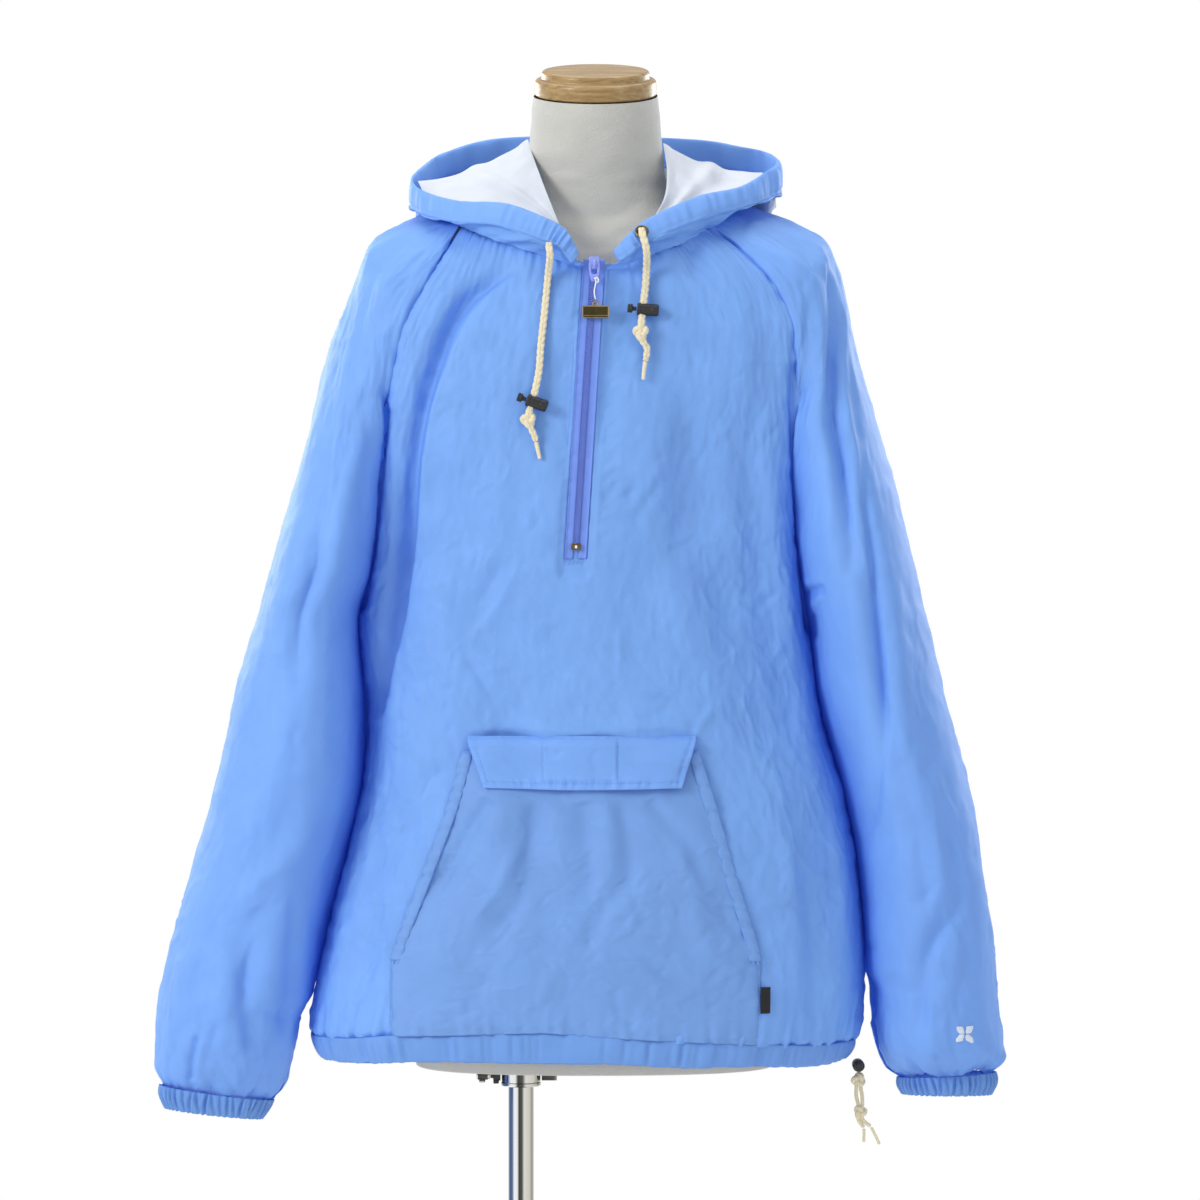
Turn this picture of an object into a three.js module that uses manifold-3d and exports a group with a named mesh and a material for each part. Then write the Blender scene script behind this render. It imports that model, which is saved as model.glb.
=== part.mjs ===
// Hooded half-zip anorak pullover with raglan sleeves, resting on a limbless dress form and its pole stand.
// Millimetres, +Z up, +X to the right of someone facing the front, the front faces -Y.
// The origin is the centre of the base's underside, on the axis of the pole.
import * as THREE from "three";
import { mergeVertices } from "three/addons/utils/BufferGeometryUtils.js";
import Module from "manifold-3d";

const wasm = await Module();
wasm.setup();

// ---- driving dimensions -------------------------------------------------
const CX = 67; // centre plane of the garment and the form, off the pole's axis
const WALL = 1.5; // cloth wall
const GAP = 0.35; // clearance at a seam
const ROUND = 2.3; // exponent of the body's cross-section
const HEM_SEAM_Z = 628, HEM_Z = 611;
const NECK_LOW_Z = 1302, NECK_RISE = 43; // front neckline: lowest point and its rise to the raglan seams
const ZIP = { topU: -1, topZ: 1314, botU: -17, botZ: 1061, tape: 8.2, chain: 2.6 };
const CORD_R = 3.3, HEM_CORD_R = 1.7;
const POLE_R = 11.5, POLE_TOP = 690, BASE_R = 160, BASE_H = 10, HUB_H = 34;
const FORM_BOTTOM = 598, BORE_R = 13.5, BORE_TOP = 812;
const NECK_TILT = THREE.MathUtils.degToRad(14);
const CAP = { r1: 54.7, h1: 15, r2: 48.5, h2: 7.5 };
const LOCK = { r: 5.4, len: 19, bore: 2.3, depth: 9.5, gap: 4, stem: 1.8, button: 3.9, press: 4.5 };

// ---- tables -------------------------------------------------------------
const rows = (names, list) => {
  const keys = names.split(" ");
  return list.map((r) => Object.fromEntries(keys.map((k, i) => [k, r[i]])));
};
// Smooth value of a column between the rows of a table; the end rows hold beyond the ends.
function at(table, key, x, col) {
  const n = table.length, up = table[n - 1][key] > table[0][key] ? 1 : -1;
  if ((x - table[0][key]) * up <= 0) return table[0][col];
  if ((x - table[n - 1][key]) * up >= 0) return table[n - 1][col];
  let i = 0;
  while ((table[i + 1][key] - x) * up < 0) i++;
  const slope = (k) => {
    const a = table[Math.max(k - 1, 0)], b = table[Math.min(k + 1, n - 1)];
    return (b[col] - a[col]) / (b[key] - a[key]);
  };
  const a = table[i], b = table[i + 1], h = b[key] - a[key], t = (x - a[key]) / h;
  const t2 = t * t, t3 = t2 * t;
  return (2 * t3 - 3 * t2 + 1) * a[col] + (t3 - 2 * t2 + t) * h * slope(i) + (3 * t2 - 2 * t3) * b[col] + (t3 - t2) * h * slope(i + 1);
}

// Edges of the front by height: left and right edge across from the centre plane, their depth,
// depth of the middle, and how blunt the section is. Raglan seams above 1000, side seams below.
const FRONT = rows("z L yL R yR d b", [
  [1346, -120, -66, 102, -66, 92, 1.0],
  [1320, -134, -80, 134, -80, 100, 1.0],
  [1297, -147, -88, 155, -88, 105, 1.0],
  [1261, -166, -93, 172, -93, 112, 1.0],
  [1230, -175, -90, 176, -90, 116, 1.0],
  [1195, -182, -84, 177, -84, 119, 0.95],
  [1147, -191, -72, 178, -72, 119, 0.8],
  [1100, -196, -58, 180, -58, 117, 0.66],
  [1061, -199, -42, 183, -43, 115, 0.56],
  [1025, -207, -20, 188, -24, 114, 0.48],
  [1000, -214, -0.2, 192, -10, 114, 0.44],
  [980, -213, -0.2, 195, -0.2, 114, 0.42],
  [926, -208, -0.2, 201, -0.2, 115, 0.42],
  [895, -206, -0.2, 208, -0.2, 116, 0.42],
  [857, -210, -0.2, 221, -0.2, 119, 0.42],
  [792, -224, -0.2, 234, -0.2, 124, 0.42],
  [745, -236, -0.2, 239, -0.2, 128, 0.42],
  [706, -245, -0.2, 242, -0.2, 132, 0.42],
  [662, -254, -0.2, 242, -0.2, 137, 0.42],
  [628, -257, -0.2, 236, -0.2, 139, 0.42],
  [611, -249, -0.2, 228, -0.2, 136, 0.42],
]);
const BACK = rows("z L yL R yR d b", [
  [1392, -92, 70, 92, 70, 84, 1.0],
  [1340, -127, 95, 127, 95, 105, 1.0],
  [1290, -152, 105, 152, 105, 116, 1.0],
  [1250, -167, 107, 169, 107, 119, 1.0],
  [1205, -179, 103, 176, 103, 120, 0.95],
  [1150, -192, 92, 180, 92, 119, 0.8],
  [1100, -198, 74, 182, 74, 115, 0.66],
  [1065, -201, 55, 185, 55, 112, 0.56],
  [1025, -209, 24, 190, 28, 110, 0.48],
  [1000, -214, 0.2, 192, 10, 109, 0.44],
  [980, -213, 0.2, 195, 0.2, 108, 0.42],
  [926, -208, 0.2, 201, 0.2, 107, 0.42],
  [895, -206, 0.2, 208, 0.2, 108, 0.42],
  [857, -210, 0.2, 221, 0.2, 110, 0.42],
  [792, -224, 0.2, 234, 0.2, 115, 0.42],
  [745, -236, 0.2, 239, 0.2, 119, 0.42],
  [706, -245, 0.2, 242, 0.2, 122, 0.42],
  [662, -254, 0.2, 242, 0.2, 126, 0.42],
  [628, -257, 0.2, 236, 0.2, 128, 0.42],
  [611, -249, 0.2, 228, 0.2, 126, 0.42],
]);
// Largest folds: a soft trough from one end to the other, pressed towards the form.
const FRONT_FOLDS = rows("u1 z1 u2 z2 depth width", [
  [-102, 1282, -145, 1205, 9, 17],
  [-145, 1205, -158, 1090, 15, 20],
  [-158, 1090, -186, 935, 16, 22],
  [70, 1235, 112, 1010, 5, 22],
  [128, 1190, 160, 900, 7, 24],
  [-70, 1000, -30, 700, 5, 26],
]);
const BACK_FOLDS = rows("u1 z1 u2 z2 depth width", [
  [-120, 1270, -160, 1050, 13, 22],
  [118, 1285, 158, 1060, 15, 22],
  [-40, 1100, -85, 760, 7, 26],
  [60, 1150, 92, 820, 8, 28],
]);
// Sleeve above the armpit: height on the front and back raglan seams, outermost point and its height,
// how far the sleeve bellies past its seams, how closed the section is, and the clearance to the body.
const YOKE = rows("fz bz oL oR oz B q g", [
  [1346, 1392, 112, 112, 1379, 0, 0, 0.9],
  [1322, 1362, 140, 140, 1368, 0, 0, 0.9],
  [1297, 1335, 168, 168, 1356.5, 0, 0, 0.9],
  [1262, 1295, 190, 190, 1347, 0, 0, 0.9],
  [1232, 1255, 205, 205, 1334, 0, 0, 0.9],
  [1198, 1210, 219, 220, 1296, 8, 0.1, 0.9],
  [1150, 1152, 240, 240, 1228, 30, 0.35, 1.1],
  [1092, 1094, 262, 260, 1152, 60, 0.65, 1.5],
  [1042, 1042, 283, 277, 1078, 90, 0.88, 2.6],
  [1002, 1002, 304, 296, 1006, 108, 1, 4.0],
]);
// Sleeve below the armpit: inner and outer point of each section, half depth, and middle of the depth.
const TUBE_L = rows("i iz o oz B yc", [
  [213, 930, 323, 930, 104, -2],
  [215, 857, 340, 857, 97, -5],
  [229, 792, 359, 792, 88, -8],
  [248, 720, 377, 720, 80, -11],
  [260, 660, 390, 662, 72, -14],
  [268, 618, 394, 625, 62, -16],
  [276, 592, 394.5, 604, 46, -18],
  [287.6, 569.5, 391, 583, 24, -20],
]);
const TUBE_R = rows("i iz o oz B yc", [
  [206, 930, 313, 930, 104, -2],
  [226, 857, 331, 857, 97, -5],
  [240, 792, 345, 792, 88, -8],
  [247, 720, 357, 720, 80, -11],
  [248, 660, 360, 660, 72, -14],
  [252, 622, 364, 622, 62, -16],
  [260, 604, 364, 608, 46, -18],
  [269.5, 590, 359, 594.5, 24, -20],
]);
const CUFF_L = rows("i iz o oz B", [[287.6, 568.8, 391, 582.4, 24], [293, 560, 390, 572.5, 24], [297.5, 551.5, 386.5, 561.5, 21.5]]);
const CUFF_R = rows("i iz o oz B", [[269.5, 589.3, 359, 593.8, 24], [270.5, 581.5, 359, 584, 24], [273.5, 574, 355.5, 573.5, 21.5]]);
// Hood laid back round the neck: the opening's edge (u, y, z), the casing's width as a vector from it,
// the direction the pouch leans, and how far its two controls stand out and drop.
const HOOD = rows("t u y z bu by bz oa e1 d1 e2 d2", [
  [0.0, -15, -113, 1318, -5, -3, -8, -90, 1, 1, 1, -1],
  [0.06, -26, -113.5, 1338, -8, -4, -12, -95, 2, 1, 1, -1],
  [0.12, -42, -110, 1348.5, -7, -6, -16, -105, 4, 2, 2, -1],
  [0.18, -79, -98, 1363, -7, -7, -18, -120, 6, 2, 3, -2],
  [0.24, -121, -78, 1367, -4, -6, -17, -140, 14, 4, 5, -3],
  [0.3, -155, -42, 1380, -1, -3, -19, -165, 26, 4, 8, -8],
  [0.34, -165, -8, 1393, 1, 0, -21, 180, 30, 6, 14, -14],
  [0.38, -154, 32, 1410, 1, 3, -23, 150, 34, 10, 40, -40],
  [0.42, -137, 62, 1424, 0, 5, -24, 118, 62, -120, 96, -150],
  [0.46, -90, 95, 1440, 0, 6, -25, 100, 100, -180, 130, -250],
  [0.5, 0, 112, 1444, 0, 6, -25, 90, 108, -210, 140, -290],
  [0.54, 92, 95, 1439, 0, 6, -25, 80, 100, -180, 130, -250],
  [0.58, 130, 66, 1430, 0, 5, -24, 62, 62, -120, 96, -150],
  [0.62, 155, 42, 1422, -1, 3, -23, 30, 34, 10, 40, -40],
  [0.66, 165, 4, 1409, 0, 0, -24, 0, 30, 6, 14, -14],
  [0.7, 153, -28, 1398, 2, -3, -22, -15, 26, 4, 8, -8],
  [0.76, 127.5, -60, 1381, 3, -6, -17, -40, 14, 4, 5, -3],
  [0.82, 90, -90, 1370, 5, -7, -18, -60, 6, 2, 3, -2],
  [0.88, 47, -109, 1349, 7, -6, -15, -75, 4, 2, 2, -1],
  [0.94, 32, -113, 1337, 8, -4, -12, -85, 2, 1, 1, -1],
  [1.0, 15.4, -113, 1319.6, 5, -3, -8, -90, 1, 1, 1, -1],
]);
// Dress form by height: half width, half depth, blunt corner exponent, and shift of the middle to the back.
const FORM = rows("z w d n y", [
  [FORM_BOTTOM, 160, 97, 2.4, 0],
  [604, 163, 100, 2.4, 0],
  [680, 167, 102, 2.4, 0],
  [750, 166, 102, 2.4, 0],
  [850, 152, 92, 2.3, 0],
  [950, 141, 84, 2.3, 0],
  [1050, 148, 90, 2.3, 0],
  [1130, 158, 97, 2.3, 0],
  [1200, 164, 98, 2.3, 0],
  [1260, 169, 93, 2.3, 2],
  [1300, 172, 82, 2.2, 4],
  [1325, 167, 71, 2.2, 6],
  [1341, 147, 63, 2.1, 7],
  [1354, 116, 58, 2.0, 8],
  [1366, 86, 56, 2.0, 8],
  [1380, 69, 56, 2.0, 6],
  [1398, 62.5, 56.5, 2.0, 2],
]);
const LINING_SPAN = [12, 15, 6]; // of the hood's grid: first and last row round the neck, first row up the wall
const ZIP_LEN = Math.hypot(ZIP.topU - ZIP.botU, ZIP.topZ - ZIP.botZ);

// ---- surfaces -----------------------------------------------------------
const V = (x, y, z) => new THREE.Vector3(x, y, z);
const mix = (a, b, t) => a + (b - a) * t;
const smooth = (t) => { const c = Math.min(Math.max(t, 0), 1); return c * c * (3 - 2 * c); };
function folds(table, u, z) {
  let sum = 0;
  for (const f of table) {
    const du = f.u2 - f.u1, dz = f.z2 - f.z1, len2 = du * du + dz * dz;
    const s = ((u - f.u1) * du + (z - f.z1) * dz) / len2;
    const off = Math.hypot(u - f.u1 - s * du, z - f.z1 - s * dz);
    sum += f.depth * Math.exp(-((off / f.width) ** 2)) * smooth((s + 0.16) / 0.32) * smooth((1.16 - s) / 0.32);
  }
  return sum;
}
const neckline = (s) => NECK_LOW_Z + NECK_RISE * Math.abs(s) ** 1.1;
// A point of the front at s from -1 (left edge) to 1 (right edge) and height z.
function frontAt(s, z) {
  const g = (c) => at(FRONT, "z", z, c);
  const u = mix(g("L"), g("R"), (s + 1) / 2), edge = mix(g("yL"), g("yR"), (s + 1) / 2);
  const cup = Math.max(1 - Math.abs(s) ** ROUND, 0) ** g("b");
  return V(CX + u, edge - (g("d") + edge) * cup + folds(FRONT_FOLDS, u, z) * cup, z);
}
function frontXZ(u, z) {
  const L = at(FRONT, "z", z, "L"), R = at(FRONT, "z", z, "R");
  return frontAt(Math.min(Math.max((2 * (u - L)) / (R - L) - 1, -1), 1), z);
}
function frontNormal(u, z) {
  const a = frontXZ(u - 3, z), b = frontXZ(u + 3, z), c = frontXZ(u, z - 3), d = frontXZ(u, z + 3);
  return b.sub(a).cross(d.sub(c)).normalize(); // faces -Y
}
function backAt(s, z) {
  const g = (c) => at(BACK, "z", z, c);
  const u = mix(g("L"), g("R"), (s + 1) / 2), edge = mix(g("yL"), g("yR"), (s + 1) / 2);
  const cup = Math.max(1 - Math.abs(s) ** ROUND, 0) ** g("b");
  return V(CX + u, edge + (g("d") - edge) * cup - folds(BACK_FOLDS, u, z) * cup, z);
}
// Stations of a sleeve from the neck seam to the cuff seam, each with its two seam points and outermost point.
function sleeveStations(side) {
  const edge = side < 0 ? "L" : "R", tube = side < 0 ? TUBE_L : TUBE_R;
  const out = YOKE.map((r, k) => ({
    k,
    fu: at(FRONT, "z", r.fz, edge) + side * r.g, fy: at(FRONT, "z", r.fz, "y" + edge), fz: r.fz,
    bu: at(BACK, "z", r.bz, edge) + side * r.g, by: at(BACK, "z", r.bz, "y" + edge), bz: r.bz,
    ou: side * (side < 0 ? r.oL : r.oR), oy: 0, oz: r.oz, B: r.B, q: r.q,
  }));
  tube.forEach((r, j) => out.push({
    k: YOKE.length + j,
    fu: side * r.i, fy: r.yc - 0.25, fz: r.iz, bu: side * r.i, by: r.yc + 0.25, bz: r.iz,
    ou: side * r.o, oy: r.yc, oz: r.oz, B: r.B, q: 1,
  }));
  return out;
}
const STATIONS = { [-1]: sleeveStations(-1), [1]: sleeveStations(1) };
const K_END = STATIONS[1].length - 1;
// A point of a sleeve at station k and t from 0 (front seam) round the outside to 1 (back seam).
function sleeveAt(side, k, t) {
  const st = STATIONS[side], g = (c) => at(st, "k", k, c);
  const q = g("q"), B = g("B");
  const c = Math.cos(Math.PI * t), s = Math.sin(Math.PI * t);
  const lobe = (1 - q) * s + (q * (1 - Math.cos(2 * Math.PI * t))) / 2;
  const p = (f, b, o) => (g(f) + g(b)) / 2 + ((g(f) - g(b)) / 2) * c + (g(o) - (g(f) + g(b)) / 2) * lobe;
  return V(CX + p("fu", "bu", "ou"), p("fy", "by", "oy") - B * Math.sin(2 * Math.PI * t), p("fz", "bz", "oz"));
}
// The neck seam round from the front's middle over the left shoulder to the back and on to the front.
function neckAt(t) {
  const m = t > 0.5 ? 1 - t : t, side = t > 0.5 ? 1 : -1;
  let p;
  if (m < 0.22) { const s = side * mix(side < 0 ? 0.09 : 0.04, 1, m / 0.22); p = frontAt(s, neckline(s)); }
  else if (m < 0.37) p = sleeveAt(side, 0, (m - 0.22) / 0.15);
  else p = backAt(side * mix(1, 0, (m - 0.37) / 0.13), 1392 - 4 * smooth((m - 0.37) / 0.13));
  const a = THREE.MathUtils.degToRad(hoodCol(t, "oa"));
  return p.add(V(Math.cos(a) * 1.5, Math.sin(a) * 1.5, 2.8));
}
const hoodCol = (t, c) => at(HOOD, "t", t, c);
const rimAt = (t) => V(CX + hoodCol(t, "u"), hoodCol(t, "y"), hoodCol(t, "z"));
const bandAt = (t) => V(hoodCol(t, "bu"), hoodCol(t, "by"), hoodCol(t, "bz"));
function hoodAt(t, w) {
  const N = neckAt(t), Q = rimAt(t).add(bandAt(t)), a = THREE.MathUtils.degToRad(hoodCol(t, "oa"));
  const out = V(Math.cos(a), Math.sin(a), 0);
  const C1 = N.clone().addScaledVector(out, hoodCol(t, "e1")).add(V(0, 0, hoodCol(t, "d1")));
  const C2 = Q.clone().addScaledVector(out, hoodCol(t, "e2")).add(V(0, 0, hoodCol(t, "d2")));
  const m = 1 - w;
  return V(0, 0, 0).addScaledVector(N, m ** 3).addScaledVector(C1, 3 * m * m * w).addScaledVector(C2, 3 * m * w * w).addScaledVector(Q, w ** 3);
}

// ---- solids from grids --------------------------------------------------
function solid(points, faces) {
  const g = new THREE.BufferGeometry();
  const pos = new Float32Array(faces.length * 9);
  faces.forEach((f, i) => f.forEach((k, j) => { const p = points[k]; pos.set([p.x, p.y, p.z], i * 9 + j * 3); }));
  g.setAttribute("position", new THREE.BufferAttribute(pos, 3));
  g.computeVertexNormals();
  return g;
}
// Unit normals of a grid of points, turned to the side that sign picks.
function gridNormals(P, sign) {
  const m = P.length, n = P[0].length;
  return P.map((row, i) => row.map((p, j) => {
    const dv = P[Math.min(i + 1, m - 1)][j].clone().sub(P[Math.max(i - 1, 0)][j]);
    const du = P[i][Math.min(j + 1, n - 1)].clone().sub(P[i][Math.max(j - 1, 0)]);
    return du.cross(dv).normalize().multiplyScalar(sign);
  }));
}
// A wall of cloth from a grid, from `near` to `far` along its normals (far is the outer face).
function sheet(P, sign, near, far, normals) {
  const m = P.length, n = P[0].length, N = normals || gridNormals(P, sign), pts = [], faces = [];
  for (const off of [far, near]) for (let i = 0; i < m; i++) for (let j = 0; j < n; j++) pts.push(P[i][j].clone().addScaledVector(N[i][j], off));
  const A = (i, j) => i * n + j, B = (i, j) => m * n + i * n + j;
  const quad = (a, b, c, d) => { faces.push([a, b, c], [a, c, d]); };
  for (let i = 0; i < m - 1; i++) for (let j = 0; j < n - 1; j++) {
    quad(A(i, j), A(i, j + 1), A(i + 1, j + 1), A(i + 1, j));
    quad(B(i, j), B(i + 1, j), B(i + 1, j + 1), B(i, j + 1));
  }
  for (let j = 0; j < n - 1; j++) { quad(A(0, j), B(0, j), B(0, j + 1), A(0, j + 1)); quad(A(m - 1, j), A(m - 1, j + 1), B(m - 1, j + 1), B(m - 1, j)); }
  for (let i = 0; i < m - 1; i++) { quad(A(i, 0), A(i + 1, 0), B(i + 1, 0), B(i, 0)); quad(A(i, n - 1), B(i, n - 1), B(i + 1, n - 1), A(i + 1, n - 1)); }
  if (sign < 0) faces.forEach((f) => f.reverse());
  return solid(pts, faces);
}
// A band closed round its columns: outer points and inner points by row.
function ring(outer, inner, flip) {
  const m = outer.length, n = outer[0].length, pts = [...outer.flat(), ...inner.flat()], faces = [];
  const A = (i, j) => i * n + (j % n), B = (i, j) => m * n + i * n + (j % n);
  const quad = (a, b, c, d) => { faces.push([a, b, c], [a, c, d]); };
  for (let j = 0; j < n; j++) {
    for (let i = 0; i < m - 1; i++) { quad(A(i, j), A(i, j + 1), A(i + 1, j + 1), A(i + 1, j)); quad(B(i, j), B(i + 1, j), B(i + 1, j + 1), B(i, j + 1)); }
    quad(A(0, j), B(0, j), B(0, j + 1), A(0, j + 1));
    quad(A(m - 1, j), A(m - 1, j + 1), B(m - 1, j + 1), B(m - 1, j));
  }
  if (flip) faces.forEach((f) => f.reverse());
  return solid(pts, faces);
}
// A body of stacked closed sections with flat ends.
function loft(sections, flip) {
  const m = sections.length, n = sections[0].length, pts = sections.flat(), faces = [];
  const A = (i, j) => i * n + (j % n);
  for (let i = 0; i < m - 1; i++) for (let j = 0; j < n; j++) faces.push([A(i, j), A(i, j + 1), A(i + 1, j + 1)], [A(i, j), A(i + 1, j + 1), A(i + 1, j)]);
  const mid = (s) => s.reduce((a, p) => a.add(p), V(0, 0, 0)).divideScalar(s.length);
  pts.push(mid(sections[0]), mid(sections[m - 1]));
  const lo = pts.length - 2, hi = pts.length - 1;
  for (let j = 0; j < n; j++) { faces.push([lo, A(0, j + 1), A(0, j)], [hi, A(m - 1, j), A(m - 1, j + 1)]); }
  if (flip) faces.forEach((f) => f.reverse());
  return solid(pts, faces);
}
// A strip laid on the front: edges by arc parameter, at a height above the cloth.
function onFront(rowsN, colsN, uv, near, far) {
  const P = [];
  for (let i = 0; i < rowsN; i++) {
    P.push([]);
    for (let j = 0; j < colsN; j++) { const [u, z] = uv(i / (rowsN - 1), j / (colsN - 1)); P[i].push({ p: frontXZ(u, z), n: frontNormal(u, z) }); }
  }
  const m = rowsN, n = colsN, pts = [], faces = [];
  for (const off of [far, near]) for (const r of P) for (const c of r) pts.push(c.p.clone().addScaledVector(c.n, off));
  const A = (i, j) => i * n + j, B = (i, j) => m * n + i * n + j;
  const quad = (a, b, c, d) => { faces.push([a, b, c], [a, c, d]); };
  for (let i = 0; i < m - 1; i++) for (let j = 0; j < n - 1; j++) { quad(A(i, j), A(i + 1, j), A(i + 1, j + 1), A(i, j + 1)); quad(B(i, j), B(i, j + 1), B(i + 1, j + 1), B(i + 1, j)); }
  for (let j = 0; j < n - 1; j++) { quad(A(0, j), A(0, j + 1), B(0, j + 1), B(0, j)); quad(A(m - 1, j), B(m - 1, j), B(m - 1, j + 1), A(m - 1, j + 1)); }
  for (let i = 0; i < m - 1; i++) { quad(A(i, 0), B(i, 0), B(i + 1, 0), A(i + 1, 0)); quad(A(i, n - 1), A(i + 1, n - 1), B(i + 1, n - 1), B(i, n - 1)); }
  return solid(pts, faces);
}

// ---- manifold helpers ---------------------------------------------------
function toManifold(geometry) {
  const g = geometry.index ? geometry.toNonIndexed() : geometry.clone();
  const only = new THREE.BufferGeometry().setAttribute("position", g.getAttribute("position"));
  const m = mergeVertices(only, 1e-4);
  return new wasm.Manifold(new wasm.Mesh({ numProp: 3, vertProperties: m.attributes.position.array, triVerts: new Uint32Array(m.index.array) }));
}
function fromManifold(man) {
  const mesh = man.getMesh(), g = new THREE.BufferGeometry(), np = mesh.numProp, v = mesh.vertProperties, pos = new Float32Array(mesh.triVerts.length * 3);
  mesh.triVerts.forEach((k, i) => { for (let c = 0; c < 3; c++) pos[i * 3 + c] = v[k * np + c]; });
  g.setAttribute("position", new THREE.BufferAttribute(pos, 3));
  g.computeVertexNormals();
  return g;
}

// ---- scene graph --------------------------------------------------------
const garment = new THREE.Group();
const paint = (color, roughness, metalness) => () => new THREE.MeshStandardMaterial({ color, roughness, metalness, side: THREE.DoubleSide });
const FINISH = {
  shell: paint(0x84b4f2, 0.55, 0), lining: paint(0xeceef2, 0.9, 0), tape: paint(0x6f86e0, 0.7, 0), cord: paint(0xe9e0c6, 0.85, 0),
  black: paint(0x202226, 0.35, 0), bronze: paint(0x4d4026, 0.35, 0.9), knit: paint(0xd9d8d2, 0.95, 0), wood: paint(0xcb9a58, 0.5, 0),
  chrome: paint(0xc9ccd0, 0.12, 1), enamel: paint(0x6d84dd, 0.35, 0.2), label: paint(0x17181a, 0.8, 0), steel: paint(0xb9bcc0, 0.3, 1),
};
function add(name, geometry, finish) {
  const mesh = new THREE.Mesh(geometry, FINISH[finish]());
  mesh.name = name;
  garment.add(mesh);
  return mesh;
}
const steps = (n) => Array.from({ length: n }, (_, i) => i / (n - 1));

// Front and back
const edgeS = (z, table) => 1 - (2 * GAP) / (at(table, "z", z, "R") - at(table, "z", z, "L"));
function panel(pointAt, table, top, cols, rowsN, sign) {
  const P = [];
  for (let i = 0; i < rowsN; i++) {
    const row = [];
    for (let j = 0; j < cols; j++) {
      const a = (j / (cols - 1) - 0.5) * Math.PI, s0 = Math.sin(a) * 0.55 + (a / (Math.PI / 2)) * 0.45;
      const v = i / (rowsN - 1), z = mix(top(s0), HEM_SEAM_Z + 0.4, v ** 1.04);
      row.push(pointAt(s0 * edgeS(z, table), z));
    }
    P.push(row);
  }
  return sheet(P, sign, -WALL, 0);
}
add("front", panel(frontAt, FRONT, neckline, 20, 19, -1), "shell");
add("back", panel(backAt, BACK, (s) => 1388 + 4 * Math.abs(s), 15, 17, 1), "shell");

// Sleeves
function sleeve(side, cols, rowsN) {
  const P = [];
  for (let i = 0; i < rowsN; i++) {
    const k = (K_END * i) / (rowsN - 1), row = [];
    for (const t of steps(cols)) row.push(sleeveAt(side, k, t));
    P.push(row);
  }
  return sheet(P, side < 0 ? 1 : -1, -WALL, 0);
}
add("sleeve_left", sleeve(-1, 16, 19), "shell");
add("sleeve_right", sleeve(1, 16, 19), "shell");
function cuff(side, table) {
  const n = 18, loopAt = (r, inset) => Array.from({ length: n }, (_, j) => {
    const a = (2 * Math.PI * j) / n, c = (1 - Math.cos(a)) / 2, half = Math.abs(r.o - r.i) / 2, k = 1 - inset / half;
    const mid = (r.i + r.o) / 2, u = mid + (mix(r.i, r.o, c) - mid) * k;
    return V(CX + side * u, -20 - (r.B - inset) * Math.sin(a), mix(r.iz, r.oz, c));
  });
  return ring(table.map((r) => loopAt(r, 0)), table.map((r) => loopAt(r, 3)), side > 0);
}
add("cuff_left", cuff(-1, CUFF_L), "shell");
add("cuff_right", cuff(1, CUFF_R), "shell");

// Hem casing, all round
{
  const n = 20, loopAt = (z, inset) => {
    const pts = [];
    for (let j = 0; j < n; j++) { const s = Math.sin(((j + 0.5) / n - 0.5) * Math.PI); pts.push(frontAt(s, z)); }
    for (let j = 0; j < n; j++) { const s = Math.sin((0.5 - (j + 0.5) / n) * Math.PI); pts.push(backAt(s, z)); }
    const mid = V(CX - 10, -5, z);
    return pts.map((p) => { const d = p.clone().sub(mid); const len = d.length(); return p.clone().addScaledVector(d, -inset / len); });
  };
  const outer = [[HEM_SEAM_Z, 0.4], [HEM_SEAM_Z - 8, -1.6], [HEM_Z, 1]].map(([z, i]) => loopAt(z, i));
  const inner = [[HEM_SEAM_Z, 2.6], [HEM_SEAM_Z - 8, 3.4], [HEM_Z, 3.4]].map(([z, i]) => loopAt(z, i));
  add("hem_casing", ring(outer, inner, true), "shell");
}

// Hood: shell, lining and rim casing
const HOOD_GRID = steps(27).map((t) => steps(9).map((w) => hoodAt(t, w)));
add("hood_shell", sheet(HOOD_GRID, 1, -WALL, 0), "shell");
// The casing's middle, the way across it, its outer normal and its half width at t.
function casingAt(t) {
  const b = bandAt(t), len = b.length() - 3, d = b.clone().normalize();
  const tan = rimAt(Math.min(t + 0.01, 1)).sub(rimAt(Math.max(t - 0.01, 0))).normalize();
  return { d, nrm: tan.clone().cross(d).normalize(), mid: rimAt(t).addScaledVector(d, len / 2), hw: len / 2 };
}
const casingSections = (grow) => steps(35).map((t) => {
  const { d, nrm, mid, hw } = casingAt(t);
  return Array.from({ length: 8 }, (_, j) => {
    const a = (2 * Math.PI * (j + 0.5)) / 8, c = Math.cos(a), s = Math.sin(a);
    return mid.clone().addScaledVector(d, ((hw + grow) * c) / 0.924).addScaledVector(nrm, ((2.4 + grow) * s) / 0.924);
  });
});
add("hood_rim_casing", loft(casingSections(0), false), "shell");
{
  // the lining follows the shell's own points on the pouch's outer wall, inside it and short of the casing
  const N = gridNormals(HOOD_GRID, 1), [t0, t1, w0] = LINING_SPAN;
  const cut = (G, turn) => G.slice(t0, t1).map((r, i) => [...r.slice(w0, 8).map((p) => p.clone()), turn ? r[8].clone() : r[8].clone().lerp(r[7], 0.25)]);
  add("hood_lining", sheet(cut(HOOD_GRID, false), 1, -WALL - 2.4, -WALL - 1.0, cut(N, true)), "lining");
}

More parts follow.
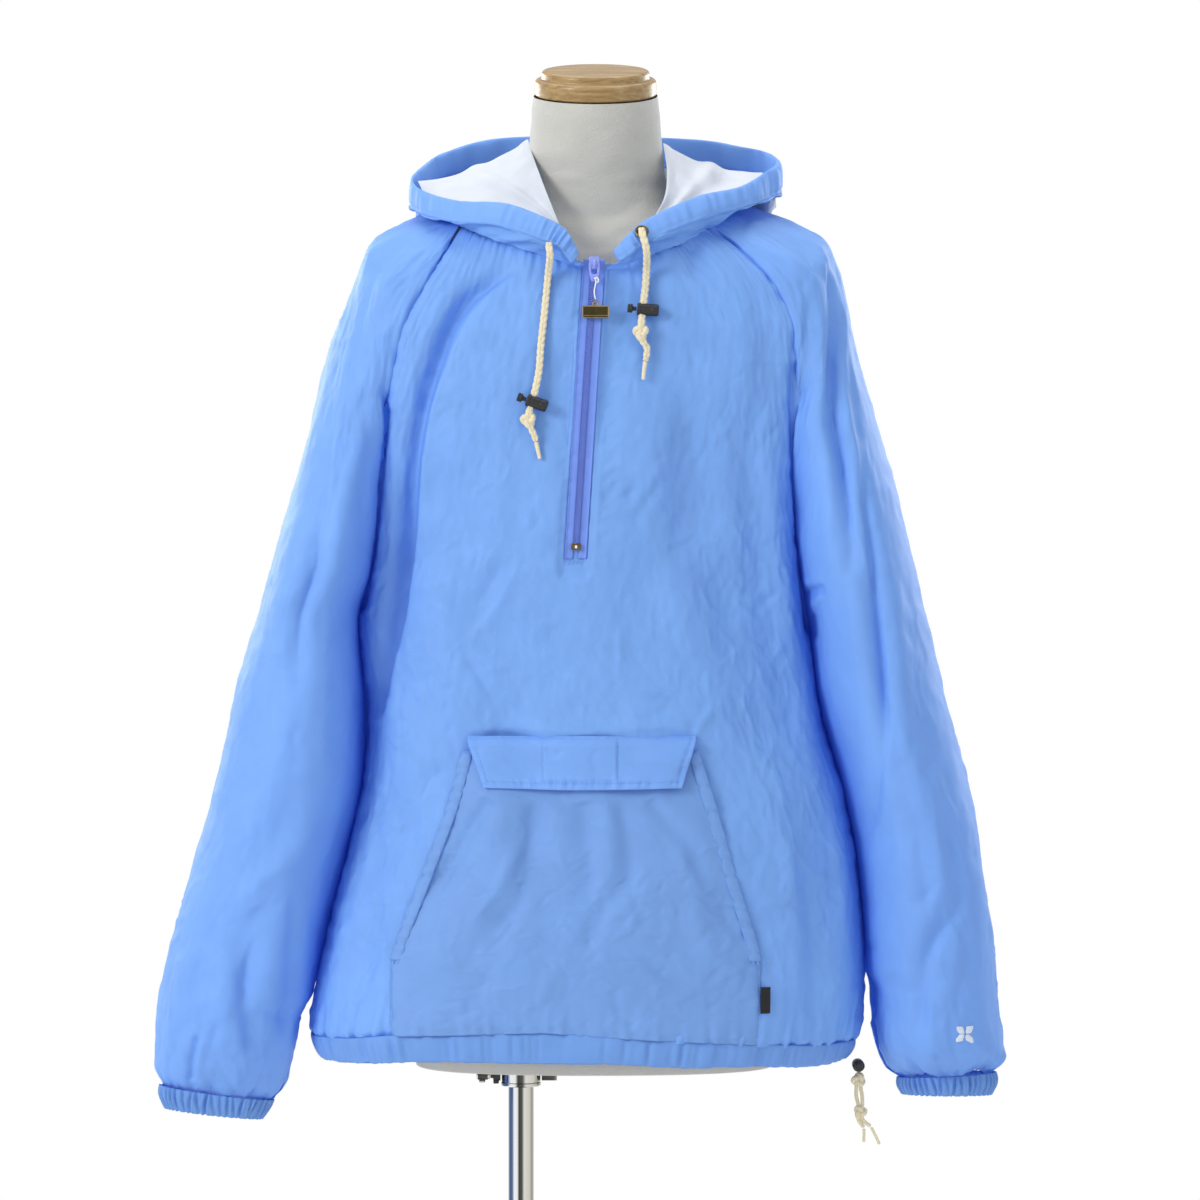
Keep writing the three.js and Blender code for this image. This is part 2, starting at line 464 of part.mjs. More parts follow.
// Pocket: panel with slanted hand openings, stitched bands along them, and a flap over its top
const POCKET = rows("z l r", [[886, -136, 112], [826, -146, 126], [768, -165, 142], [706, -188, 163], [680, -190, 166], [632, -190, 166]]);
const pocketL = (z) => at(POCKET, "z", z, "l"), pocketR = (z) => at(POCKET, "z", z, "r");
add("pocket_panel", onFront(8, 11, (v, s) => { const z = mix(884, 632, v); return [mix(pocketL(z), pocketR(z), s), z]; }, 1.7, 2.8), "shell");
add("pocket_band_left", onFront(7, 2, (v, s) => { const z = mix(882, 700, v), l = pocketL(z); return [mix(l + 0.5, l + 10.5, s), z]; }, 3.4, 4.2), "shell");
add("pocket_band_right", onFront(7, 2, (v, s) => { const z = mix(882, 700, v), r = pocketR(z); return [mix(r - 10.5, r - 0.5, s), z]; }, 3.4, 4.2), "shell");
add("pocket_flap", onFront(4, 11, (v, s) => { const z = mix(897, 851, v); return [mix(mix(-112, -96, v), mix(88.5, 74.5, v), s), z]; }, 5.0, 6.3), "shell");

// Half zip: two tapes, the closed chain, the bottom stop, slider, pull tab and its tag
const zipU = (z) => mix(ZIP.botU, ZIP.topU, (z - ZIP.botZ) / (ZIP.topZ - ZIP.botZ));
const strip = (z0, z1, a, b, near, far, n) => onFront(n, 2, (v, s) => { const z = mix(z0, z1, v); return [zipU(z) + mix(a, b, s), z]; }, near, far);
add("zip_tape_left", strip(1315, 1052, -ZIP.tape, -2.9, 0.6, 1.6, 13), "tape");
add("zip_tape_right", strip(1315, 1052, 2.9, ZIP.tape, 0.6, 1.6, 13), "tape");
add("zip_chain", strip(1303.5, 1066, -ZIP.chain, ZIP.chain, 0.7, 2.9, 13), "tape");
add("zip_stop", strip(1065.4, 1059.5, -4.2, 4.2, 2.0, 3.6, 2), "bronze");
const PIVOT = V(CX - 1, -112.3, 1309.5);
{
  const arch = new THREE.Shape();
  arch.absellipse(0, 0, 4.6, 4.4, 0, Math.PI, false);
  arch.lineTo(-4.6, -1.2); arch.lineTo(4.6, -1.2); arch.closePath();
  const hole = new THREE.Path();
  hole.absellipse(0, 1.5, 2.2, 1.55, 0, 2 * Math.PI, false);
  arch.holes.push(hole);
  const g = new THREE.ExtrudeGeometry(arch, { depth: 3, bevelEnabled: false, curveSegments: 9 });
  const body = new THREE.BoxGeometry(9.4, 11.5, 2.4);
  g.translate(0, 0, -1.5);
  g.rotateY(Math.PI / 2); // width along X, arch height along Y
  g.rotateX(Math.PI); // arch stands towards -Y
  const crown = toManifold(g), plate = toManifold(body.rotateX(Math.PI / 2).translate(0, 1.4, -0.5));
  add("zip_slider", fromManifold(plate.add(crown)).translate(PIVOT.x, PIVOT.y + 1.5, PIVOT.z), "enamel");
}
{
  const s = new THREE.Shape();
  s.moveTo(-4.9, 0.75); s.lineTo(4.9, 0.75); s.lineTo(4.9, -9); s.lineTo(3.4, -14.6); s.lineTo(-3.4, -14.6); s.lineTo(-4.9, -9); s.closePath();
  const win = new THREE.Path();
  win.moveTo(-2.9, -0.65); win.lineTo(-2.9, -8.4); win.lineTo(2.9, -8.4); win.lineTo(2.9, -0.65); win.closePath();
  s.holes.push(win);
  const g = new THREE.ExtrudeGeometry(s, { depth: 1.3, bevelEnabled: false });
  g.translate(0, 0, -0.65).rotateX(Math.PI / 2).translate(PIVOT.x, PIVOT.y, PIVOT.z);
  add("pull_tab", g, "enamel");
}
const TAG_PIVOT = V(PIVOT.x, PIVOT.y, PIVOT.z - 15.4);
{
  const n = 8, path = [V(0, 0, 0), V(0.3, -2.2, -5), V(0.2, -4.6, -11), V(1, -5.6, -15.6)].map((p) => p.add(TAG_PIVOT));
  const ringShape = new THREE.Shape();
  for (let j = 0; j < n; j++) { const a = (2 * Math.PI * j) / n; j ? ringShape.lineTo(0.8 * Math.cos(a), 0.8 * Math.sin(a)) : ringShape.moveTo(0.8, 0); }
  ringShape.closePath();
  add("tag_string", new THREE.ExtrudeGeometry(ringShape, { steps: 6, bevelEnabled: false, extrudePath: new THREE.CatmullRomCurve3(path) }), "lining");
  const s = new THREE.Shape();
  s.moveTo(-11.7, -16); s.lineTo(-11.7, -5); s.lineTo(-3, -5); s.lineTo(-3, -1.6); s.lineTo(-1.6, -0.3); s.lineTo(1.6, -0.3); s.lineTo(3, -1.6); s.lineTo(3, -5); s.lineTo(11.7, -5); s.lineTo(11.7, -16); s.closePath();
  const g = new THREE.ExtrudeGeometry(s, { depth: 1.5, bevelEnabled: false });
  g.translate(0, 0, -0.75).rotateX(Math.PI / 2).translate(TAG_PIVOT.x + 1.2, TAG_PIVOT.y - 5.8, TAG_PIVOT.z - 16);
  add("zip_tag", g, "bronze");
}

// Drawcords with their eyelets, spring locks, knots and tips
function tube(name, pts, r, sides, n, finish) {
  const s = new THREE.Shape();
  for (let j = 0; j < sides; j++) { const a = (2 * Math.PI * j) / sides; j ? s.lineTo(r * Math.cos(a), r * Math.sin(a)) : s.moveTo(r, 0); }
  s.closePath();
  return add(name, new THREE.ExtrudeGeometry(s, { steps: n, bevelEnabled: false, extrudePath: new THREE.CatmullRomCurve3(pts) }), finish);
}
const lathe = (profile, n) => new THREE.LatheGeometry(profile.map(([x, y]) => new THREE.Vector2(x, y)), n);
function knot(name, c, r, stretch) {
  return add(name, new THREE.SphereGeometry(r, 12, 9).scale(1, 0.92, stretch).translate(c.x, c.y, c.z), "cord");
}
// Lock along +Y of its own frame: plunger end up.
function lock(prefix, c, dir) {
  const L = LOCK, half = (L.len + L.gap + L.press) / 2, q = new THREE.Quaternion().setFromUnitVectors(V(0, 1, 0), dir.clone().normalize());
  const place = (g) => g.applyQuaternion(q).translate(c.x, c.y, c.z);
  const y0 = -half, y1 = y0 + L.len;
  add(prefix + "_barrel", place(lathe([[0, y0], [L.r - 1.2, y0], [L.r, y0 + 1.2], [L.r, y1 - 0.8], [L.r - 0.8, y1], [L.bore, y1], [L.bore, y1 - L.depth], [0, y1 - L.depth]], 16)), "black");
  add(prefix + "_plunger", place(lathe([[0, y1 - 4.5], [L.stem, y1 - 4.5], [L.stem, y1 + L.gap], [L.button, y1 + L.gap], [L.button, y1 + L.gap + L.press - 1], [L.button - 1, y1 + L.gap + L.press], [0, y1 + L.gap + L.press]], 14)), "black");
}
const onChest = (u, z, off) => { const p = frontXZ(u, z); return V(p.x, p.y - off, z); };
const LOCK_L = onChest(-55, 1189, LOCK.r + 1.2), LOCK_R = onChest(41.7, 1270, LOCK.r + 1.2);
const DIR_L = V(-Math.cos(0.33), 0, Math.sin(0.33)), DIR_R = V(-Math.cos(0.082), 0, Math.sin(0.082));
lock("cord_lock_left", LOCK_L, DIR_L);
lock("cord_lock_right", LOCK_R, DIR_R);
const CHEST_OFF = CORD_R + 1.4;
const EYE_LN = V(0.03, -0.25, -1).normalize(), EYE_L = rimAt(0.09).add(bandAt(0.09)).add(V(-0.5, -5.2, -0.4)); // the left cord comes out under the rim
const { mid: EYE_MID, nrm: EYE_RN0 } = casingAt(0.912);
const EYE_RN = EYE_RN0.y > 0 ? EYE_RN0.negate() : EYE_RN0, EYE_R = EYE_MID.clone().addScaledVector(EYE_RN, 3.3);
tube("cord_left_upper", [EYE_L.clone().addScaledVector(EYE_LN, 1.2), EYE_L.clone().addScaledVector(EYE_LN, 6), V(CX - 39.6, -125.2, 1318), onChest(-41.5, 1300, CHEST_OFF + 4), onChest(-44.5, 1268, CHEST_OFF), onChest(-47.5, 1240, CHEST_OFF), onChest(-49.5, 1215, CHEST_OFF), V(CX - 53.5, LOCK_L.y, LOCK_L.z + 6.2)], CORD_R, 8, 18, "cord");
tube("cord_right_upper", [EYE_R.clone().addScaledVector(EYE_RN, 3.4), EYE_R.clone().addScaledVector(EYE_RN, 5.4).add(V(0.3, 0, -2)), V(CX + 44.3, -125.4, 1322), onChest(44.6, 1304, CHEST_OFF + 3.4), onChest(43.6, 1289, CHEST_OFF + 0.5), V(CX + 42, LOCK_R.y, LOCK_R.z + 6)], CORD_R, 8, 12, "cord");
const KNOT_L = onChest(-58.5, 1172.8, 7.2), KNOT_R = onChest(39.6, 1249.5, 7.2);
knot("cord_knot_left", KNOT_L, 5.9, 1.15);
knot("cord_knot_right", KNOT_R, 5.9, 1.25);
tube("cord_left_lower", [V(KNOT_L.x + 2.4, KNOT_L.y, KNOT_L.z - 7), onChest(-53, 1158.5, CHEST_OFF + 0.5), onChest(-52, 1154, CHEST_OFF)], 2.9, 8, 3, "cord");
tube("cord_right_lower", [V(KNOT_R.x + 2.0, KNOT_R.y, KNOT_R.z - 7.6), onChest(45, 1236, CHEST_OFF), onChest(44.6, 1230, CHEST_OFF - 0.4), onChest(43.6, 1224.5, CHEST_OFF - 0.6)], 2.9, 8, 5, "cord");
tube("cord_tip_left", [onChest(-51.7, 1153.2, CHEST_OFF), onChest(-50, 1146, CHEST_OFF - 0.6), onChest(-48.4, 1139, CHEST_OFF - 0.8)], 1.9, 8, 3, "cord");
tube("cord_tip_right", [onChest(43.4, 1223.8, CHEST_OFF - 0.6), onChest(42.4, 1216, CHEST_OFF - 0.8), onChest(41.6, 1208, CHEST_OFF - 1)], 1.9, 8, 3, "cord");
function eyelet(name, c, normal) {
  const g = lathe([[3.6, -0.5], [5.9, -0.5], [5.9, 0.2], [5.2, 0.7], [4.2, 0.7], [3.6, 0.2], [3.6, -0.5]], 16);
  add(name, g.applyQuaternion(new THREE.Quaternion().setFromUnitVectors(V(0, 1, 0), normal.clone().normalize())).translate(c.x, c.y, c.z), "bronze");
}

eyelet("eyelet_right", EYE_R, EYE_RN);

// Hem drawcord: eyelet, lock, two knots, the doubled cord and its ends
const HEM_LOCK = V(CX + 235, -28, 600);
lock("hem_lock", HEM_LOCK, V(0, -1, 0));
const HK1 = V(HEM_LOCK.x, HEM_LOCK.y, HEM_LOCK.z - 12.6), HK2 = V(HEM_LOCK.x + 1.5, HEM_LOCK.y, HEM_LOCK.z - 41.5);
knot("hem_knot_upper", HK1, 6.2, 1.05);
knot("hem_knot_lower", HK2, 5.6, 1.1);
for (const [tag, s] of [["a", -1], ["b", 1]]) {
  const x = (p, k) => V(p.x + s * k, p.y, p.z);
  tube("hem_cord_" + tag + "_middle", [x(HK1, 1.95).add(V(0, 0, -7.1)), x(HK1, 2.6).add(V(0.6, 0, -14)), x(HK2, 1.95).add(V(0, 0, 6.9))], HEM_CORD_R, 8, 5, "cord");
  const end = s < 0 ? V(3.2, -1, -27) : V(17.3, -1, -29);
  const mid = s < 0 ? V(3.4, -0.6, -14) : V(9.5, -0.6, -13);
  tube("hem_cord_" + tag + "_end", [x(HK2, 1.95).add(V(0.4, 0, -6.9)), HK2.clone().add(mid)], HEM_CORD_R, 8, 3, "cord");
  const d = HK2.clone().add(end).sub(HK2.clone().add(mid)).normalize();
  tube("hem_tip_" + tag, [HK2.clone().add(mid).addScaledVector(d, 0.9), HK2.clone().add(end)], 1.4, 8, 2, "cord");
}

// Side label, bare
add("side_label", onFront(3, 2, (v, s) => [mix(164.6, 173.4, s), mix(683, 660, v)], 3.4, 4.0), "label");

// Dress form with a bore for the pole, neck and turned cap
{
  const N = 26, sect = (z, w, d, n, y, tilt, cz) => Array.from({ length: N }, (_, j) => {
    const a = (2 * Math.PI * j) / N, c = Math.cos(a), s = Math.sin(a);
    const px = w * Math.sign(c) * Math.abs(c) ** (2 / n), py = d * Math.sign(s) * Math.abs(s) ** (2 / n);
    return V(CX + px, y + py * Math.cos(tilt), z + py * Math.sin(tilt));
  });
  const list = [];
  for (const z of [FORM_BOTTOM, 604, 680, 750, 815, 880, 950, 1020, 1085, 1150, 1200, 1260, 1300, 1325, 1341, 1354, 1366, 1380, 1398]) {
    const g = (c) => at(FORM, "z", z, c);
    list.push(sect(z, g("w"), g("d"), g("n"), g("y"), 0));
  }
  for (const f of [0.5, 1]) {
    const tilt = NECK_TILT * f, L = 72 * f;
    list.push(sect(1398 + L * Math.cos(NECK_TILT), mix(62.5, 55.5, f), mix(56.5, 55.5, f), 2, 2 - L * Math.sin(NECK_TILT), tilt));
  }
  const torso = toManifold(loft(list, false));
  const bore = toManifold(new THREE.CylinderGeometry(BORE_R, BORE_R, BORE_TOP - FORM_BOTTOM + 4, 24).rotateX(Math.PI / 2).translate(0, 0, (BORE_TOP + FORM_BOTTOM - 4) / 2));
  add("form_torso", fromManifold(torso.subtract(bore)), "knit");
  const cap = lathe([[0, 0], [CAP.r1 - 1.5, 0], [CAP.r1, 2], [CAP.r1, CAP.h1 - 3], [CAP.r1 - 1.5, CAP.h1], [CAP.r2 + 1, CAP.h1 + 0.6], [CAP.r2, CAP.h1 + 1.6], [CAP.r2, CAP.h1 + CAP.h2 - 2], [CAP.r2 - 2, CAP.h1 + CAP.h2], [0, CAP.h1 + CAP.h2]], 28);
  cap.rotateX(Math.PI / 2).rotateX(NECK_TILT).translate(CX, 2 - 72.5 * Math.sin(NECK_TILT), 1398 + 72.5 * Math.cos(NECK_TILT));
  add("neck_cap", cap, "wood");
}

// Stand: weighted base, pole, clamp collar with its screws and cross tube
add("base", lathe([[0, 0], [BASE_R - 1, 0], [BASE_R, 1], [BASE_R, BASE_H - 3], [BASE_R - 3, BASE_H], [34, BASE_H + 3], [22, HUB_H], [POLE_R + 0.4, HUB_H], [POLE_R + 0.4, 3], [0, 3]], 32).rotateX(Math.PI / 2), "steel");
add("pole", lathe([[0, 3.4], [POLE_R, 3.4], [POLE_R, POLE_TOP - 2], [POLE_R - 2, POLE_TOP], [0, POLE_TOP]], 24).rotateX(Math.PI / 2), "chrome");
add("clamp_collar", lathe([[POLE_R + 0.5, 579], [17, 579], [18, 580.5], [18, 595], [17, 596.5], [POLE_R + 0.5, 596.5], [POLE_R + 0.5, 579]], 24).rotateX(Math.PI / 2), "chrome");
{
  // one solid: a screw towards -X with a black wing, and the free wing nut on its end
  const rod = (r, x0, x1, n = 12) => toManifold(new THREE.CylinderGeometry(r, r, x1 - x0, n).rotateZ(Math.PI / 2).translate((x0 + x1) / 2, 0, 588));
  const wing = (x, w, h, t) => {
    const s = new THREE.Shape();
    s.moveTo(-h, -t); s.lineTo(-h * 0.4, -t * 0.7); s.lineTo(h * 0.4, -t * 0.7); s.lineTo(h, -t); s.lineTo(h, t); s.lineTo(h * 0.4, t * 0.7); s.lineTo(-h * 0.4, t * 0.7); s.lineTo(-h, t); s.closePath();
    return toManifold(new THREE.ExtrudeGeometry(s, { depth: w, bevelEnabled: false }).rotateY(Math.PI / 2).rotateX(Math.PI / 2).translate(x, 0, 588));
  };
  add("wing_bolt", fromManifold(rod(4.6, -25, -18.4).add(wing(-25, 5, 7, 2.4)).add(rod(2.4, -27.6, -24))), "black");
  add("wing_nut", fromManifold(rod(3.8, -40, -28).add(wing(-38, 6, 6, 1.6))), "chrome");
  const out = toManifold(new THREE.CylinderGeometry(5, 5, 14, 18).rotateZ(Math.PI / 2).translate(25.4, 0, 588.5));
  const inn = toManifold(new THREE.CylinderGeometry(3.8, 3.8, 12, 18).rotateZ(Math.PI / 2).translate(27.5, 0, 588.5));
  add("cross_tube", fromManifold(out.subtract(inn)), "chrome");
}

export default garment;
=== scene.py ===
# Looks of a hooded half-zip anorak pullover on a limbless dress form with a pole stand.
# Lengths are millimetres until a mesh is made; +Z up, the front faces -Y.
import math
import bpy
import bmesh
import numpy as np
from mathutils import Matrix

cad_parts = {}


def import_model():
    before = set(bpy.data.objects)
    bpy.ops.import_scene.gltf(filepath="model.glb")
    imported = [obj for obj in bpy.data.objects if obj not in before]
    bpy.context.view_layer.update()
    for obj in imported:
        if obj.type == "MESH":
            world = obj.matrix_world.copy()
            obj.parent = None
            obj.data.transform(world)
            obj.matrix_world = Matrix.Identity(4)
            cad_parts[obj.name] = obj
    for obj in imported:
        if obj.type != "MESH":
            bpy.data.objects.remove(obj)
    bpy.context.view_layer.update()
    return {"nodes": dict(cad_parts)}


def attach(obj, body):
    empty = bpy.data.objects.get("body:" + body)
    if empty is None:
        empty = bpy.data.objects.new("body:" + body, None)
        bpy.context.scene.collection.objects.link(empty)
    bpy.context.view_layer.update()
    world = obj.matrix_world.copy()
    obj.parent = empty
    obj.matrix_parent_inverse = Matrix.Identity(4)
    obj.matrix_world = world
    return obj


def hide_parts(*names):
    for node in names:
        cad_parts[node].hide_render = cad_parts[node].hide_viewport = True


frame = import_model()
NODES = frame["nodes"]

# ---- driving dimensions, the same as the solids' ----
CX = 67.0
WALL = 1.5
ROUND = 2.3
HEM_SEAM_Z, HEM_Z = 628.0, 611.0
NECK_LOW_Z, NECK_RISE = 1302.0, 43.0
ZIP = dict(topU=-1.0, topZ=1314.0, botU=-17.0, botZ=1061.0, tape=8.2, chain=2.6)
CORD_R, HEM_CORD_R = 3.3, 1.7
POLE_R, POLE_TOP, BASE_R, BASE_H, HUB_H = 11.5, 690.0, 160.0, 10.0, 34.0
FORM_BOTTOM = 598.0
NECK_TILT = math.radians(14)
CAP = dict(r1=54.7, h1=15.0, r2=48.5, h2=7.5)
LOCK = dict(r=5.4, len=19.0, bore=2.3, depth=9.5, gap=4.0, stem=1.8, button=3.9, press=4.5)


def rows(names, table):
    a = np.array(table, float)
    return {k: a[:, i] for i, k in enumerate(names.split(" "))}


FRONT = rows("z L yL R yR d b", [
  [1346, -120, -66, 102, -66, 92, 1.0],
  [1320, -134, -80, 134, -80, 100, 1.0],
  [1297, -147, -88, 155, -88, 105, 1.0],
  [1261, -166, -93, 172, -93, 112, 1.0],
  [1230, -175, -90, 176, -90, 116, 1.0],
  [1195, -182, -84, 177, -84, 119, 0.95],
  [1147, -191, -72, 178, -72, 119, 0.8],
  [1100, -196, -58, 180, -58, 117, 0.66],
  [1061, -199, -42, 183, -43, 115, 0.56],
  [1025, -207, -20, 188, -24, 114, 0.48],
  [1000, -214, -0.2, 192, -10, 114, 0.44],
  [980, -213, -0.2, 195, -0.2, 114, 0.42],
  [926, -208, -0.2, 201, -0.2, 115, 0.42],
  [895, -206, -0.2, 208, -0.2, 116, 0.42],
  [857, -210, -0.2, 221, -0.2, 119, 0.42],
  [792, -224, -0.2, 234, -0.2, 124, 0.42],
  [745, -236, -0.2, 239, -0.2, 128, 0.42],
  [706, -245, -0.2, 242, -0.2, 132, 0.42],
  [662, -254, -0.2, 242, -0.2, 137, 0.42],
  [628, -257, -0.2, 236, -0.2, 139, 0.42],
  [611, -249, -0.2, 228, -0.2, 136, 0.42],
])
BACK = rows("z L yL R yR d b", [
  [1392, -92, 70, 92, 70, 84, 1.0],
  [1340, -127, 95, 127, 95, 105, 1.0],
  [1290, -152, 105, 152, 105, 116, 1.0],
  [1250, -167, 107, 169, 107, 119, 1.0],
  [1205, -179, 103, 176, 103, 120, 0.95],
  [1150, -192, 92, 180, 92, 119, 0.8],
  [1100, -198, 74, 182, 74, 115, 0.66],
  [1065, -201, 55, 185, 55, 112, 0.56],
  [1025, -209, 24, 190, 28, 110, 0.48],
  [1000, -214, 0.2, 192, 10, 109, 0.44],
  [980, -213, 0.2, 195, 0.2, 108, 0.42],
  [926, -208, 0.2, 201, 0.2, 107, 0.42],
  [895, -206, 0.2, 208, 0.2, 108, 0.42],
  [857, -210, 0.2, 221, 0.2, 110, 0.42],
  [792, -224, 0.2, 234, 0.2, 115, 0.42],
  [745, -236, 0.2, 239, 0.2, 119, 0.42],
  [706, -245, 0.2, 242, 0.2, 122, 0.42],
  [662, -254, 0.2, 242, 0.2, 126, 0.42],
  [628, -257, 0.2, 236, 0.2, 128, 0.42],
  [611, -249, 0.2, 228, 0.2, 126, 0.42],
])
# Largest folds: a soft trough from one end to the other, pressed towards the form.
FRONT_FOLDS = rows("u1 z1 u2 z2 depth width", [
  [-102, 1282, -145, 1205, 9, 17],
  [-145, 1205, -158, 1090, 15, 20],
  [-158, 1090, -186, 935, 16, 22],
  [70, 1235, 112, 1010, 5, 22],
  [128, 1190, 160, 900, 7, 24],
  [-70, 1000, -30, 700, 5, 26],
])
BACK_FOLDS = rows("u1 z1 u2 z2 depth width", [
  [-120, 1270, -160, 1050, 13, 22],
  [118, 1285, 158, 1060, 15, 22],
  [-40, 1100, -85, 760, 7, 26],
  [60, 1150, 92, 820, 8, 28],
])
# Sleeve above the armpit: height on the front and back raglan seams, outermost point and its height,
# how far the sleeve bellies past its seams, how closed the section is, and the clearance to the body.
YOKE = rows("fz bz oL oR oz B q g", [
  [1346, 1392, 112, 112, 1379, 0, 0, 0.9],
  [1322, 1362, 140, 140, 1368, 0, 0, 0.9],
  [1297, 1335, 168, 168, 1356.5, 0, 0, 0.9],
  [1262, 1295, 190, 190, 1347, 0, 0, 0.9],
  [1232, 1255, 205, 205, 1334, 0, 0, 0.9],
  [1198, 1210, 219, 220, 1296, 8, 0.1, 0.9],
  [1150, 1152, 240, 240, 1228, 30, 0.35, 1.1],
  [1092, 1094, 262, 260, 1152, 60, 0.65, 1.5],
  [1042, 1042, 283, 277, 1078, 90, 0.88, 2.6],
  [1002, 1002, 304, 296, 1006, 108, 1, 4.0],
])
# Sleeve below the armpit: inner and outer point of each section, half depth, and middle of the depth.
TUBE_L = rows("i iz o oz B yc", [
  [213, 930, 323, 930, 104, -2],
  [215, 857, 340, 857, 97, -5],
  [229, 792, 359, 792, 88, -8],
  [248, 720, 377, 720, 80, -11],
  [260, 660, 390, 662, 72, -14],
  [268, 618, 394, 625, 62, -16],
  [276, 592, 394.5, 604, 46, -18],
  [287.6, 569.5, 391, 583, 24, -20],
])
TUBE_R = rows("i iz o oz B yc", [
  [206, 930, 313, 930, 104, -2],
  [226, 857, 331, 857, 97, -5],
  [240, 792, 345, 792, 88, -8],
  [247, 720, 357, 720, 80, -11],
  [248, 660, 360, 660, 72, -14],
  [252, 622, 364, 622, 62, -16],
  [260, 604, 364, 608, 46, -18],
  [269.5, 590, 359, 594.5, 24, -20],
])
CUFF_L = rows("i iz o oz B", [[287.6, 568.8, 391, 582.4, 24], [293, 560, 390, 572.5, 24], [297.5, 551.5, 386.5, 561.5, 21.5]])
CUFF_R = rows("i iz o oz B", [[269.5, 589.3, 359, 593.8, 24], [270.5, 581.5, 359, 584, 24], [273.5, 574, 355.5, 573.5, 21.5]])
# Hood laid back round the neck: the opening's edge (u, y, z), the casing's width as a vector from it,
# the direction the pouch leans, and how far its two controls stand out and drop.
HOOD = rows("t u y z bu by bz oa e1 d1 e2 d2", [
  [0.0, -15, -113, 1318, -5, -3, -8, -90, 1, 1, 1, -1],
  [0.06, -26, -113.5, 1338, -8, -4, -12, -95, 2, 1, 1, -1],
  [0.12, -42, -110, 1348.5, -7, -6, -16, -105, 4, 2, 2, -1],
  [0.18, -79, -98, 1363, -7, -7, -18, -120, 6, 2, 3, -2],
  [0.24, -121, -78, 1367, -4, -6, -17, -140, 14, 4, 5, -3],
  [0.3, -155, -42, 1380, -1, -3, -19, -165, 26, 4, 8, -8],
  [0.34, -165, -8, 1393, 1, 0, -21, 180, 30, 6, 14, -14],
  [0.38, -154, 32, 1410, 1, 3, -23, 150, 34, 10, 40, -40],
  [0.42, -137, 62, 1424, 0, 5, -24, 118, 62, -120, 96, -150],
  [0.46, -90, 95, 1440, 0, 6, -25, 100, 100, -180, 130, -250],
  [0.5, 0, 112, 1444, 0, 6, -25, 90, 108, -210, 140, -290],
  [0.54, 92, 95, 1439, 0, 6, -25, 80, 100, -180, 130, -250],
  [0.58, 130, 66, 1430, 0, 5, -24, 62, 62, -120, 96, -150],
  [0.62, 155, 42, 1422, -1, 3, -23, 30, 34, 10, 40, -40],
  [0.66, 165, 4, 1409, 0, 0, -24, 0, 30, 6, 14, -14],
  [0.7, 153, -28, 1398, 2, -3, -22, -15, 26, 4, 8, -8],
  [0.76, 127.5, -60, 1381, 3, -6, -17, -40, 14, 4, 5, -3],
  [0.82, 90, -90, 1370, 5, -7, -18, -60, 6, 2, 3, -2],
  [0.88, 47, -109, 1349, 7, -6, -15, -75, 4, 2, 2, -1],
  [0.94, 32, -113, 1337, 8, -4, -12, -85, 2, 1, 1, -1],
  [1.0, 15.4, -113, 1319.6, 5, -3, -8, -90, 1, 1, 1, -1],
])
# Dress form by height: half width, half depth, blunt corner exponent, and shift of the middle to the back.
FORM = rows("z w d n y", [
  [FORM_BOTTOM, 160, 97, 2.4, 0],
  [604, 163, 100, 2.4, 0],
  [680, 167, 102, 2.4, 0],
  [750, 166, 102, 2.4, 0],
  [850, 152, 92, 2.3, 0],
  [950, 141, 84, 2.3, 0],
  [1050, 148, 90, 2.3, 0],
  [1130, 158, 97, 2.3, 0],
  [1200, 164, 98, 2.3, 0],
  [1260, 169, 93, 2.3, 2],
  [1300, 172, 82, 2.2, 4],
  [1325, 167, 71, 2.2, 6],
  [1341, 147, 63, 2.1, 7],
  [1354, 116, 58, 2.0, 8],
  [1366, 86, 56, 2.0, 8],
  [1380, 69, 56, 2.0, 6],
  [1398, 62.5, 56.5, 2.0, 2],
])


# ---- surfaces ----
def vec(x, y, z):
    x, y, z = np.broadcast_arrays(np.asarray(x, float), np.asarray(y, float), np.asarray(z, float))
    return np.stack([x, y, z], -1)


def mix(a, b, t):
    return a + (b - a) * t


def smooth(t):
    c = np.clip(t, 0, 1)
    return c * c * (3 - 2 * c)


def at(T, key, x, col):
    X, Y = T[key], T[col]
    if X[-1] < X[0]:
        X, Y = X[::-1], Y[::-1]
    n = len(X)
    x = np.clip(x, X[0], X[-1])
    i = np.clip(np.searchsorted(X, x, side="right") - 1, 0, n - 2)
    k = np.arange(n)
    hi, lo = np.minimum(k + 1, n - 1), np.maximum(k - 1, 0)
    m = (Y[hi] - Y[lo]) / (X[hi] - X[lo])
    h = X[i + 1] - X[i]
    t = (x - X[i]) / h
    t2, t3 = t * t, t * t * t
    return (2 * t3 - 3 * t2 + 1) * Y[i] + (t3 - 2 * t2 + t) * h * m[i] + (3 * t2 - 2 * t3) * Y[i + 1] + (t3 - t2) * h * m[i + 1]


def folds(T, u, z):
    out = 0
    for u1, z1, u2, z2, depth, width in zip(*[T[c] for c in ("u1", "z1", "u2", "z2", "depth", "width")]):
        du, dz = u2 - u1, z2 - z1
        s = ((u - u1) * du + (z - z1) * dz) / (du * du + dz * dz)
        off = np.hypot(u - u1 - s * du, z - z1 - s * dz)
        out = out + depth * np.exp(-((off / width) ** 2)) * smooth((s + 0.16) / 0.32) * smooth((1.16 - s) / 0.32)
    return out


def neckline(s):
    return NECK_LOW_Z + NECK_RISE * np.abs(s) ** 1.1


